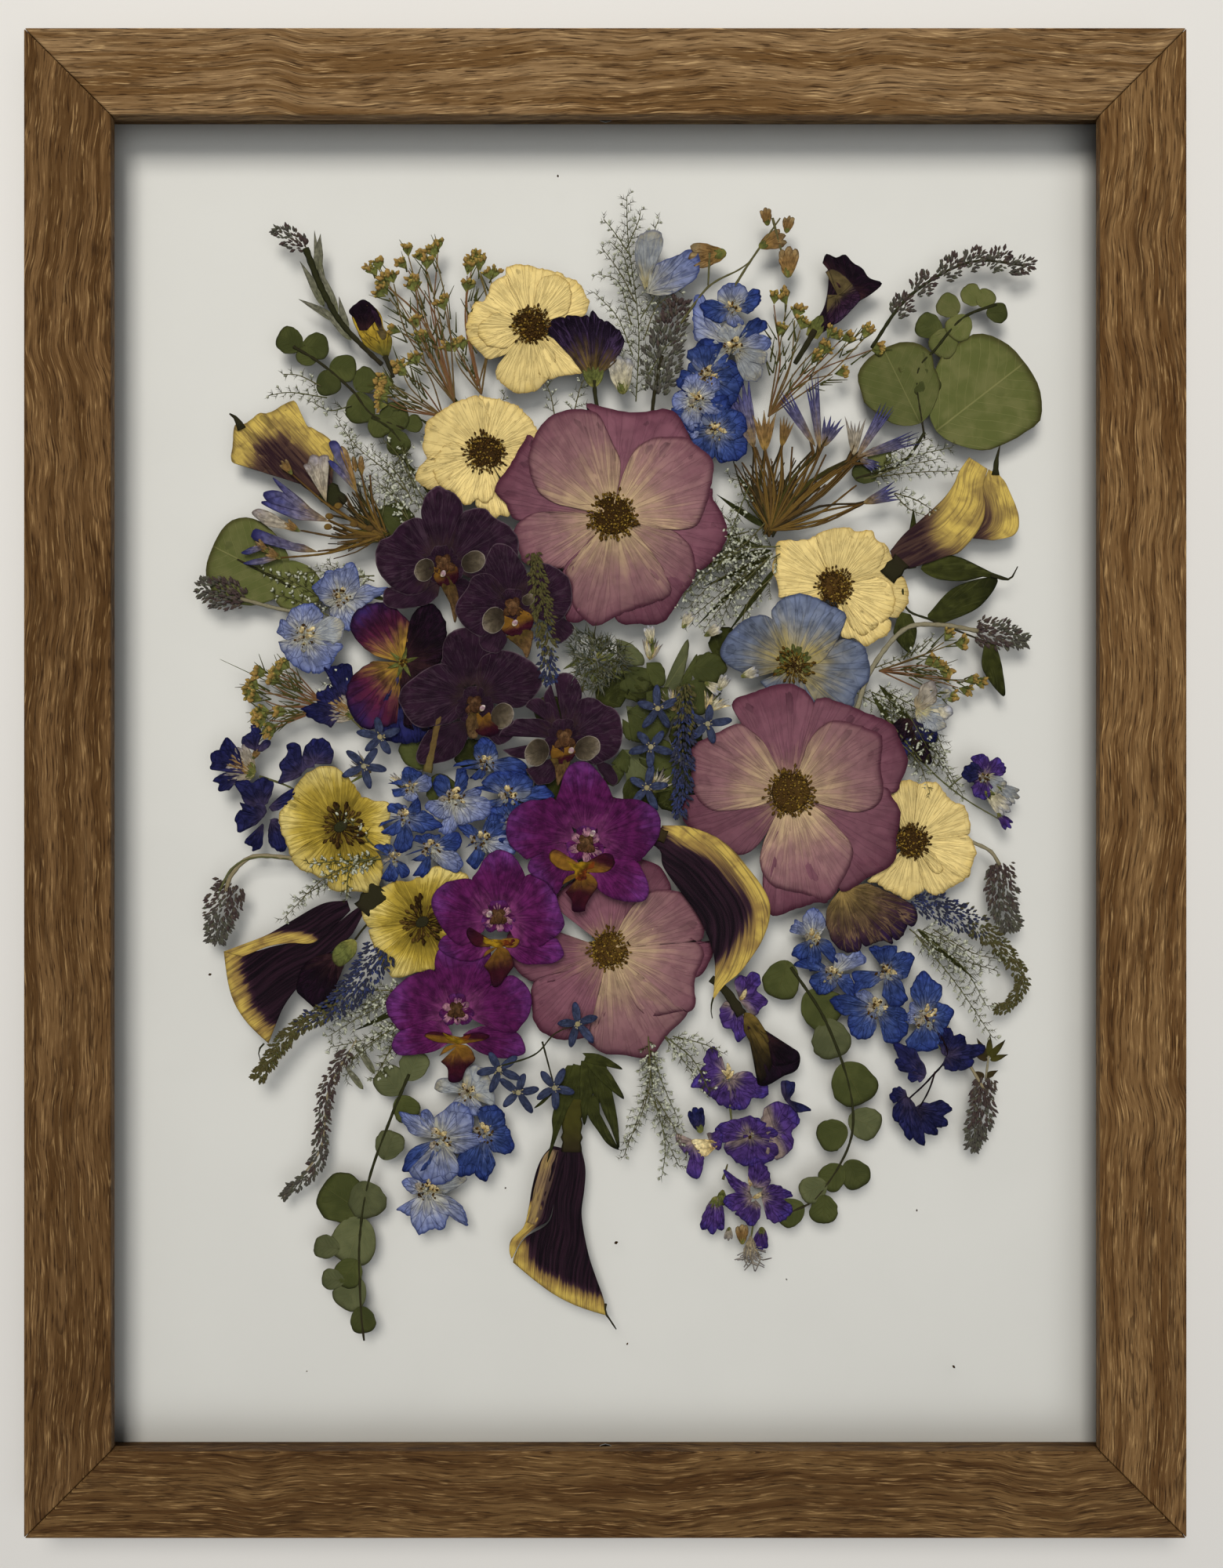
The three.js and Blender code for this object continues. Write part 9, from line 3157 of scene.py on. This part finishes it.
    Orchid("purple_orchid_left", [(purple, PURPLE_LEFT.at(740, 700),
            PURPLE_LEFT.trace(600, 600, 520, 470, 488, 380, 540, 310, 600, 198, 680, 128, 760, 113,
                852, 148, 912, 218, 962, 308, 980, 390, 930, 500, 860, 620)),
            (purple, PURPLE_LEFT.at(660, 940), PURPLE_LEFT.trace(560, 900, 400, 960, 260, 900, 188, 960,
                    176, 1020, 248, 1082, 360, 1132, 480, 1142, 582, 1112, 660, 1040)),
            (purple, PURPLE_LEFT.at(790, 960), PURPLE_LEFT.trace(800, 1040, 862, 1100, 962, 1167,
                    1100, 1174, 1242, 1162, 1322, 1112, 1340, 1060, 1302, 980, 1262, 930, 1100, 940,
                    880, 920)), (purple, PURPLE_LEFT.at(650, 760),
                PURPLE_LEFT.trace(640, 640, 560, 480, 478, 383, 350, 388, 240, 418, 148, 498, 112, 600,
                    138, 702, 188, 802, 248, 892, 330, 972, 400, 998, 500, 950, 600, 860)),
            (purple, PURPLE_LEFT.at(800, 740), PURPLE_LEFT.trace(850, 600, 900, 480, 975, 360, 1080, 328,
                    1182, 368, 1252, 478, 1282, 580, 1312, 680, 1348, 800, 1292, 892, 1202, 952,
                    1120, 1012, 1000, 1022, 900, 960, 830, 840))],
        [(shield, PURPLE_LEFT.at(720, 980), PURPLE_LEFT.trace(640, 1010, 510, 1000, 440, 900, 460, 830,
                540, 870, 640, 940, 720, 960, 800, 930, 930, 940, 900, 1010, 820, 1020)),
            (shield, PURPLE_LEFT.at(720, 1020), PURPLE_LEFT.trace(590, 1110, 620, 1050, 720, 1010,
                    810, 1030, 862, 1120, 876, 1190, 802, 1290, 742, 1372, 678, 1372, 650, 1260,
                    598, 1190)), (rust, PURPLE_LEFT.at(720, 970),
                PURPLE_LEFT.trace(572, 903, 602, 977, 676, 1007, 727, 1022, 794, 1007, 875, 992, 883, 940,
                    816, 948, 735, 940, 661, 940))], [], (PURPLE_LEFT.at(735, 740), 3.4, -90),
        PURPLE_LEFT.at(652, 705), Finish.ORCHID_PINK).build()
    Orchid("purple_orchid_upper", [(purple, PURPLE_UPPER.at(750, 690),
            PURPLE_UPPER.trace(600, 600, 520, 480, 508, 400, 540, 310, 570, 198, 620, 108, 700, 70,
                772, 78, 832, 118, 882, 178, 942, 258, 978, 340, 994, 400, 940, 540, 860, 640)),
            (purple, PURPLE_UPPER.at(660, 860), PURPLE_UPPER.trace(640, 800, 520, 743, 400, 788, 308, 880,
                    268, 960, 300, 1030, 400, 1080, 470, 1150, 512, 1202, 570, 1120, 660, 1020,
                    700, 930)), (purple, PURPLE_UPPER.at(800, 880),
                PURPLE_UPPER.trace(780, 1000, 820, 1080, 862, 1152, 962, 1222, 1082, 1257, 1202, 1264,
                    1272, 1242, 1298, 1160, 1282, 1080, 1242, 990, 1205, 930, 1100, 850, 960, 800,
                    860, 840)), (purple, PURPLE_UPPER.at(680, 720),
                PURPLE_UPPER.trace(640, 620, 580, 500, 482, 378, 400, 398, 300, 398, 220, 428, 138, 490,
                    98, 560, 88, 700, 130, 792, 200, 852, 270, 902, 380, 830, 500, 770, 620, 760)),
            (purple, PURPLE_UPPER.at(860, 700), PURPLE_UPPER.trace(860, 600, 930, 500, 985, 388,
                    1080, 388, 1200, 393, 1302, 438, 1372, 500, 1398, 590, 1382, 700, 1332, 792,
                    1252, 882, 1210, 920, 1100, 870, 980, 820, 880, 780))],
        [(shield, PURPLE_UPPER.at(720, 950), PURPLE_UPPER.trace(660, 1000, 560, 990, 470, 930, 450, 860,
                490, 815, 560, 840, 620, 900, 720, 930, 830, 900, 900, 850, 980, 860, 1010, 930,
                960, 1000, 860, 1015, 760, 1010)), (shield, PURPLE_UPPER.at(720, 1030),
                PURPLE_UPPER.trace(558, 1120, 600, 1050, 720, 1010, 810, 1030, 864, 1120, 802, 1222,
                    762, 1292, 750, 1342, 650, 1342, 640, 1252, 588, 1180)),
            (rust, PURPLE_UPPER.at(720, 970), PURPLE_UPPER.trace(579, 896, 602, 955, 661, 992, 668, 1059,
                    720, 1103, 772, 1059, 772, 992, 838, 970, 868, 911, 794, 926, 727, 918, 661, 948))],
        [], (PURPLE_UPPER.at(760, 780), 3.8, -95), PURPLE_UPPER.at(820, 680), Finish.ORCHID_PINK).build()


def loose_pieces() -> None:
    """Lays down the small sprigs that rest on other plants, one layer up from what they rest on."""
    stars = Pressed("star_flowers", "dark_orchid_upper", 0.35)
    for path in (trace(632, 1368, 680, 1352, 706, 1325, 736, 1312), trace(690, 1335, 706, 1395)):
        stars.stem(path, 0.9, Finish.DARK_STEM, 0.6)
    for centre, turn in ((at(840, 902), 20), (at(831, 952), 50), (at(905, 922), 5), (at(826, 1005), 80),
            (at(736, 1312), 30), (at(458, 977), 60), (at(479, 939), 15), (at(634, 1371), 40),
            (at(659, 1401), 10), (at(706, 1395), 65)):
        star_flower(stars, centre, span(30), turn, stars.rng.uniform(0, 0.3))
    for spot, aim in ((at(872, 798), 60), (at(832, 818), 100), (at(901, 808), 30), (at(901, 868), 330),
            (at(948, 861), 20), (at(918, 880), 60)):
        bud(stars, spot, 8.5, aim, Finish.PALE_SEPAL, 0.2, 0.4)
    stars.build()
    thistle = Pressed("thistle", "rose_top", 0.1)
    heart, rng = RIGHT_ORCHID.at(1050, 1250), thistle.rng
    for number in range(16):
        aim = rng.uniform(0, 360)
        thistle.petal(polar(heart, rng.uniform(0, 8), aim), aim + rng.uniform(-60, 60),
            rng.uniform(6, 10), rng.uniform(1.6, 3.0), Finish.SEPAL, PetalForm.LANCE, 0.1, CRINKLED,
            rng.uniform(-0.3, 0.3), 0.1, 4, 20)
    for number in range(620):
        aim = rng.uniform(0, 360)
        reach = 15.0 * math.sqrt(rng.uniform()) * (1.0 + 0.25 * math.sin(math.radians(aim) * 3 + 1))
        thistle.strew(BitForm.NEEDLE, (Finish.THISTLE, Finish.GREY_NEEDLE, Finish.NEEDLE)[number % 3],
            polar(heart, reach * 0.8, aim), 0.2 + rng.uniform(0, 0.8), aim + rng.normal(0, 55),
            rng.uniform(2.5, 6.5), rng.uniform(0.0, 0.5), 0.25)
    thistle.stem(trace(556, 912, 549, 945, 540, 985), 3.4, Finish.RED_STEM, 4.4)
    thistle.build()
    spikes = Pressed("veronica", "dark_orchid_right", 0.3)
    bud_spike(spikes, trace(679, 700, 690, 770, 697, 832, 700, 870), (6, 9, 10, 6),
        (Finish.VERONICA_GREEN, Finish.VERONICA_GREEN, Finish.VERONICA_BLUE), 0.1, 2.6, 4.8)
    bud_spike(spikes, trace(876, 870, 874, 930, 872, 1000, 868, 1042), (7, 9, 10, 5),
        (Finish.VERONICA_GREEN, Finish.VERONICA_BLUE, Finish.VERONICA_BLUE), 0.1, 2.6, 4.8)
    bud_spike(spikes, trace(482, 1216, 450, 1262, 415, 1292, 365, 1322, 318, 1384), (16, 15, 8, 6, 5),
        (Finish.VERONICA_BLUE, Finish.VERONICA_BLUE, Finish.VERONICA_GREEN, Finish.VERONICA_GREEN), 0.1,
        2.4, 5.6)
    spikes.build()
    sprays = Pressed("limonium", "poppy_left", 0.55)
    for path, reach in ((trace(470, 1080, 440, 1050, 424, 1036), 4),
            (trace(480, 1098, 430, 1100, 386, 1104), 5), (trace(476, 1094, 410, 1120, 352, 1176), 6),
            (trace(470, 1096, 440, 1110, 434, 1150), 5), (trace(1000, 700, 950, 730, 876, 790), 8),
            (trace(1000, 690, 940, 700, 866, 760), 8), (trace(990, 700, 930, 760, 900, 800), 7),
            (trace(960, 610, 940, 660, 920, 720), 6), (trace(980, 660, 950, 690, 910, 712), 6)):
        spray(sprays, path, reach, 0.1, 0.5)
    sprays.build()
    larkspur = Pressed("larkspur_right", "greens_right", 0.9)
    larkspur.stem(trace(1140, 915, 1195, 980, 1240, 1018, 1290, 1048), 0.9, Finish.STEM, 0.6)
    larkspur.stem(trace(1222, 1004, 1240, 990, 1262, 985), 0.8, Finish.STEM, 0.6)
    for number, (aim, length) in enumerate(((250, 19), (285, 22), (315, 15), (225, 12))):
        larkspur.petal(at(1172, 916), aim, length, 9, (Finish.NAVY, Finish.BLACK)[number % 2],
            PetalForm.OVAL, number * 0.08, CRINKLED, 0.1, 0.2, 6, 36)
    for number, (aim, finish) in enumerate(((20, Finish.PALE_BLUE), (-14, Finish.PALE_SEPAL),
            (-42, Finish.PALE_BLUE), (48, Finish.DRY_PETAL))):
        larkspur.petal(at(1178, 902), aim, 18 - number, 9, finish, PetalForm.OVAL, 0.3 + number * 0.08,
            CRINKLED, 0.15, 0.2, 6, 36)
    for number, (aim, finish) in enumerate(((100, Finish.PURPLE), (30, Finish.PURPLE), (160, Finish.NAVY),
            (-40, Finish.PALE_BLUE), (-110, Finish.PURPLE))):
        larkspur.petal(at(1268, 990), aim, 10.5, 9, finish, PetalForm.ROUND, 0.3 + number * 0.07,
            CRINKLED, 0.1, 0.25, 5, 32)
    tuft(larkspur, at(1266, 992), 3.0, 0.7)
    for spot, length, aim, finish in ((at(1268, 1008), 15, -42, Finish.PALE_SEPAL),
            (at(1282, 1002), 12, -28, Finish.PALE_BLUE), (at(1284, 1038), 9, -48, Finish.PURPLE)):
        bud(larkspur, spot, length, aim, finish, 0.3, 0.38)
    larkspur.build()
    specks = Pressed("fallen_specks", "greens_bottom_right", 0.0)
    for spot, aim, size in ((at(784, 1602), 20, 1.6), (at(800, 1735), 60, 1.2), (at(710, 205), 100, 1.0),
            (at(252, 1250), 10, 1.2), (at(1230, 1765), 140, 1.4), (at(640, 1530), 30, 0.8),
            (at(1180, 1560), 80, 0.9), (at(380, 1770), 40, 0.8), (at(1010, 1650), 120, 0.8)):
        specks.strew(BitForm.GRAIN, Finish.BROWN_STAMEN, spot, 0.0, aim, size, 0.1, 0.2)
    specks.build()


# ---- The frame, the glass and the studio ------------------------------------------------------


@dataclass
class FloatingFrame:
    """The rails, panes and steel parts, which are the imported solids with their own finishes."""

    nodes: dict[str, bpy.types.Object]
    edge: float = 0.7
    edge_steps: int = 3
    sharpest: float = 40.0
    weld_reach: float = 0.01

    def paint(self, name: str, finish: Finish) -> None:
        """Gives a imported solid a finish.

        Args:
            name: The solid.
            finish: Its finish.
        """
        body = self.nodes[name]
        for slot in body.material_slots:
            slot.material = finish.material()

    def build(self) -> None:
        """Finishes every solid of the frame and eases the edges of the wood."""
        # Each rail takes its own copy of the oak, lighter on top and darker on the left and bottom: painted
        # light and shade.
        for side, finish in (("top", Finish.OAK_TOP), ("bottom", Finish.OAK_BOTTOM),
                             ("left", Finish.OAK_LEFT), ("right", Finish.OAK_RIGHT)):
            name = f"rail_{side}"
            self.paint(name, finish)
            weld = self.nodes[name].modifiers.new("Joined corners", "WELD")
            weld.merge_threshold = self.weld_reach * MM
            bevel = self.nodes[name].modifiers.new("Eased edges", "BEVEL")
            bevel.width, bevel.segments = self.edge * MM, self.edge_steps
            bevel.limit_method, bevel.angle_limit = "ANGLE", math.radians(self.sharpest)
            self.paint(f"glazing_point_{side}", Finish.STEEL)
        self.paint("hanger", Finish.STEEL)
        for name in ("glass_front", "glass_back"):
            self.paint(name, Finish.GLASS)
        LOG.info("frame: rails, panes and steel parts finished")


@dataclass
class Studio:
    """A pale floor, soft lights and the camera. Places and sizes are in metres."""

    size: float = 3.0
    thickness: float = 0.004
    gap: float = 0.0004
    steps: int = 24
    camera_place: tuple[float, float, float] = (0.0028, -0.0004, 0.53)
    lens: float = 26.0
    sensor: float = 36.0
    ambience: float = 0.14

    def floor(self) -> None:
        """Lays the floor under the frame."""
        half, steps = self.size / 2, self.steps
        line = np.linspace(-half, half, steps)
        top = np.array([(x, y, 0.0) for y in line for x in line])
        faces = [(r * steps + c, r * steps + c + 1, (r + 1) * steps + c + 1, (r + 1) * steps + c)
                 for r in range(steps - 1) for c in range(steps - 1)]
        loop = [*range(steps), *(r * steps + steps - 1 for r in range(1, steps)),
                *(steps * steps - 1 - c for c in range(1, steps)),
                *(r * steps for r in range(steps - 2, 0, -1))]
        places, faces, _ = closed_sheet(top, faces, loop, self.thickness)
        mesh = bpy.data.meshes.new("floor")
        mesh.from_pydata(places - np.array([0, 0, self.gap]), [], faces)
        mesh.materials.append(Finish.FLOOR.material())
        body = bpy.data.objects.new("floor", mesh)
        bpy.context.scene.collection.objects.link(body)

    def light(self, name: str, place: tuple[float, float, float], size: float, power: float,
              colour: Colour) -> None:
        """Adds a soft square light that looks at the frame.

        Args:
            name: The light's name.
            place: Where it hangs, in metres.
            size: Its side.
            power: Its power, in watts.
            colour: Its colour.
        """
        data = bpy.data.lights.new(name, "AREA")
        data.shape, data.size, data.energy, data.color = "SQUARE", size, power, colour
        lamp = bpy.data.objects.new(name, data)
        lamp.location = place
        lamp.rotation_euler = (Vector((0, 0, 0)) - Vector(place)).to_track_quat("-Z", "Y").to_euler()
        lamp.visible_glossy = False
        bpy.context.scene.collection.objects.link(lamp)

    def build(self) -> None:
        """Sets up the whole studio."""
        scene = bpy.context.scene
        self.floor()
        self.light("window", (-0.3, 1.15, 2.05), 1.1, 42.0, (1.0, 0.975, 0.94))
        self.light("room", (0.5, -0.4, 2.2), 2.4, 25.0, (0.95, 0.97, 1.0))
        world = bpy.data.worlds.new("soft room")
        world.use_nodes = True
        back = world.node_tree.nodes["Background"]
        back.inputs["Color"].default_value = (0.93, 0.96, 1.0, 1.0)
        back.inputs["Strength"].default_value = self.ambience
        scene.world = world
        camera = bpy.data.objects.new("camera", bpy.data.cameras.new("camera"))
        camera.data.lens = self.lens
        camera.data.sensor_width = self.sensor
        camera.data.clip_start = 0.01
        camera.location = self.camera_place
        scene.collection.objects.link(camera)
        scene.camera = camera
        scene.view_settings.view_transform = "Standard"
        LOG.info("studio: floor, lights and camera set")


def main() -> None:
    """Builds the frame and its bunch, piece by piece."""
    logging.basicConfig(level=logging.INFO, format="%(message)s")
    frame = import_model()
    FloatingFrame(frame["nodes"]).build()
    for plant in (greenery, understory, side_flowers, callas, blooms, orchids, loose_pieces):
        plant()
    for form in BitForm:
        spare = bpy.data.objects.get(f"bit_{form.name.lower()}")
        if spare:
            bpy.data.objects.remove(spare)
    Studio().build()


if __name__ == "__main__":
    main()
